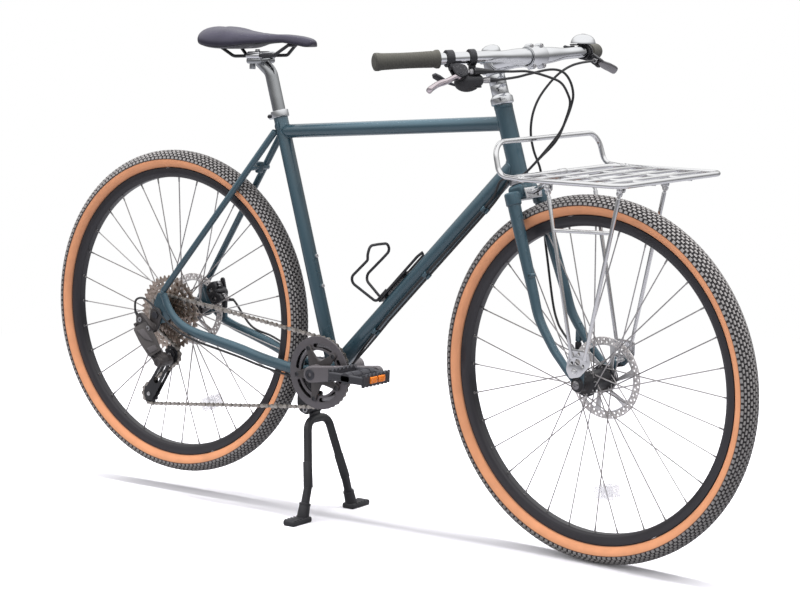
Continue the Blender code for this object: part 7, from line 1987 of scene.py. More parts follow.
@dataclass
class Wheel:
    """A wheel: tyre with knobs, rim, nipples, spokes, hub, brake disc and reflector."""

    word: str
    centre: Array
    place: Place
    hub_body: tuple[tuple[float, float], ...]
    flanges: tuple[tuple[float, float], ...]
    rotor_y: float
    reflector: float
    spokes: int = 32
    section_radius: float = 0.3345
    section_half: float = 0.0233
    section_rise: float = 0.019
    knob_height: float = 0.0025
    knob_pitches: int = 184
    knob_angles: tuple[float, ...] = (0.0, 14.5, -14.5, 29.0, -29.0, 43.5, -43.5, 58.0, -58.0, 74.0, -74.0)
    knob_half_lengths: tuple[float, ...] = (
        0.0049, 0.0046, 0.0046, 0.0043, 0.0043, 0.0044, 0.0044, 0.0043, 0.0043, 0.0042, 0.0042,
    )
    knob_half_widths: tuple[float, ...] = (
        0.0024, 0.0022, 0.0022, 0.0022, 0.0022, 0.0021, 0.0021, 0.0021, 0.0021, 0.003, 0.003,
    )
    knob_stagger: tuple[float, ...] = (0.0, 0.5, 0.5, 0.0, 0.0, 0.5, 0.5, 0.0, 0.0, 0.5, 0.5)
    disc_radius: float = 0.08
    disc_band: float = 0.066
    carrier_radius: float = 0.0668
    carrier_bore: float = 0.0215
    reflector_radius: float = 0.215
    rim_inner: float = 0.2965
    rim_outer: float = 0.317
    rim_half: float = 0.0135
    phase: float = -math.pi / 2 - SIZE.lift

    @property
    def body(self) -> str:
        """The body that it rides on."""
        return f"{self.word}_wheel_body"

    @property
    def frame(self) -> Array:
        """Its frame, Z along the axle to the left."""
        return shift(self.centre) @ ALONG_Y

    def build(self, shop: Workshop) -> None:
        """Builds the whole wheel.

        Args:
            shop: where the pieces are made.
        """
        self.casing(shop)
        self.tread(shop)
        self.rim(shop)
        self.lacing(shop)
        self.hub(shop)
        self.rotor(shop)
        self.clip_reflector(shop)

    def casing(self, shop: Workshop) -> None:
        """The tyre's casing: r = c + a sin p and y = b cos p over the section's angle p, with an inner wall.

        Args:
            shop: where the pieces are made.
        """
        p = np.radians(np.linspace(-65.0, 245.0, 56))
        outer = np.stack([self.section_radius + self.section_rise * np.sin(p),
                          self.section_half * np.cos(p)], 1)
        inner = np.stack([self.section_radius + (self.section_rise - 0.0022) * np.sin(p[::-1]),
                          (self.section_half - 0.0022) * np.cos(p[::-1])], 1)
        skin = Skin().add(turned(np.vstack([outer, inner]), self.frame, 224, True))
        shop.fit(f"{self.word}_tyre_casing", skin, Finishes.wall(self.centre), self.body, self.place,
                 f"{self.word}_tyre", crease=60.0)

    def tread(self, shop: Workshop) -> None:
        """Knobs in staggered rows: tapered blocks stood on the section, each along its own normal.

        A knob's corner lies at C(t, q) + h n(q) + b c(q) + a e(t), for its place t round the wheel and q
        across the section, its height h, its half width b and its half length a.

        Args:
            shop: where the pieces are made.
        """
        rows = np.radians(self.knob_angles)
        long, wide = np.array(self.knob_half_lengths), np.array(self.knob_half_widths)
        step = 2 * math.pi / self.knob_pitches
        shifted = np.array(self.knob_stagger) * step
        t = self.phase + np.arange(self.knob_pitches)[None] * step + shifted[:, None]
        normal = np.stack([np.cos(rows) / self.section_rise, np.sin(rows) / self.section_half], 1)
        normal = unit_rows(normal)
        radius = self.section_radius + self.section_rise * np.cos(rows)
        across = self.section_half * np.sin(rows)
        corner = np.array([(-1, -1), (1, -1), (1, 1), (-1, 1)] * 2, float)
        top = np.repeat([0.0, 1.0], 4)
        taper = np.where(top > 0, 0.8, 1.0)
        height = np.where(top > 0, self.knob_height, -0.0008)
        a = corner[:, 0] * taper * long[:, None]
        b = corner[:, 1] * taper * wide[:, None]
        r = radius[:, None] + normal[:, :1] * height - normal[:, 1:] * b
        y = across[:, None] + normal[:, 1:] * height + normal[:, :1] * b
        r, y, a = r[:, None], np.broadcast_to(y[:, None], (len(rows), self.knob_pitches, 8)), a[:, None]
        t = t[:, :, None]
        points = np.stack([r * np.cos(t) - a * np.sin(t), r * np.sin(t) + a * np.cos(t), y],
                          3).reshape(-1, 8, 3)
        block = [(0, 1, 2, 3), (4, 5, 6, 7), (0, 1, 5, 4), (1, 2, 6, 5), (2, 3, 7, 6), (3, 0, 4, 7)]
        faces = (np.arange(len(points))[:, None, None] * 8 + np.array(block)[None]).reshape(-1, 4)
        # Tone 1 marks the knobs' tops, which their finish paints greyer as wear and painted highlight.
        skin = Skin().add((placed(points.reshape(-1, 3), self.frame), faces), np.tile(top, len(points)))
        shop.fit(f"{self.word}_tyre_knobs", skin, Finishes.tread, self.body, self.place)

    def rim(self, shop: Workshop) -> None:
        """The double-wall rim with its bead hooks and brake-free sides.

        Args:
            shop: where the pieces are made.
        """
        lip, low, h = self.rim_outer, self.rim_inner, self.rim_half
        half = [(lip, h - 0.0028), (lip, h), (0.305, h - 0.0004), (0.304, h - 0.0009), (0.301, h - 0.0018),
                (low + 0.0018, h * 0.72), (low, h * 0.55)]
        section = half + [(r, -y) for r, y in reversed(half)] + [(0.311, -h + 0.0028), (0.311, h - 0.0028)]
        skin = Skin().add(turned(soften(section, 0.0007, 3, True), self.frame, 192, True))
        shop.fit(f"{self.word}_rim_hoop", skin, Finishes.rim, self.body, self.place, f"{self.word}_rim")

    def lacing(self, shop: Workshop) -> None:
        """Spokes laced tangentially from the flanges, each into a nipple in the rim.

        Args:
            shop: where the pieces are made.
        """
        wires, nipples = Skin(), Skin()
        for i in range(self.spokes):
            flange_y, flange_radius = self.flanges[i % 2]
            trailing = 1.0 if (i // 2) % 2 else -1.0
            angle = self.phase + i * 2 * math.pi / self.spokes
            root = polar(flange_radius, angle + math.radians(68.0) * trailing)
            offset = 0.0016 * trailing * (1 if flange_y > 0 else -1)
            tip = polar(self.rim_inner + 0.001, angle)
            start = spot(self.frame, *root, flange_y + offset)
            end = spot(self.frame, *tip, flange_y * 0.1 + offset * 0.2)
            elbow = spot(self.frame, *root, flange_y - offset * 1.6)
            wires.add(tube([elbow, start, start + (end - start) * 0.01, end], 0.0013, 8))
            wires.add(rod(elbow, elbow + (elbow - start) * 0.35, 0.0019, sides=10, edge=0.0003))
            nipples.add(rod(end, end + (start - end) * 0.042, 0.002, 0.0017, 10, 0.0003))
            nipples.add(rod(end, end + (start - end) * 0.006, 0.0032, 0.0026, 12, 0.0003))
        shop.fit(f"{self.word}_spokes", wires, Finishes.spoke, self.body, self.place)
        shop.fit(f"{self.word}_nipples", nipples, Finishes.nipple, self.body, self.place)

    def hub(self, shop: Workshop) -> None:
        """Turned hub shell with drilled flanges and end rings.

        Args:
            shop: where the pieces are made.
        """
        body = [(0.0053, self.hub_body[0][1]), *self.hub_body, (0.0053, self.hub_body[-1][1])]
        skin = Skin().add(turned(soften(body, 0.0016, 4, True), self.frame, 56, True))
        for flange_y, flange_radius in self.flanges:
            holes = [circle(0.015, 40)]
            holes += [circle(0.0025, 10, polar(flange_radius - 0.0052, (k + 0.5) * math.pi / 6))
                      for k in range(12)]
            at = self.frame @ shift((0.0, 0.0, flange_y))
            skin.add(plate(circle(flange_radius + 0.0045, 72), 0.003, at, holes, 0.0008, 2))
        for end in (-1, 1):
            y = self.hub_body[0 if end > 0 else -1][1]
            at = self.frame @ shift((0.0, 0.0, y - end * 0.0045))
            skin.add(turned(soften([(0.0053, -0.0018), (0.0122, -0.0018), (0.0122, 0.0018), (0.0053, 0.0018)],
                                   0.0007, 3, True), at, 40, True))
        shop.fit(f"{self.word}_hub_shell", skin, Finishes.black, self.body, self.place, f"{self.word}_hub")

    def rotor(self, shop: Workshop) -> None:
        """Brake disc: a drilled steel band on a carrier of slanted arms.

        Args:
            shop: where the pieces are made.
        """
        at = upright(self.rotor_y, self.centre)
        holes = [circle(self.disc_band, 96)]
        for k in range(36):
            holes.append(circle(0.0021, 10, polar(0.0698, k * math.pi / 18)))
            holes.append(circle(0.0021, 10, polar(0.0755, (k + 0.5) * math.pi / 18)))
        band = Skin().add(plate(circle(self.disc_radius, 144), 0.0018, at, holes, 0.0002))
        windows = [circle(self.carrier_bore, 40)]
        for i in range(6):
            start = 2 * math.pi * i / 6
            sweep = np.linspace(0.0, 1.0, 7)
            inner = [polar(0.027, a) for a in start + 0.12 + 0.8 * sweep]
            outer = [polar(0.064, a) for a in start + 1.24 - 0.84 * sweep]
            windows.append(soften(inner + outer, 0.003, 4, True))
        carrier = Skin().add(plate(circle(self.carrier_radius, 96), 0.0021, at, windows, 0.0004))
        for i in range(6):
            x, z = polar(0.025, i * math.pi / 3 + 0.3)
            carrier.add(screw(at @ shift((x, z, 0.001)), 0.0032, 0.0022))
        shop.fit(f"{self.word}_brake_disc", band, Finishes.rotor(self.centre), self.body,
                 self.place, f"{self.word}_rotor")
        shop.fit(f"{self.word}_disc_carrier", carrier, Finishes.carrier, self.body, self.place)

    def clip_reflector(self, shop: Workshop) -> None:
        """The clear reflector clipped between two spokes.

        Args:
            shop: where the pieces are made.
        """
        x, z = polar(self.reflector_radius, self.reflector)
        at = shift(self.centre + vec(x, 0.0, -z)) @ spin(self.reflector, "Y")
        skin = Skin().add(box((0.03, 0.023, 0.05), at, 0.005, 5))
        for side in (-1, 1):
            skin.add(box((0.026, 0.0016, 0.045), at @ shift((0, side * 0.0118, 0)), 0.0007, 3))
        shop.fit(f"{self.word}_wheel_reflector", skin, Finishes.clear, self.body, self.place)


@dataclass
class ChainPath:
    """The line that the chain follows, and where its pins lie on it."""

    links: int = 120
    ring_teeth: int = 36
    cog_teeth: tuple[int, ...] = (11, 13, 15, 18, 21, 24, 28, 34, 40)
    cog_in_use: int = 4
    pulley_teeth: int = 11

    @staticmethod
    def radius(teeth: int) -> float:
        """Pitch radius of a sprocket."""
        return PITCH / (2 * math.sin(math.pi / teeth))

    def circles(self) -> list[tuple[Array, float, int]]:
        """Centre, radius and turning sense of the sprockets in order.

        Returns:
            A centre in x and z, a radius and a sense for each.
        """
        pulley = self.radius(self.pulley_teeth)
        return [(side_view(BRACKET), self.radius(self.ring_teeth), 1),
                (side_view(REAR), self.radius(self.cog_teeth[self.cog_in_use]), 1),
                (side_view(GUIDE), pulley, -1), (side_view(TENSION), pulley, 1)]

    def line(self) -> tuple[Array, Array]:
        """Fine points of the closed line and the running length at each.

        Returns:
            The points and the running lengths.
        """
        wheels = self.circles()
        runs = []
        for (c1, r1, s1), (c2, r2, s2) in zip(wheels, wheels[1:] + wheels[:1]):
            gap = c2 - c1
            heading = math.atan2(gap[1], gap[0])
            normal = heading - math.pi / 2 + math.asin((s1 * r1 - s2 * r2) / np.linalg.norm(gap))
            out = vec(math.cos(normal), math.sin(normal))
            runs.append((c1 + out * r1 * s1, c2 + out * r2 * s2))
        found = []
        for i, (centre, radius, sense) in enumerate(wheels):
            start, end = runs[i - 1][1] - centre, runs[i][0] - centre
            first = math.atan2(start[1], start[0])
            sweep = (sense * (math.atan2(end[1], end[0]) - first)) % (2 * math.pi)
            t = np.linspace(0.0, 1.0, 90)
            a = first + sense * sweep * t
            found.append(centre + at_angles(radius, a))
            t = np.linspace(0.0, 1.0, 40)[1:-1, None]
            found.append(runs[i][0] * (1 - t) + runs[i][1] * t)
        line = np.vstack([*found, found[0][:1]])
        return line, running(line)

    def pins(self) -> Array:
        """Where the pins lie, in x and z.

        Returns:
            One point for each pin.
        """
        line, run = self.line()
        places = np.arange(self.links) * run[-1] / self.links
        return np.stack([np.interp(places, run, line[:, k]) for k in (0, 1)], 1)

    def phase(self, centre: Array) -> float:
        """The angle round a sprocket of the pin nearest to it.

        Args:
            centre: the sprocket's centre.

        Returns:
            The angle in radians.
        """
        offsets = self.pins() - side_view(centre)
        nearest = offsets[np.argmin(np.linalg.norm(offsets, axis=1) + 1e-4 * np.abs(offsets[:, 1]))]
        return math.atan2(nearest[1], nearest[0])

    def toothed(self, teeth: int, phase: float, tip: float = 0.0022) -> Array:
        """Outline of a sprocket with a gap at the phase angle: round roots and narrowed tips.

        Args:
            teeth: how many teeth it has.
            phase: the angle of one gap.
            tip: how far the tips stand past the pitch circle.

        Returns:
            Its points in order.
        """
        share = np.array([-0.42, -0.34, -0.27, -0.14, 0.0, 0.14, 0.27, 0.34, 0.42, 0.5])
        rise = np.array([tip - 0.0003, tip - 0.0012, -0.0006, -0.0035, -0.0042, -0.0035, -0.0006,
                         tip - 0.0012, tip - 0.0003, tip])
        angle = phase + (np.arange(teeth)[:, None] + share) * 2 * math.pi / teeth
        return at_angles(self.radius(teeth) + rise, angle).reshape(-1, 2)


@dataclass
class Drivetrain:
    """Chain, cassette, chainring with its guard, cranks and pedals."""

    chain: ChainPath = field(default_factory=ChainPath)
    cog_spacing: float = 0.004
    guard_radius: float = 0.0765
    guard_y: float = -0.052
    bolt_circle: float = 0.0555
    ring_bore: float = 0.0475
    spider_y: float = -0.05605
    crank_y: float = 0.069
    crank_thick: float = 0.014
    pedal_length: float = 0.09
    pedal_width: float = 0.092
    pedal_height: float = 0.026

    def build(self, shop: Workshop) -> None:
        """Builds the drive.

        Args:
            shop: where the pieces are made.
        """
        self.links(shop)
        self.cassette(shop)
        self.ring(shop)
        for side, word in SIDES:
            self.crank(shop, side, word)
        for side, word in SIDES:
            self.pedal(shop, side, word)

    def links(self, shop: Workshop) -> None:
        """Waisted side plates, inner and outer by turns, with rollers and pins.

        Args:
            shop: where the pieces are made.
        """
        pins = self.chain.pins()
        ahead = np.roll(pins, -1, 0) - pins
        long = float(np.mean(np.linalg.norm(ahead, axis=1)))
        angle = np.linspace(0.95, 2 * math.pi - 0.95, 9)
        left = at_angles(0.0043, angle)
        right = np.stack([long - left[::-1, 0], left[::-1, 1]], 1)
        outline = np.vstack([left, [(long / 2, -0.0021)], right, [(long / 2, 0.0021)]])
        side = plate(outline, 0.0009, np.eye(4), edge=0.00025)
        frames = [axes_at((p[0], CHAIN_Y, p[1]), (0.0, -1.0, 0.0), (a[0], 0.0, a[1])) for p,
                  a in zip(pins, ahead)]
        skin = Skin()
        # Tones for painted shade: the inner plates, between the outer ones, darker.
        for parity, gap, tone in ((0, 0.0015, 0.62), (1, 0.0025, 0.0)):
            for end in (-1, 1):
                skin.add(repeat(side, [m @ shift((0, 0, end * gap)) for m in frames[parity::2]]), tone)
        roller = turned([(0, -0.0012), (0.0037, -0.0012), (0.0038, -0.0009), (0.0038, 0.0009),
                         (0.0037, 0.0012), (0, 0.0012)], np.eye(4), 12)
        pin = turned([(0, -0.0031), (0.0015, -0.0031), (0.0018, -0.0028), (0.0018, 0.0028), (0.0015, 0.0031),
                      (0, 0.0031)], np.eye(4), 10)
        # Painted shade: the rollers, deep between the plates, darkest; the pin ends hardly shaded.
        skin.add(repeat(roller, frames), 0.95)
        skin.add(repeat(pin, frames), 0.1)
        shop.fit("chain_links", skin, Finishes.link(REAR), "frame_body", Place.FRAME, "chain")

    def cassette(self, shop: Workshop) -> None:
        """Nine toothed sprockets on their carrier, the larger ones opened between their arms.

        Args:
            shop: where the pieces are made.
        """
        skin = Skin()
        phase = self.chain.phase(REAR)
        for index, teeth in enumerate(self.chain.cog_teeth):
            y = CHAIN_Y + (index - self.chain.cog_in_use) * self.cog_spacing
            edge = self.chain.radius(teeth) - 0.0062
            holes = [circle(0.014, 40)]
            if edge > 0.058:
                for i in range(5):
                    start = 2 * math.pi * i / 5
                    sweep = np.linspace(0.0, 1.0, 8)
                    rim = [polar(edge - 0.0055, a) for a in start + 1.12 - sweep]
                    root = [polar(0.031, a) for a in start + 0.24 + 0.76 * sweep]
                    holes.append(soften(root + rim, 0.0025, 4, True))
            at = upright(y, REAR)
            # Tone for painted shade: the cogs darker towards the small ones in the middle.
            skin.add(plate(self.chain.toothed(teeth, phase), 0.0017, at, holes, 0.0003),
                     0.18 + 0.05 * (8 - index))
        low, top = CHAIN_Y - 4 * self.cog_spacing, CHAIN_Y + 4 * self.cog_spacing
        # The carrier collars deep in the middle get a high tone: painted shade.
        skin.add(collar((REAR[0], low - 0.0022, REAR[2]), (REAR[0], CHAIN_Y, REAR[2]), 0.0162, 0.0136, 48), 0.7)
        skin.add(collar((REAR[0], CHAIN_Y - 0.0003, REAR[2]), (REAR[0], top + 0.0013, REAR[2]), 0.025,
                        0.0136, 48), 0.7)
        shop.fit("cassette_sprockets", skin, Finishes.cog(REAR), "cassette_body", Place.FRAME, "cassette")

    @staticmethod
    def crank_angle(side: float) -> float:
        """Angle of a crank from forward."""
        return CRANK_ANGLE if side < 0 else CRANK_ANGLE + math.pi

    def spider_angle(self, index: int) -> float:
        """Angle of a spider arm from forward."""
        return CRANK_ANGLE + math.pi / 5 + 2 * math.pi * index / 5

    def ring(self, shop: Workshop) -> None:
        """The toothed ring behind the slotted guard, with the hollow bolts that join them.

        Args:
            shop: where the pieces are made.
        """
        window = circle(self.ring_bore, 80)
        teeth = self.chain.toothed(self.chain.ring_teeth, self.chain.phase(BRACKET))
        ring = Skin().add(plate(teeth, 0.0018, upright(CHAIN_Y, BRACKET), [window], 0.0003))
        shop.fit("chainring_teeth", ring, Finishes.grey_edge, "crank_body", Place.FRAME)
        holes, bolts = [window], Skin()
        for i in range(5):
            angle = self.spider_angle(i)
            holes.append(arc_slot(0.057, 0.0042, angle + math.pi / 5, math.radians(21)))
            bolt = round_point(BRACKET, self.bolt_circle, angle, self.guard_y)
            at = sideways(bolt, -1)
            bolts.add(turned(soften([(0.0, 0.0), (0.0052, 0.0), (0.0052, 0.0066), (0.0044, 0.0074),
                                     (0.0034, 0.0074), (0.0034, 0.001), (0.0, 0.001)], 0.0004, 3), at, 28))
            bolts.add(rod((bolt[0], CHAIN_Y + 0.0016, bolt[2]), bolt, 0.0048))
        guard = Skin()
        guard.add(plate(circle(self.guard_radius, 160), 0.003,
                        upright(self.guard_y, BRACKET), holes, 0.0009, 3))
        shop.fit("chain_guard", guard, Finishes.grey, "crank_body", Place.FRAME, "chainring")
        shop.fit("chainring_bolts", bolts, Finishes.bolt, "crank_body", Place.FRAME)

    def crank(self, shop: Workshop, side: int, word: str) -> None:
        """One crank arm with its boss and pedal axle, and the spider or the pinch bolts.

        Args:
            shop: where the pieces are made.
            side: -1 for the right and 1 for the left.
            word: the side's name in the pieces' names.
        """
        angle = self.crank_angle(side)
        y = side * (self.crank_y + self.crank_thick / 2)
        at = upright(y, BRACKET)
        face = self.crank_y + self.crank_thick
        skin = Skin().add(plate(hull((0, 0), 0.0175, polar(CRANK_LENGTH, angle), 0.0125, 28), self.crank_thick,
                                at, edge=0.0034, steps=4))
        end = round_point(BRACKET, CRANK_LENGTH, angle, side * face)
        skin.add(rod(end - vec(0, side * 0.004, 0), end + vec(0, side * 0.092, 0), 0.0045, sides=28))
        skin.add(rod(end, end + vec(0, side * 0.0045, 0), 0.0078, 0.0074, 6))
        centre = vec(BRACKET[0], 0.0, BRACKET[2])
        bolts = Skin()
        if side < 0:
            star = []
            for i in range(5):
                a = self.spider_angle(i)
                star += [polar(0.0245, a - math.pi / 5), polar(0.05, a - 0.13), polar(0.0615, a - 0.1),
                         polar(0.0615, a + 0.1), polar(0.05, a + 0.13)]
            spider = Skin().add(plate(soften(star, 0.006, 5, True), 0.0045,
                                      upright(self.spider_y, BRACKET), edge=0.0012, steps=3))
            # Black plugs sunk in the hollow chainring bolts: painted shade in the bolt holes.
            socket_shade_plugs = Skin()
            for i in range(5):
                arm = self.spider_angle(i)
                ends = [round_point(BRACKET, self.bolt_circle, arm, y) for y in (-0.056, -0.0586)]
                socket_shade_plugs.add(rod(ends[0], ends[1], 0.0036, sides=24))
            shop.fit("spider_socket_shade", socket_shade_plugs, Finishes.black, "crank_body", Place.FRAME)
            shop.fit("crank_spider", spider, Finishes.mech, "crank_body", Place.FRAME)
            skin.add(rod(centre - vec(0, 0.0425, 0), centre - vec(0, 0.071, 0), 0.019, 0.0182, 48, 0.0015))
            skin.add(rod(centre + vec(0, 0.0687, 0), centre - vec(0, 0.0385, 0), 0.0085, sides=32))
            cap = sideways(centre - vec(0, face - 0.0015, 0), -1)
            bolts.add(turned(soften([(0.0, 0.0), (0.0118, 0.0), (0.0118, 0.0022), (0.0105, 0.0032),
                                     (0.0042, 0.0032), (0.0042, -0.002), (0.0, -0.002)], 0.0005, 3), cap, 40))
        else:
            skin.add(collar(centre + vec(0, 0.0425, 0), centre + vec(0, 0.07, 0), 0.0175, 0.009, 48))
            for reach in (0.018, 0.03):
                pinch = round_point(BRACKET, reach, angle + 0.62 * 0.0175 / reach, side * (face - 0.001))
                bolts.add(screw(sideways(pinch, 1), 0.0036, 0.0024))
        shop.fit(f"{word}_crank_arm", skin, Finishes.arm, "crank_body", Place.FRAME, f"crank_{word}")
        shop.fit(f"{word}_crank_bolts", bolts, Finishes.bolt, "crank_body", Place.FRAME)

    def pedal(self, shop: Workshop, side: int, word: str) -> None:
        """Platform pedal: serrated front and rear plates, end bars, a barrel and amber reflectors.

        Args:
            shop: where the pieces are made.
            side: -1 for the right and 1 for the left.
            word: the side's name in the pieces' names.
        """
        inner = side * (self.crank_y + self.crank_thick + 0.008)
        start = round_point(BRACKET, CRANK_LENGTH, self.crank_angle(side), inner)
        centre = start + vec(0.0, side * self.pedal_width / 2, 0.0)
        reach = vec(0.0, self.pedal_width / 2, 0.0)
        skin = Skin().add(rod(centre - reach, centre + reach, 0.0118, 0.0108, 36, 0.0012))
        for k in (-0.6, 0.0, 0.6):
            skin.add(rod(centre + reach * k - vec(0, 0.0015, 0), centre + reach * k + vec(0, 0.0015, 0),
                         0.0128, sides=36, edge=0.0008))
        width = self.pedal_width - 0.006
        teeth = np.arange(29)
        saw = np.where(teeth % 4 < 2, 0.0, 0.0042)
        upper = np.stack([-width / 2 + width * teeth / 28, self.pedal_height / 2 - saw], 1)
        outline = np.vstack([upper, upper[::-1] * vec(1.0, -1.0)])
        across = np.array([[0, 0, 1, 0], [1, 0, 0, 0], [0, 1, 0, 0], [0, 0, 0, 1.0]])
        lamps = Skin()
        for end in (-1, 1):
            rail = shift(centre + vec(end * (self.pedal_length / 2 - 0.003), 0, 0)) @ across
            skin.add(plate(outline, 0.006, rail, edge=0.0007, steps=2))
            y = end * (self.pedal_width / 2 - 0.0045)
            skin.add(box((self.pedal_length - 0.004, 0.009, 0.016), shift(centre + vec(0, y, 0)), 0.0025, 3))
            skin.add(box((0.003, self.pedal_width - 0.012, 0.01),
                         shift(centre + vec(end * 0.023, 0, 0)), 0.001, 2))
            for half in (-1, 1):
                at = shift(centre + vec(end * (self.pedal_length / 2 + 0.0005), half * 0.0128, 0))
                lamps.add(box((0.006, 0.0212, 0.013), at, 0.0012, 3))
        body = f"{word}_pedal_body"
        shop.fit(f"{word}_pedal_cage", skin, Finishes.dark_plastic, body, Place.FRAME, f"pedal_{word}")
        shop.fit(f"{word}_pedal_reflectors", lamps, Finishes.amber, body, Place.FRAME)


@dataclass
class RearMech:
    """The rear derailleur: upper body, link, knuckle, cage and jockey wheels."""

    top: tuple[float, float, float] = (-0.564, -0.086, 0.325)
    low: tuple[float, float, float] = (-0.523, -0.084, 0.273)
    slant: float = 1.1
    pin_half: float = 0.0135
    crown: Loop = (
        (-0.553, 0.319), (-0.531, 0.329), (-0.54, 0.34), (-0.556, 0.352), (-0.568, 0.36), (-0.579, 0.352),
        (-0.58, 0.338), (-0.573, 0.323),
    )
    cage_pivot: tuple[float, float, float] = (-0.508, 0.0, 0.258)
    stop: tuple[tuple[float, float, float], ...] = ((-0.569, -0.084, 0.333), (-0.578, -0.087, 0.35))

    @property
    def link(self) -> Array:
        """Direction from the upper pin to the lower one."""
        return unit(vec(*self.low) - vec(*self.top))

    @property
    def swing(self) -> Array:
        """Direction of the pins."""
        return unit(np.cross(self.link, vec(0.0, 1.0, -self.slant)))

    def ears(self, skin: Skin, frame_at: Array, reach: float, inboard: float) -> None:
        """The two rounded ears that hold a link's pin.

        Args:
            skin: what the surfaces are added to.
            frame_at: the pin's frame.
            reach: how far the ears stand from the pin.
            inboard: how far they stand inboard of it.
        """
        for end in (-1, 1):
            at = frame_at @ shift((reach, inboard, end * 0.01135))
            skin.add(plate(round_box(0.024, 0.015, 0.0055), 0.0045, at, edge=0.001, steps=3))

    def pin_heads(self, skin: Skin, frame_at: Array) -> None:
        """The heads at both ends of a link's pin."""
        for end, turn in ((-1, math.pi), (1, 0.0)):
            skin.add(screw(frame_at @ shift((0, 0, end * self.pin_half)) @ spin(turn, "X"), 0.0036, 0.0016))

    def build(self, shop: Workshop) -> None:
        """Builds the mech from the hanger down.

        Args:
            shop: where the pieces are made.
        """
        upper = axes_at(self.top, self.swing, self.link)
        lower = axes_at(self.low, self.swing, self.link)
        body, rings = Skin(), Skin()
        body.add(rod(HANGER, HANGER - vec(0, 0.019, 0), 0.0092, 0.0086, 40, 0.0012))
        claw = hull(side_view(REAR), 0.0165, side_view(HANGER), 0.012)
        body.add(plate(claw, 0.0042, upright(-0.0752), edge=0.0012, steps=3))
        body.add(plate(soften(self.crown, 0.006, 6, True), 0.012, upright(-0.086), edge=0.0028, steps=4))
        for x, z in (side_view(HANGER), (-0.5655, 0.344)):
            face = vec(x, -0.0915, z)
            rings.add(collar(face, face - vec(0, 0.0034, 0), 0.0056, 0.0024, 40, 0.0007))
            body.add(rod(face, face - vec(0, 0.002, 0), 0.0026, sides=20))
        arm = hull(side_view(HANGER), 0.0105, (-0.568, 0.332), 0.0115)
        body.add(plate(arm, 0.0062, upright(HANGER[1] - 0.0032), edge=0.0018, steps=3))
        self.ears(body, upper, -0.005, 0.003)
        body.add(box((0.0065, 0.013, 0.0272), upper @ shift((-0.014, 0.002, 0.0)), 0.0022, 3))
        body.add(rod(self.stop[0], self.stop[1], 0.0062, 0.0044, 32, 0.0008))
        self.pin_heads(rings, upper)
        shop.fit("mech_upper", body, Finishes.mech, "frame_body", Place.FRAME, "mech_bracket")
        shop.fit("mech_upper_bolts", rings, Finishes.satin, "frame_body", Place.FRAME)
        long = float(np.linalg.norm(vec(*self.low) - vec(*self.top)))
        outline = hull((0, 0), 0.01, (long, 0), 0.009, 16)
        link = Skin().add(plate(outline, 0.0168, upper, edge=0.0024, steps=4))
        wedge = [(-0.004, -0.0125), (long * 0.55, -0.015), (long + 0.005, -0.0095),
                 (long + 0.002, 0.006), (0.0, 0.008)]
        link.add(plate(soften(wedge, 0.005, 6, True), 0.012, upper, edge=0.0026, steps=4))
        cover = [(-0.004, -0.0175), (-0.005, 0.015), (long * 0.45, 0.0185), (long + 0.003, 0.015),
                 (long + 0.004, -0.016), (long * 0.45, -0.019)]
        outside = upper @ spin(math.pi / 2, "X")
        link.add(plate(soften(cover, 0.006, 6, True), 0.0046,
                       outside @ shift((0, 0, 0.015)), edge=0.0018, steps=4))
        # The raised facets take the lighter mech finish: a painted highlight on the link.
        facets = Skin().add(plate(soften([(0.004, -0.013), (0.008, 0.004), (long * 0.7, 0.009),
                                          (long * 0.45, -0.006)], 0.003, 5, True), 0.003,
                                  outside @ shift((0, 0, 0.0178)), edge=0.0013, steps=3))
        facets.add(plate(soften([(long * 0.74, -0.0125), (long * 0.78, 0.0095), (long * 0.98, 0.0085),
                                 (long * 0.96, -0.011)], 0.003, 5, True), 0.0026,
                         outside @ shift((0, 0, 0.0176)), edge=0.0011, steps=3))
        shop.fit("mech_link_highlights", facets, Finishes.mech_light, "mech_link_body", Place.FRAME)
        for x in (0.3, 0.62):
            link.add(box((0.003, 0.003, 0.0126), upper @ shift((long * x, -0.012, 0)), 0.001, 2))
        shop.fit("mech_link", link, Finishes.mech, "mech_link_body", Place.FRAME, "mech_outer_link")
        knuckle, caps = Skin(), Skin()
        self.ears(knuckle, lower, 0.004, 0.0)
        knuckle.add(box((0.0085, 0.015, 0.027), lower @ shift((0.012, 0, 0)), 0.0026, 3))
        pivot = vec(*self.cage_pivot)
        knuckle.add(rod(pivot + vec(0, -0.0585, 0), pivot + vec(0, -0.0965, 0), 0.012, 0.0112, 48, 0.0018))
        knuckle.add(rod(pivot + vec(-0.004, -0.07, 0.004), pivot + vec(-0.004, -0.093, 0.004),
                        0.0155, 0.014, 48, 0.004))
        knuckle.add(turned(soften([(0, 0), (0.0098, 0), (0.0098, 0.0018), (0.0086, 0.0026), (0.004, 0.0026),
                                   (0.0036, 0.001), (0, 0.001)], 0.0004, 3),
                           sideways(pivot + vec(0, -0.0963, 0), -1), 40))
        self.pin_heads(caps, lower)
        shop.fit("mech_lower", knuckle, Finishes.mech, "mech_knuckle_body", Place.FRAME, "mech_knuckle")
        shop.fit("mech_lower_caps", caps, Finishes.satin, "mech_knuckle_body", Place.FRAME)
        self.cage(shop)

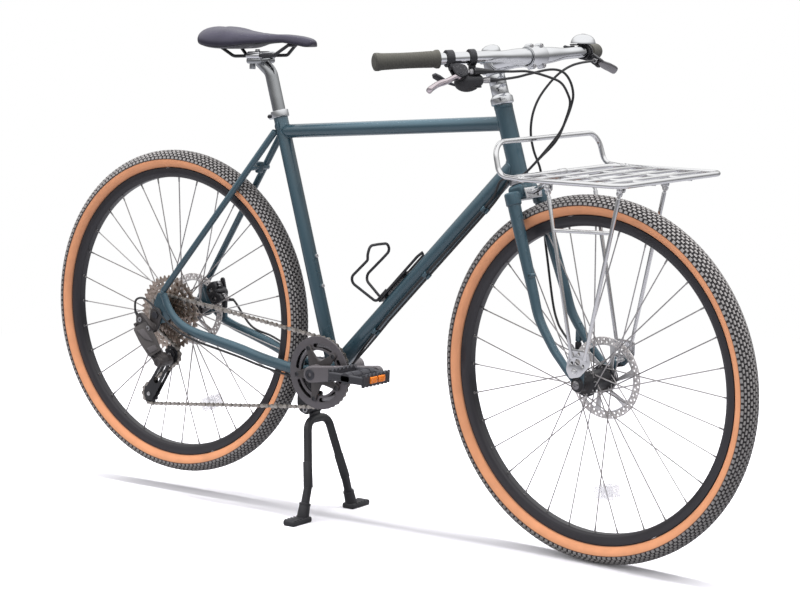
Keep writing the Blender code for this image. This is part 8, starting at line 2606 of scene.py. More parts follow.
    def cage(self, shop: Workshop) -> None:
        """Windowed cage plates and the two jockey wheels.

        Args:
            shop: where the pieces are made.
        """
        skin, bolts = Skin(), Skin()
        guide, tension = side_view(GUIDE), side_view(TENSION)
        line = tension - guide
        for y in (CHAIN_Y - 0.0068, CHAIN_Y + 0.0068):
            rim = hull(guide, 0.012, tension, 0.015, 24)
            slot = hull(guide + line * 0.27, 0.0052, guide + line * 0.66, 0.0068, 12)
            skin.add(plate(rim, 0.002, upright(y), [slot], 0.0006, 2))
            corners = [0.1 + k * 2 * math.pi / 3 for k in range(3)]
            horn = [tension + polar(0.0235, a) for a in corners]
            eyes = [circle(0.0032, 14, tension + polar(0.0125, a)) for a in corners[:2]]
            skin.add(plate(soften(horn, 0.009, 7, True), 0.0024, upright(y), eyes, 0.0007, 2))
        for centre in (GUIDE, TENSION):
            skin.add(rod((centre[0], CHAIN_Y - 0.0075, centre[2]), (centre[0], CHAIN_Y + 0.008, centre[2]),
                         0.0034, sides=24))
            bolts.add(screw(sideways((centre[0], CHAIN_Y - 0.0076, centre[2]), -1), 0.0048, 0.0022))
        pivot = vec(*self.cage_pivot)
        skin.add(rod(pivot + vec(0, CHAIN_Y - 0.0068, 0), pivot + vec(0, -0.0582, 0), 0.0078, sides=36))
        shop.fit("mech_cage_plates", skin, Finishes.black, "mech_cage_body", Place.FRAME, "mech_cage")
        shop.fit("mech_cage_bolts", bolts, Finishes.satin, "mech_cage_body", Place.FRAME)
        path = ChainPath()
        for centre, word in ((GUIDE, "guide"), (TENSION, "tension")):
            at = upright(CHAIN_Y, centre)
            holes = [circle(0.0037, 20)] + [circle(0.0024, 12, polar(0.0105, k * math.pi / 3))
                                            for k in range(6)]
            wheel = Skin().add(plate(path.toothed(path.pulley_teeth, path.phase(centre), -0.0004),
                                     0.0022, at, holes, 0.0004))
            wheel.add(turned(soften([(0.0037, -0.0032), (0.0072, -0.0032), (0.0072, 0.0032), (0.0037, 0.0032)],
                                    0.0005, 3, True), at, 32, True))
            shop.fit(f"{word}_jockey", wheel, Finishes.plastic, f"{word}_pulley_body",
                     Place.FRAME, f"{word}_pulley")


@dataclass
class Brakes:
    """The two cable disc calipers."""

    rear_at: tuple[float, float, float] = (-0.4751, 0.0555, 0.3976)
    front_at: tuple[float, float, float] = (0.464, 0.0405, 0.372)
    rear_disc: float = 0.052
    front_disc: float = 0.036
    half_width: float = 0.0135
    pad_y: float = 0.0105
    half: Loop = ((-0.017, -0.013), (-0.008, -0.0235), (0.004, -0.025), (0.0165, -0.0235), (0.0165, -0.009),
                  (0.0115, -0.0055), (0.0115, 0.0055), (0.0165, 0.009), (0.0165, 0.0235), (0.004, 0.025),
                  (-0.008, 0.0235), (-0.017, 0.013),)
    base: tuple[float, float, float] = (0.01, 0.015, 0.0)
    tip: tuple[float, float, float] = (0.026, 0.03, 0.0)

    @staticmethod
    def frame(centre: Array, axle: Array) -> Array:
        """Frame of a caliper: X outward from the axle, Z across the disc."""
        return axes_at(centre, (0.0, 1.0, 0.0), (centre - axle) * vec(1.0, 0.0, 1.0))

    def adjuster(self, centre: Array, axle: Array) -> tuple[Array, Array]:
        """Where a caliper's cable adjuster starts and ends."""
        at = self.frame(centre, axle)
        return spot(at, *self.base), spot(at, *self.tip)

    def build(self, shop: Workshop) -> None:
        """Builds both calipers.

        Args:
            shop: where the pieces are made.
        """
        self.caliper(shop, "rear", vec(*self.rear_at), REAR, self.rear_disc, vec(-0.46, 0.0655, 0.3655), 1,
                     "frame_body", Place.FRAME)
        self.caliper(shop, "front", vec(*self.front_at), FRONT, self.front_disc, vec(0.456, 0.053, 0.413), -1,
                     "steering_body", Place.STEERING)

    def caliper(self, shop: Workshop, word: str, centre: Array, axle: Array, disc_y: float, seat: Array,
                up: int, body: str, place: Place) -> None:
        """Two body halves astride the disc, a round cylinder, an arm, an adjuster and bolts.

        Args:
            shop: where the pieces are made.
            word: front or rear.
            centre: the caliper's centre.
            axle: the wheel's centre.
            disc_y: the disc's distance to the left.
            seat: the middle of the tab that carries it.
            up: 1 where the caliper stands above that tab, else -1.
            body: the body that it rides on.
            place: the placement that stands it in the world.
        """
        at = self.frame(centre, axle)
        gap = disc_y - centre[1]
        skin, bright = Skin(), Skin()
        for a, b in ((-self.half_width, gap - 0.002), (gap + 0.002, self.half_width)):
            if b - a > 0.002:
                slots = [soften([(-0.0105, y - 0.004), (0.002, y - 0.0046), (0.002, y + 0.0046),
                                 (-0.0105, y + 0.004)], 0.002, 4, True) for y in (-self.pad_y, self.pad_y)]
                edge = min(0.0035, (b - a) * 0.3)
                skin.add(plate(soften(self.half, 0.0055, 6, True), b - a,
                               at @ shift((0, 0, (a + b) / 2)), slots, edge, 4))
        for y in (-0.019, 0.0, 0.019):
            skin.add(box((0.011, 0.009, 0.026), at @ shift((0.011, y, 0)), 0.0034, 4))
        for y in (-self.pad_y, self.pad_y):
            bright.add(box((0.015, 0.007, 0.0012), at @ shift((-0.005, y, gap + 0.0016)), 0.0005, 2))
            bright.add(box((0.01, 0.0024, 0.007), at @ shift((0.0125, y, 0.0)), 0.0008, 2))
        skin.add(turned(soften([(0, 0.01), (0.0145, 0.01), (0.0145, 0.02), (0.0125, 0.024),
                                (0, 0.024)], 0.0012, 4), at, 48))
        skin.add(plate(hull((0.004, 0.0), 0.0065, (0.014, -0.024), 0.0055), 0.005,
                       at @ shift((0, 0, 0.0215)), edge=0.001, steps=3))
        skin.add(box((0.012, 0.008, 0.024), shift(seat + vec(0, 0, up * 0.0123)), 0.002, 3))
        foot, end = self.adjuster(centre, axle)
        skin.add(rod(foot, foot + (end - foot) * 0.55, 0.0046, sides=28))
        bright.add(rod(foot + (end - foot) * 0.5, end, 0.0052, 0.0044, 28, 0.0006))
        for k in range(10):
            side = axes_at(foot + (end - foot) * 0.72, end - foot, (0, 1, 0)) @ spin(k * math.pi / 5, "Z")
            bright.add(box((0.0012, 0.0012, 0.0075), side @ shift((0.0049, 0, 0)), 0.0004, 1))
        bright.add(screw(at @ shift((0.014, -0.024, 0.0238)), 0.0036, 0.0022))
        bright.add(screw(at @ shift((0.0, 0.0, 0.0238)), 0.006, 0.002))
        for y in (-0.017, 0.017):
            bright.add(screw(at @ shift((0.017, y, 0.0)) @ spin(math.pi / 2, "Y"), 0.004, 0.003))
        shop.fit(f"{word}_caliper_body", skin, Finishes.black, body, place, f"{word}_caliper")
        shop.fit(f"{word}_caliper_bolts", bright, Finishes.satin, body, place)


@dataclass
class Seat:
    """Seatpost, clamp, rails and the padded saddle."""

    post: float = 0.0136
    rail: float = 0.0035
    rail_y: float = 0.022
    tilt: float = math.radians(3.7)
    stations: tuple[tuple[float, float, float, float], ...] = (
        (-0.4512, 0.018, 0.9735, 0.005), (-0.449, 0.042, 0.9765, 0.011), (-0.442, 0.064, 0.9825, 0.0185),
        (-0.422, 0.0755, 0.9855, 0.024), (-0.392, 0.074, 0.9845, 0.0248), (-0.362, 0.06, 0.98, 0.021),
        (-0.326, 0.04, 0.977, 0.015), (-0.288, 0.027, 0.977, 0.0125), (-0.25, 0.022, 0.9785, 0.012),
        (-0.213, 0.0205, 0.9768, 0.0128), (-0.19, 0.0178, 0.9735, 0.0126), (-0.18, 0.013, 0.97, 0.0095),
        (-0.1766, 0.005, 0.966, 0.0042),
    )

    def rail_height(self, x: float) -> float:
        """Height of the straight middle of the rails."""
        return 0.923 + (x + 0.4) * math.tan(self.tilt)

    def build(self, shop: Workshop) -> None:
        """Builds the post, the clamp, the rails and the saddle.

        Args:
            shop: where the pieces are made.
        """
        low = SEAT_TOP - SEAT_AXIS * 0.14
        path = bent([low, SEAT_TOP + SEAT_AXIS * 0.0985, vec(-0.319, 0.0, 0.916)], 0.03, 14)
        post = Skin().add(tube(path, self.post, 48))
        lean = spin(-self.tilt, "Y")
        post.add(box((0.04, 0.052, 0.012), shift((-0.32, 0.0, 0.918)) @ lean, 0.0048, 5))
        post.add(rod((-0.342, 0.0, 0.917), (-0.342, 0.0, 0.899), 0.0065, sides=32, edge=0.001))
        shop.fit("post_tube", post, Finishes.post, "seat_body", Place.FRAME, "seatpost")
        top = self.rail_height(-0.32)
        clamp = Skin().add(box((0.034, 0.054, 0.0085), shift((-0.32, 0.0, top + 0.005)) @ lean, 0.0034, 4))
        for side in (-1, 1):
            clamp.add(rod((-0.338, side * self.rail_y, self.rail_height(-0.338)),
                          (-0.302, side * self.rail_y, self.rail_height(-0.302)),
                          0.0068, sides=28, edge=0.0012))
        clamp.add(screw(shift((-0.329, 0.0, top + 0.0085)) @ lean, 0.0052, 0.0045))
        shop.fit("rail_clamp", clamp, Finishes.silver, "seat_body", Place.FRAME, "saddle_clamp")
        rails = Skin()
        for side in (-1, 1):
            corners = mirror([(-0.408, 0.034, 0.9455), (-0.376, self.rail_y, self.rail_height(-0.376)),
                              (-0.266, self.rail_y, self.rail_height(-0.266)), (-0.236, 0.012, 0.9545)], side)
            rails.add(tube(bent(corners, 0.016, 9), self.rail, 20))
        rails.add(rod((-0.236, -0.015, 0.9542), (-0.236, 0.015, 0.9542), self.rail, sides=20, dome=0.002))
        rails.add(rod((-0.407, -0.037, 0.945), (-0.407, 0.037, 0.945), self.rail, sides=20, dome=0.002))
        shop.fit("rail_wires", rails, Finishes.black, "seat_body", Place.FRAME, "saddle_rails")
        self.saddle(shop)

    def sections(self, count: int, around: int, grow: float = 0.0) -> Array:
        """The saddle's cross-sections: ovals that droop at the sides, with a valley between two rear lobes.

        Args:
            count: how many sections.
            around: how many points in each.
            grow: how far each stands outside the cover.

        Returns:
            Sections by points by 3.
        """
        x, wide, top, tall = flowing(self.stations, count).T[:, :, None]
        a = np.arange(around)[None] * 2 * math.pi / around
        c, s = np.cos(a), np.sin(a)
        y = (wide + grow) * np.sign(c) * np.abs(c) ** 0.8
        lift = np.sign(s) * np.abs(s) ** 0.85 * (tall + grow)
        droop = 0.35 * tall * np.abs(y / wide) ** 3
        valley = 0.003 * np.clip(1 - (y / 0.017) ** 2, 0, 1) * np.clip(s, 0, 1) - 0.004 * np.clip(-s, 0, 1)
        z = top - tall + lift - droop - valley
        return np.stack([np.broadcast_to(x, y.shape), y, z], 2)

    def saddle(self, shop: Workshop) -> None:
        """The padded cover, its moulded base and the seam along its edge.

        Args:
            shop: where the pieces are made.
        """
        rows = self.sections(96, 80)
        cover = Skin().add(loft(rows))
        obj = shop.fit("saddle_pad", cover, Finishes.saddle, "seat_body", Place.FRAME, "saddle", crease=80.0)
        seam = Skin()
        for index in (76, 44):
            seam.add(tube(rows[2:-2, index] + vec(0, 0, -0.0002), 0.0007, 8))
        shop.fit("saddle_seam", seam, Finishes.plastic, "seat_body", Place.FRAME)
        shell = self.sections(60, 48, -0.0035)
        shell[:, :, 2] = np.minimum(shell[:, :, 2], shell[:, :1, 2]) - 0.0035
        shop.fit("saddle_base", Skin().add(loft(shell[3:-3])), Finishes.dark_plastic, "seat_body", Place.FRAME)


@dataclass
class Stand:
    """The two-legged stand: bracket, legs and feet."""

    pivot: tuple[float, float, float] = (-0.154, 0.0, 0.196)
    leg: float = 0.0088
    top: tuple[float, float, float] = (-0.138, 0.0366, 0.167)
    sleeve: tuple[float, float, float] = (-0.108, 0.0626, 0.047)
    side_plate: Loop = (
        (-0.179, 0.232), (-0.14, 0.232), (-0.142, 0.19), (-0.154, 0.184), (-0.172, 0.19), (-0.179, 0.205),
    )
    ankle: tuple[float, float, float] = (-0.104, 0.083, -0.017)

    def build(self, shop: Workshop) -> None:
        """Builds the bracket, the legs and the feet.

        Args:
            shop: where the pieces are made.
        """
        pivot = vec(*self.pivot)
        bracket, bolts = Skin(), Skin()
        bracket.add(box((0.034, 0.038, 0.006), shift((-0.158, 0.0, 0.2732)), 0.0016, 3))
        bracket.add(box((0.022, 0.026, 0.058), shift((-0.158, 0.0, 0.243)), 0.0045, 4))
        bracket.add(box((0.03, 0.04, 0.01), shift((-0.156, 0.0, 0.222)), 0.003, 4))
        for side in (-1, 1):
            bracket.add(plate(soften(self.side_plate, 0.005, 6, True), 0.006,
                              upright(side * 0.017), edge=0.0014, steps=3))
            at = sideways(pivot + vec(0, side * 0.02, 0), side)
            bolts.add(collar(spot(at, 0, 0, 0), spot(at, 0, 0, 0.0036), 0.006, 0.0032, 32, 0.0007))
        bracket.add(rod(pivot - vec(0, 0.0235, 0), pivot + vec(0, 0.0235, 0), 0.005, sides=24))
        bracket.add(rod((-0.158, 0.0, 0.216), (-0.158, 0.0, 0.212), 0.006, sides=24))
        shop.fit("stand_bolts", bolts, Finishes.satin, "frame_body", Place.FRAME)
        shop.fit("stand_clamp", bracket, Finishes.black, "frame_body", Place.FRAME, "kickstand_bracket")
        legs = Skin().add(collar(pivot - vec(0, 0.0134, 0), pivot + vec(0, 0.0134, 0),
                                 0.011, 0.0054, 40, 0.0012))
        legs.add(box((0.014, 0.0262, 0.024), shift((-0.1455, 0.0, 0.18)), 0.004, 4))
        half = [vec(*self.top) + vec(0.0, -0.0035, 0.01), vec(*self.sleeve), vec(*self.ankle)]
        arch = bent([*mirror(half[::-1], -1), *half], [0.06, 0.026, 0.026, 0.06], 14)
        legs.add(tube(arch, self.leg, 36))
        for side in (-1, 1):
            at = mirror(self.sleeve, side)
            way = unit(at - mirror(self.top, side))
            legs.add(rod(at - way * 0.05, at + way * 0.004, self.leg + 0.0008, self.leg + 0.0012, 36, 0.001))
        shop.fit("stand_legs", legs, Finishes.black, "stand_body", Place.FRAME, "kickstand_legs")
        for side, word in SIDES:
            self.foot(shop, side, word)

    def foot(self, shop: Workshop, side: int, word: str) -> None:
        """One plastic foot: a boot round the leg's end and a ribbed pad flat on the ground.

        Args:
            shop: where the pieces are made.
            side: -1 for the right and 1 for the left.
            word: the side's name in the pieces' names.
        """
        ankle = mirror(self.ankle, side)
        at = shift(ankle) @ spin(-SIZE.lift, "Y")
        offset = ankle - FRONT
        drop = offset[2] * math.cos(SIZE.lift) - offset[0] * math.sin(
            SIZE.lift) + SIZE.wheel_radius + SIZE.lean_drop
        pad = at @ shift((0.0, side * 0.017, 0.006 - drop))
        skin = Skin().add(box((0.03, 0.062, 0.012), pad, 0.004, 4))
        for k in range(5):
            skin.add(box((0.03, 0.0032, 0.002),
                         pad @ shift((0, (k - 2) * 0.0095 + side * 0.004, 0.0058)), 0.0008, 2))
        leg = unit(mirror(self.sleeve, side) - ankle)
        skin.add(rod(ankle - leg * 0.002, ankle + leg * 0.03, 0.013, 0.0112, 40, 0.0014))
        skin.add(rod(ankle + leg * 0.026, ankle + leg * 0.031, 0.0122, 0.0118, 40, 0.0008))
        shop.fit(f"{word}_stand_shoe", skin, Finishes.plastic, "stand_body",
                 Place.FRAME, f"kickstand_foot_{word}")


@dataclass
class BottleCage:
    """The bent-wire bottle cage on its plate."""

    origin: float = 0.3545
    wire: float = 0.0029
    lift: float = 0.02025

    def at(self, ahead: float, out: float, across: float) -> Array:
        """A point by its distance along the down tube and out from its top."""
        return down_at(self.origin + ahead, -out, across)

    def build(self, shop: Workshop) -> None:
        """Builds the clasp, the hairpin, the plate and the bolts.

        Args:
            shop: where the pieces are made.
        """
        lift = self.lift
        corners = [self.at(-0.128, lift + 0.0075, 0.008), self.at(-0.163, lift + 0.0055, 0.012),
                   self.at(-0.176, 0.098, 0.0265), self.at(-0.11, 0.0943, 0.0262),
                   self.at(-0.094, 0.0985, 0.0375), self.at(-0.082, 0.1095, 0.03), self.at(-0.083, 0.111, 0.0)]
        half = bent(corners, [0.008, 0.014, 0.012, 0.012, 0.014], 9)
        skin = Skin().add(tube(np.vstack([half, mirror(half[-2::-1], -1)]), self.wire, 18))
        back = bent([self.at(-0.14, lift + 0.004, 0.01), self.at(-0.02, lift + 0.004, 0.01),
                     self.at(-0.012, lift + 0.006, 0.0)], 0.008, 9)
        skin.add(tube(np.vstack([back, mirror(back[-2::-1], -1)]), self.wire, 18))
        at = axes_at(self.at(-0.112, lift + 0.0015, 0.0), -DOWN_UNDER, DOWN_AXIS)
        skin.add(plate(round_box(0.094, 0.03, 0.007), 0.003, at, edge=0.0008, steps=2))
        for s in (-0.078, -0.142):
            skin.add(rod(self.at(s, lift + 0.001, 0), self.at(s, 0.01775, 0), 0.005, sides=24))
            skin.add(screw(axes_at(self.at(s, lift + 0.0028, 0), -DOWN_UNDER, DOWN_AXIS), 0.0046, 0.0036))
        shop.fit("cage_wires", skin, Finishes.black, "frame_body", Place.FRAME, "bottle_cage")


@dataclass
class Housings:
    """The black housings of both brakes and the rear mech."""

    radius: float = 0.0024
    ferrule: float = 0.011
    over_stay: float = 0.0172
    tubes: FrameSet = field(default_factory=FrameSet)
    cockpit: Cockpit = field(default_factory=Cockpit)
    brakes: Brakes = field(default_factory=Brakes)
    mech: RearMech = field(default_factory=RearMech)

    def beside_stay(self, index: int, side: float, over: float) -> Array:
        """A point on top of a chainstay, or under it where over is -1."""
        return mirror(self.tubes.stay_route[index], side) + vec(0.0, 0.0, over * self.over_stay)

    def lever_outlet(self, side: float, distance: float) -> Array:
        """A point ahead of a lever's adjuster."""
        return spot(lever_frame(side), self.cockpit.adjuster_ahead, 0.0, self.cockpit.adjuster[-1] - distance)

    def hose(self, line: Array) -> Skin:
        """One housing along its points with a ferrule at each end.

        Args:
            line: the points of its middle line.

        Returns:
            The skin of the housing and its ferrules.
        """
        skin = Skin().add(tube(line, self.radius, 14))
        for a, b in ((0, 3), (-1, -4)):
            skin.add(rod(line[a], line[a] + unit(line[b] - line[a]) * self.ferrule, 0.0033, 0.003, 20, 0.0006))
        return skin

    def build(self, shop: Workshop) -> None:
        """Builds the three housings. The two that cross the head are drawn at the rest steering angle and ride
        on no body.

        Args:
            shop: where the pieces are made.
        """
        front = self.hose(flowing(self.front_brake(), 260))
        shop.fit("front_brake_hose", front, Finishes.housing, "steering_body",
                 Place.STEERING, "front_brake_housing")
        start, end = spot(STAND, 0.36, -0.02, 0.75), spot(STAND, 0.4, -0.06, 0.86)
        for name, route, node, boot in (("rear_brake_hose", self.rear_brake(), "rear_brake_housing", 12),
                                        ("shift_hose", self.shift(), "shift_housing", 0),):
            line = flowing(route, 420)
            skin = self.hose(line)
            if boot:
                skin.add(tube(line[:boot], np.linspace(0.0078, 0.003, boot), 24))
            obj = skin.object(name, STAND)
            obj.data.materials.append(Finishes.housing.material())
            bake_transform(obj)
            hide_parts(node)
            shop.pieces.append(name)
            log.info("%s: %d faces across the steering", name, len(obj.data.polygons))

    def rear_brake(self) -> list[Array]:
        """From the right lever round the head, under the down tube and along the left chainstay.

        Returns:
            The route's points.
        """
        lane = self.tubes.lanes[0]
        foot, tip = self.brakes.adjuster(vec(*self.brakes.rear_at), REAR)
        return [at_rest(self.lever_outlet(-1, 0.0003)), at_rest(self.lever_outlet(-1, 0.012)),
                vec(0.3887, -0.125, 0.9366), vec(0.4142, -0.1, 0.9375), vec(0.4379, -0.065, 0.9278),
                vec(0.4522, -0.045, 0.9173), vec(0.4608, -0.034, 0.8972), vec(0.4643, -0.03, 0.8792),
                vec(0.4584, -0.03, 0.8544), vec(0.4463, -0.031, 0.8249), vec(0.4146, -0.031, 0.7855),
                vec(0.3789, -0.03, 0.7473), vec(0.356, -0.0308, 0.731), down_at(0.6, 0.0095, -0.028),
                down_at(0.56, 0.0165, -0.0205), down_at(0.5, *lane), down_at(0.33, *lane),
                down_at(0.21, *lane), down_at(0.19, *lane), down_at(0.125, 0.0188, -0.012),
                down_at(0.07, 0.0212, -0.005), down_at(0.025, 0.0275, -0.002), vec(-0.092, -0.001, 0.2585),
                vec(-0.116, 0.015, 0.26), vec(-0.145, 0.044, 0.27), vec(-0.185, 0.052, 0.289),
                self.beside_stay(4, 1, 1), self.beside_stay(5, 1, 1), self.beside_stay(6, 1, 1),
                beyond(foot, tip, 0.014), beyond(foot, tip, 0.0003)]

    def shift(self) -> list[Array]:
        """From the shifter round the head, under the down tube and along the right chainstay to the mech.

        Returns:
            The route's points.
        """
        lane = self.tubes.lanes[1]
        foot, tip = self.cockpit.shift_outlet()
        stop = [vec(*p) for p in self.mech.stop]
        return [at_rest(beyond(foot, tip, 0.0003)), at_rest(beyond(foot, tip, 0.01)),
                vec(0.395, -0.112, 0.9262), vec(0.4065, -0.088, 0.9322), vec(0.4308, -0.055, 0.9415),
                vec(0.4472, -0.035, 0.9382), vec(0.4569, -0.022, 0.9213), vec(0.4635, -0.019, 0.8971),
                vec(0.4612, -0.0205, 0.8746), vec(0.4515, -0.022, 0.8455), vec(0.4324, -0.022, 0.8063),
                vec(0.3985, -0.022, 0.7712), vec(0.3633, -0.0218, 0.7375), vec(0.3392, -0.0222, 0.7308),
                vec(0.3267, -0.0222, 0.7176), down_at(0.59, 0.0205, -0.0165), down_at(0.545, *lane),
                down_at(0.5, *lane), down_at(0.33, *lane), down_at(0.21, *lane), down_at(0.19, *lane),
                down_at(0.13, 0.0258, -0.012), down_at(0.08, 0.0276, -0.0145), down_at(0.03, 0.0295, -0.02),
                vec(-0.098, -0.024, 0.2598), vec(-0.128, -0.028, 0.2618), self.beside_stay(2, -1, -1),
                self.beside_stay(3, -1, -1), self.beside_stay(4, -1, -1), self.beside_stay(5, -1, -1),
                self.beside_stay(6, -1, -1), vec(-0.42, -0.069, 0.312), vec(-0.46, -0.083, 0.329),
                vec(-0.495, -0.0905, 0.352), vec(-0.525, -0.0935, 0.378), vec(-0.555, -0.0935, 0.392),
                vec(-0.579, -0.092, 0.385), beyond(stop[0], stop[1], 0.012), beyond(stop[0], stop[1], 0.0003)]

    def front_brake(self) -> list[Array]:
        """From the left lever down behind the head and along the left blade.

        Returns:
            The route's points.
        """
        foot, tip = self.brakes.adjuster(vec(*self.brakes.front_at), FRONT)
        return [self.lever_outlet(1, 0.0003), self.lever_outlet(1, 0.012), vec(0.383, 0.125, 0.9465),
                vec(0.378, 0.098, 0.94), vec(0.37, 0.074, 0.926), vec(0.36, 0.054, 0.904),
                vec(0.353, 0.035, 0.878), vec(0.35, 0.022, 0.848), vec(0.351, 0.017, 0.8137),
                vec(0.354, 0.024, 0.78), vec(0.355, 0.044, 0.746), vec(0.35, 0.06, 0.718),
                vec(0.35, 0.0632, 0.692), vec(0.356, 0.0605, 0.655), vec(0.3645, 0.056, 0.6073),
                vec(0.3735, 0.0545, 0.565), vec(0.39, 0.055, 0.48), vec(0.405, 0.052, 0.445),
                vec(0.422, 0.045, 0.43), beyond(foot, tip, 0.012), beyond(foot, tip, 0.0003)]


@dataclass
class RearAxle:
    """The rear axle with its nuts."""

    def build(self, shop: Workshop) -> None:
        """Builds the axle and a flanged nut at each end.

        Args:
            shop: where the pieces are made.
        """
        skin = Skin().add(rod(REAR - vec(0, 0.0771, 0), REAR + vec(0, 0.0771, 0), 0.0047, sides=24))
        for side in (-1, 1):
            at = sideways(REAR + vec(0, side * 0.0731, 0), side)
            skin.add(turned(soften([(0, 0), (0.01, 0), (0.01, 0.0014), (0, 0.0014)], 0.0004), at, 32))
            skin.add(turned([(0, 0.0012), (0.0088, 0.0012), (0.0088, 0.0068),
                             (0.0078, 0.0078), (0.0, 0.0078)], at, 6))
        shop.fit("rear_axle_nuts", skin, Finishes.bolt, "frame_body", Place.FRAME, "rear_axle")


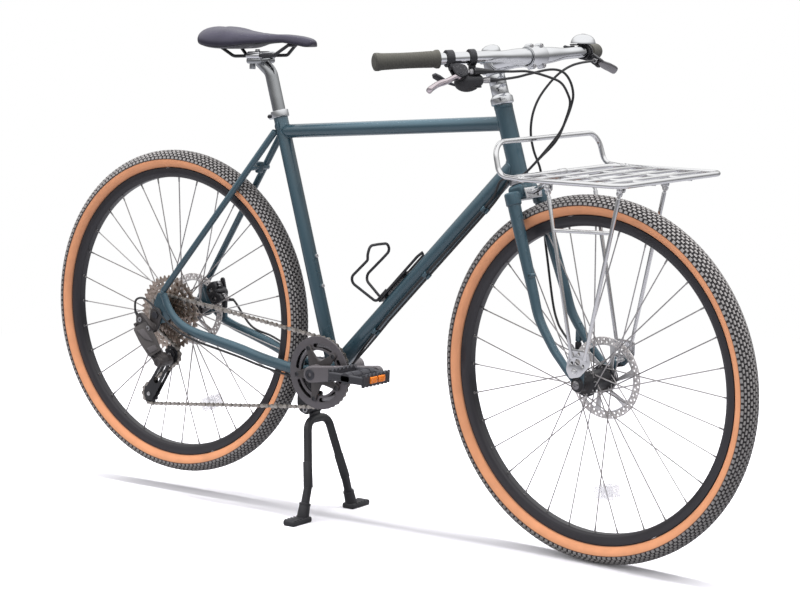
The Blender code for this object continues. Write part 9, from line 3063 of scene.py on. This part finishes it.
@dataclass
class Studio:
    """Floor, light, world and camera."""

    camera_at: tuple[float, float, float] = (2.517, -3.384, 1.103)
    azimuth: float = math.radians(35.927)
    elevation: float = math.radians(8.746)
    roll: float = math.radians(2.132)
    focal: float = 2080.042
    image_width: float = 800.0
    sensor: float = 36.0
    horizon: float = 0.26
    zenith: float = 1.15
    ambient: float = 0.36
    strip_size: tuple[float, float] = (7.0, 0.35)
    strip_power: float = 360.0
    sun_power: float = 1.7
    strip_height: float = 3.6
    sun_angle: float = math.radians(80.0)
    sun_turn: tuple[float, float, float] = (math.radians(48.0), 0.0, math.radians(-12.0))
    sky_rise: tuple[float, float] = (0.02, 0.62)
    floor_half: float = 30.0
    paper: tuple[float, float, float] = (0.93, 0.915, 0.965)
    paper_in_bounces: tuple[float, float, float] = (0.3, 0.3, 0.32)
    glow_from: tuple[float, float] = (1.1, 0.05)
    glow_to: tuple[float, float] = (3.0, 1.0)

    def build(self) -> None:
        """Sets the stage."""
        self.floor()
        self.world()
        self.lamps()
        self.camera()

    def floor(self) -> None:
        """A white floor that keeps its shadow: lit paper mixed with its own glow for the camera."""
        mesh = bpy.data.meshes.new("studio_floor")
        half = self.floor_half
        mesh.from_pydata([(-half, -half, 0), (half, -half, 0), (half, half, 0), (-half, half, 0)],
                         [], [(0, 1, 2, 3)])
        obj = bpy.data.objects.new("studio_floor", mesh)
        bpy.context.scene.collection.objects.link(obj)
        graph = Graph(bpy.data.materials.new("floor_paper"))
        seen = graph.node("ShaderNodeLightPath")[0]
        graph.set(Base_Color=graph.blend(seen, self.paper_in_bounces, self.paper),
                  Roughness=1.0, Specular_IOR_Level=0.0)
        glow = graph.node("ShaderNodeEmission", None, {"Color": (1.0, 1.0, 1.0), "Strength": 1.0})[0]
        lit = Wire(graph, graph.surface.outputs[0])
        x, y, _ = graph.split(graph.place())
        (near, dim), (far, full) = self.glow_from, self.glow_to
        away = graph.node("ShaderNodeMapRange", {"interpolation_type": "SMOOTHSTEP"},
                          {"Value": (x * x + y * y) ** 0.5, "From Min": near, "From Max": far,
                           "To Min": dim, "To Max": full})[0]
        mixed = graph.node("ShaderNodeMixShader", None, {0: seen * away, 1: lit, 2: glow})[0]
        out = next(n for n in graph.tree.nodes if n.type == "OUTPUT_MATERIAL")
        graph.feed(out.inputs["Surface"], mixed)
        mesh.materials.append(graph.owner)

    def world(self) -> None:
        """White where it is seen; as a light it is dim at the horizon and bright overhead."""
        world = bpy.data.worlds.new("studio")
        graph = Graph(world)
        ray = {out.socket.name: out for out in graph.node("ShaderNodeLightPath")}
        seen = graph.node("ShaderNodeMath", {"operation": "MAXIMUM"},
                          {0: ray["Is Camera Ray"], 1: ray["Is Transmission Ray"]})[0]
        height = graph.split(graph.node("ShaderNodeTexCoord")[0])[2]
        low, high = self.sky_rise
        sky = graph.node("ShaderNodeMapRange", {"interpolation_type": "SMOOTHSTEP"},
                         {"Value": height, "From Min": low, "From Max": high, "To Min": self.horizon,
                          "To Max": self.zenith})[0]
        light = graph.node("ShaderNodeMix", None, {0: ray["Is Glossy Ray"], 2: self.ambient, 3: sky})[0]
        level = graph.node("ShaderNodeMix", None, {0: seen, 2: light, 3: 1.0})[0]
        graph.set(Color=(1.0, 1.0, 1.0), Strength=level)
        bpy.context.scene.world = world

    def lamps(self) -> None:
        """A long soft light straight above the bike and a broad weak sun from the camera's left."""
        strip = bpy.data.lights.new("strip", "AREA")
        strip.shape = "RECTANGLE"
        strip.size, strip.size_y = self.strip_size
        strip.energy = self.strip_power
        over = bpy.data.objects.new("strip", strip)
        over.location = (0.0, 0.0, self.strip_height)
        sun = bpy.data.lights.new("broad", "SUN")
        sun.angle = self.sun_angle
        sun.energy = self.sun_power
        fill = bpy.data.objects.new("broad", sun)
        fill.rotation_euler = self.sun_turn
        for obj in (over, fill):
            obj.visible_glossy = False
            bpy.context.scene.collection.objects.link(obj)

    def camera(self) -> None:
        """The photograph's viewpoint, solved for the level bike and carried onto its stand with it."""
        az, el, roll = self.azimuth, self.elevation, self.roll
        back = vec(math.sin(az) * math.cos(el), -math.cos(az) * math.cos(el), math.sin(el))
        right = unit(np.cross(-back, vec(0, 0, 1)))
        up = np.cross(right, -back)
        made = np.eye(4)
        made[:3, 0] = right * math.cos(roll) + up * math.sin(roll)
        made[:3, 1] = -right * math.sin(roll) + up * math.cos(roll)
        made[:3, 2] = back
        made[:3, 3] = self.camera_at
        data = bpy.data.cameras.new("photo_view")
        data.sensor_width = self.sensor
        data.lens = self.focal / self.image_width * self.sensor
        data.clip_end = 100.0
        obj = bpy.data.objects.new("photo_view", data)
        obj.matrix_world = Matrix((STAND @ made).tolist())
        bpy.context.scene.collection.objects.link(obj)
        bpy.context.scene.camera = obj


FRONT_HUB = ((0.0105, 0.0492), (0.0105, 0.043), (0.021, 0.043), (0.021, 0.03), (0.0235, 0.0295),
             (0.0235, 0.0255), (0.0195, 0.0215), (0.018, 0.0), (0.0195, -0.022), (0.023, -0.026),
             (0.023, -0.03), (0.015, -0.036), (0.0105, -0.0492))
REAR_HUB = ((0.0105, 0.0667), (0.0105, 0.059), (0.021, 0.059), (0.021, 0.037), (0.0235, 0.0365),
            (0.0235, 0.0315), (0.0175, 0.028), (0.0165, 0.006), (0.0175, -0.015), (0.0225, -0.0175),
            (0.0225, -0.022), (0.013, -0.0245), (0.013, -0.064), (0.0105, -0.0667))
FRONT_FLANGES = ((0.0275, 0.0228), (-0.028, 0.0222))
REAR_FLANGES = ((0.034, 0.0228), (-0.0198, 0.0222))


def main() -> None:
    """Builds the studio and every sub-assembly, and notes the sizes."""
    logging.basicConfig(level=logging.INFO, format="%(name)s %(message)s")
    shop = Workshop()
    parts: list[Any] = [
        FrameSet(), Headset(), Cockpit(), Fork(), Rack(),
        Wheel("front", FRONT, Place.STEERING, FRONT_HUB, FRONT_FLANGES, Brakes.front_disc, math.radians(80.0)),
        Wheel("rear", REAR, Place.FRAME, REAR_HUB, REAR_FLANGES, Brakes.rear_disc, math.radians(62.0)),
        Drivetrain(), RearMech(), Brakes(), Seat(), Stand(), BottleCage(), Housings(), RearAxle(),
    ]
    for part in parts:
        part.build(shop)
        log.info("%s built", type(part).__name__)
    Studio().build()
    bpy.context.scene.view_settings.view_transform = "Standard"


if __name__ == "__main__":
    main()
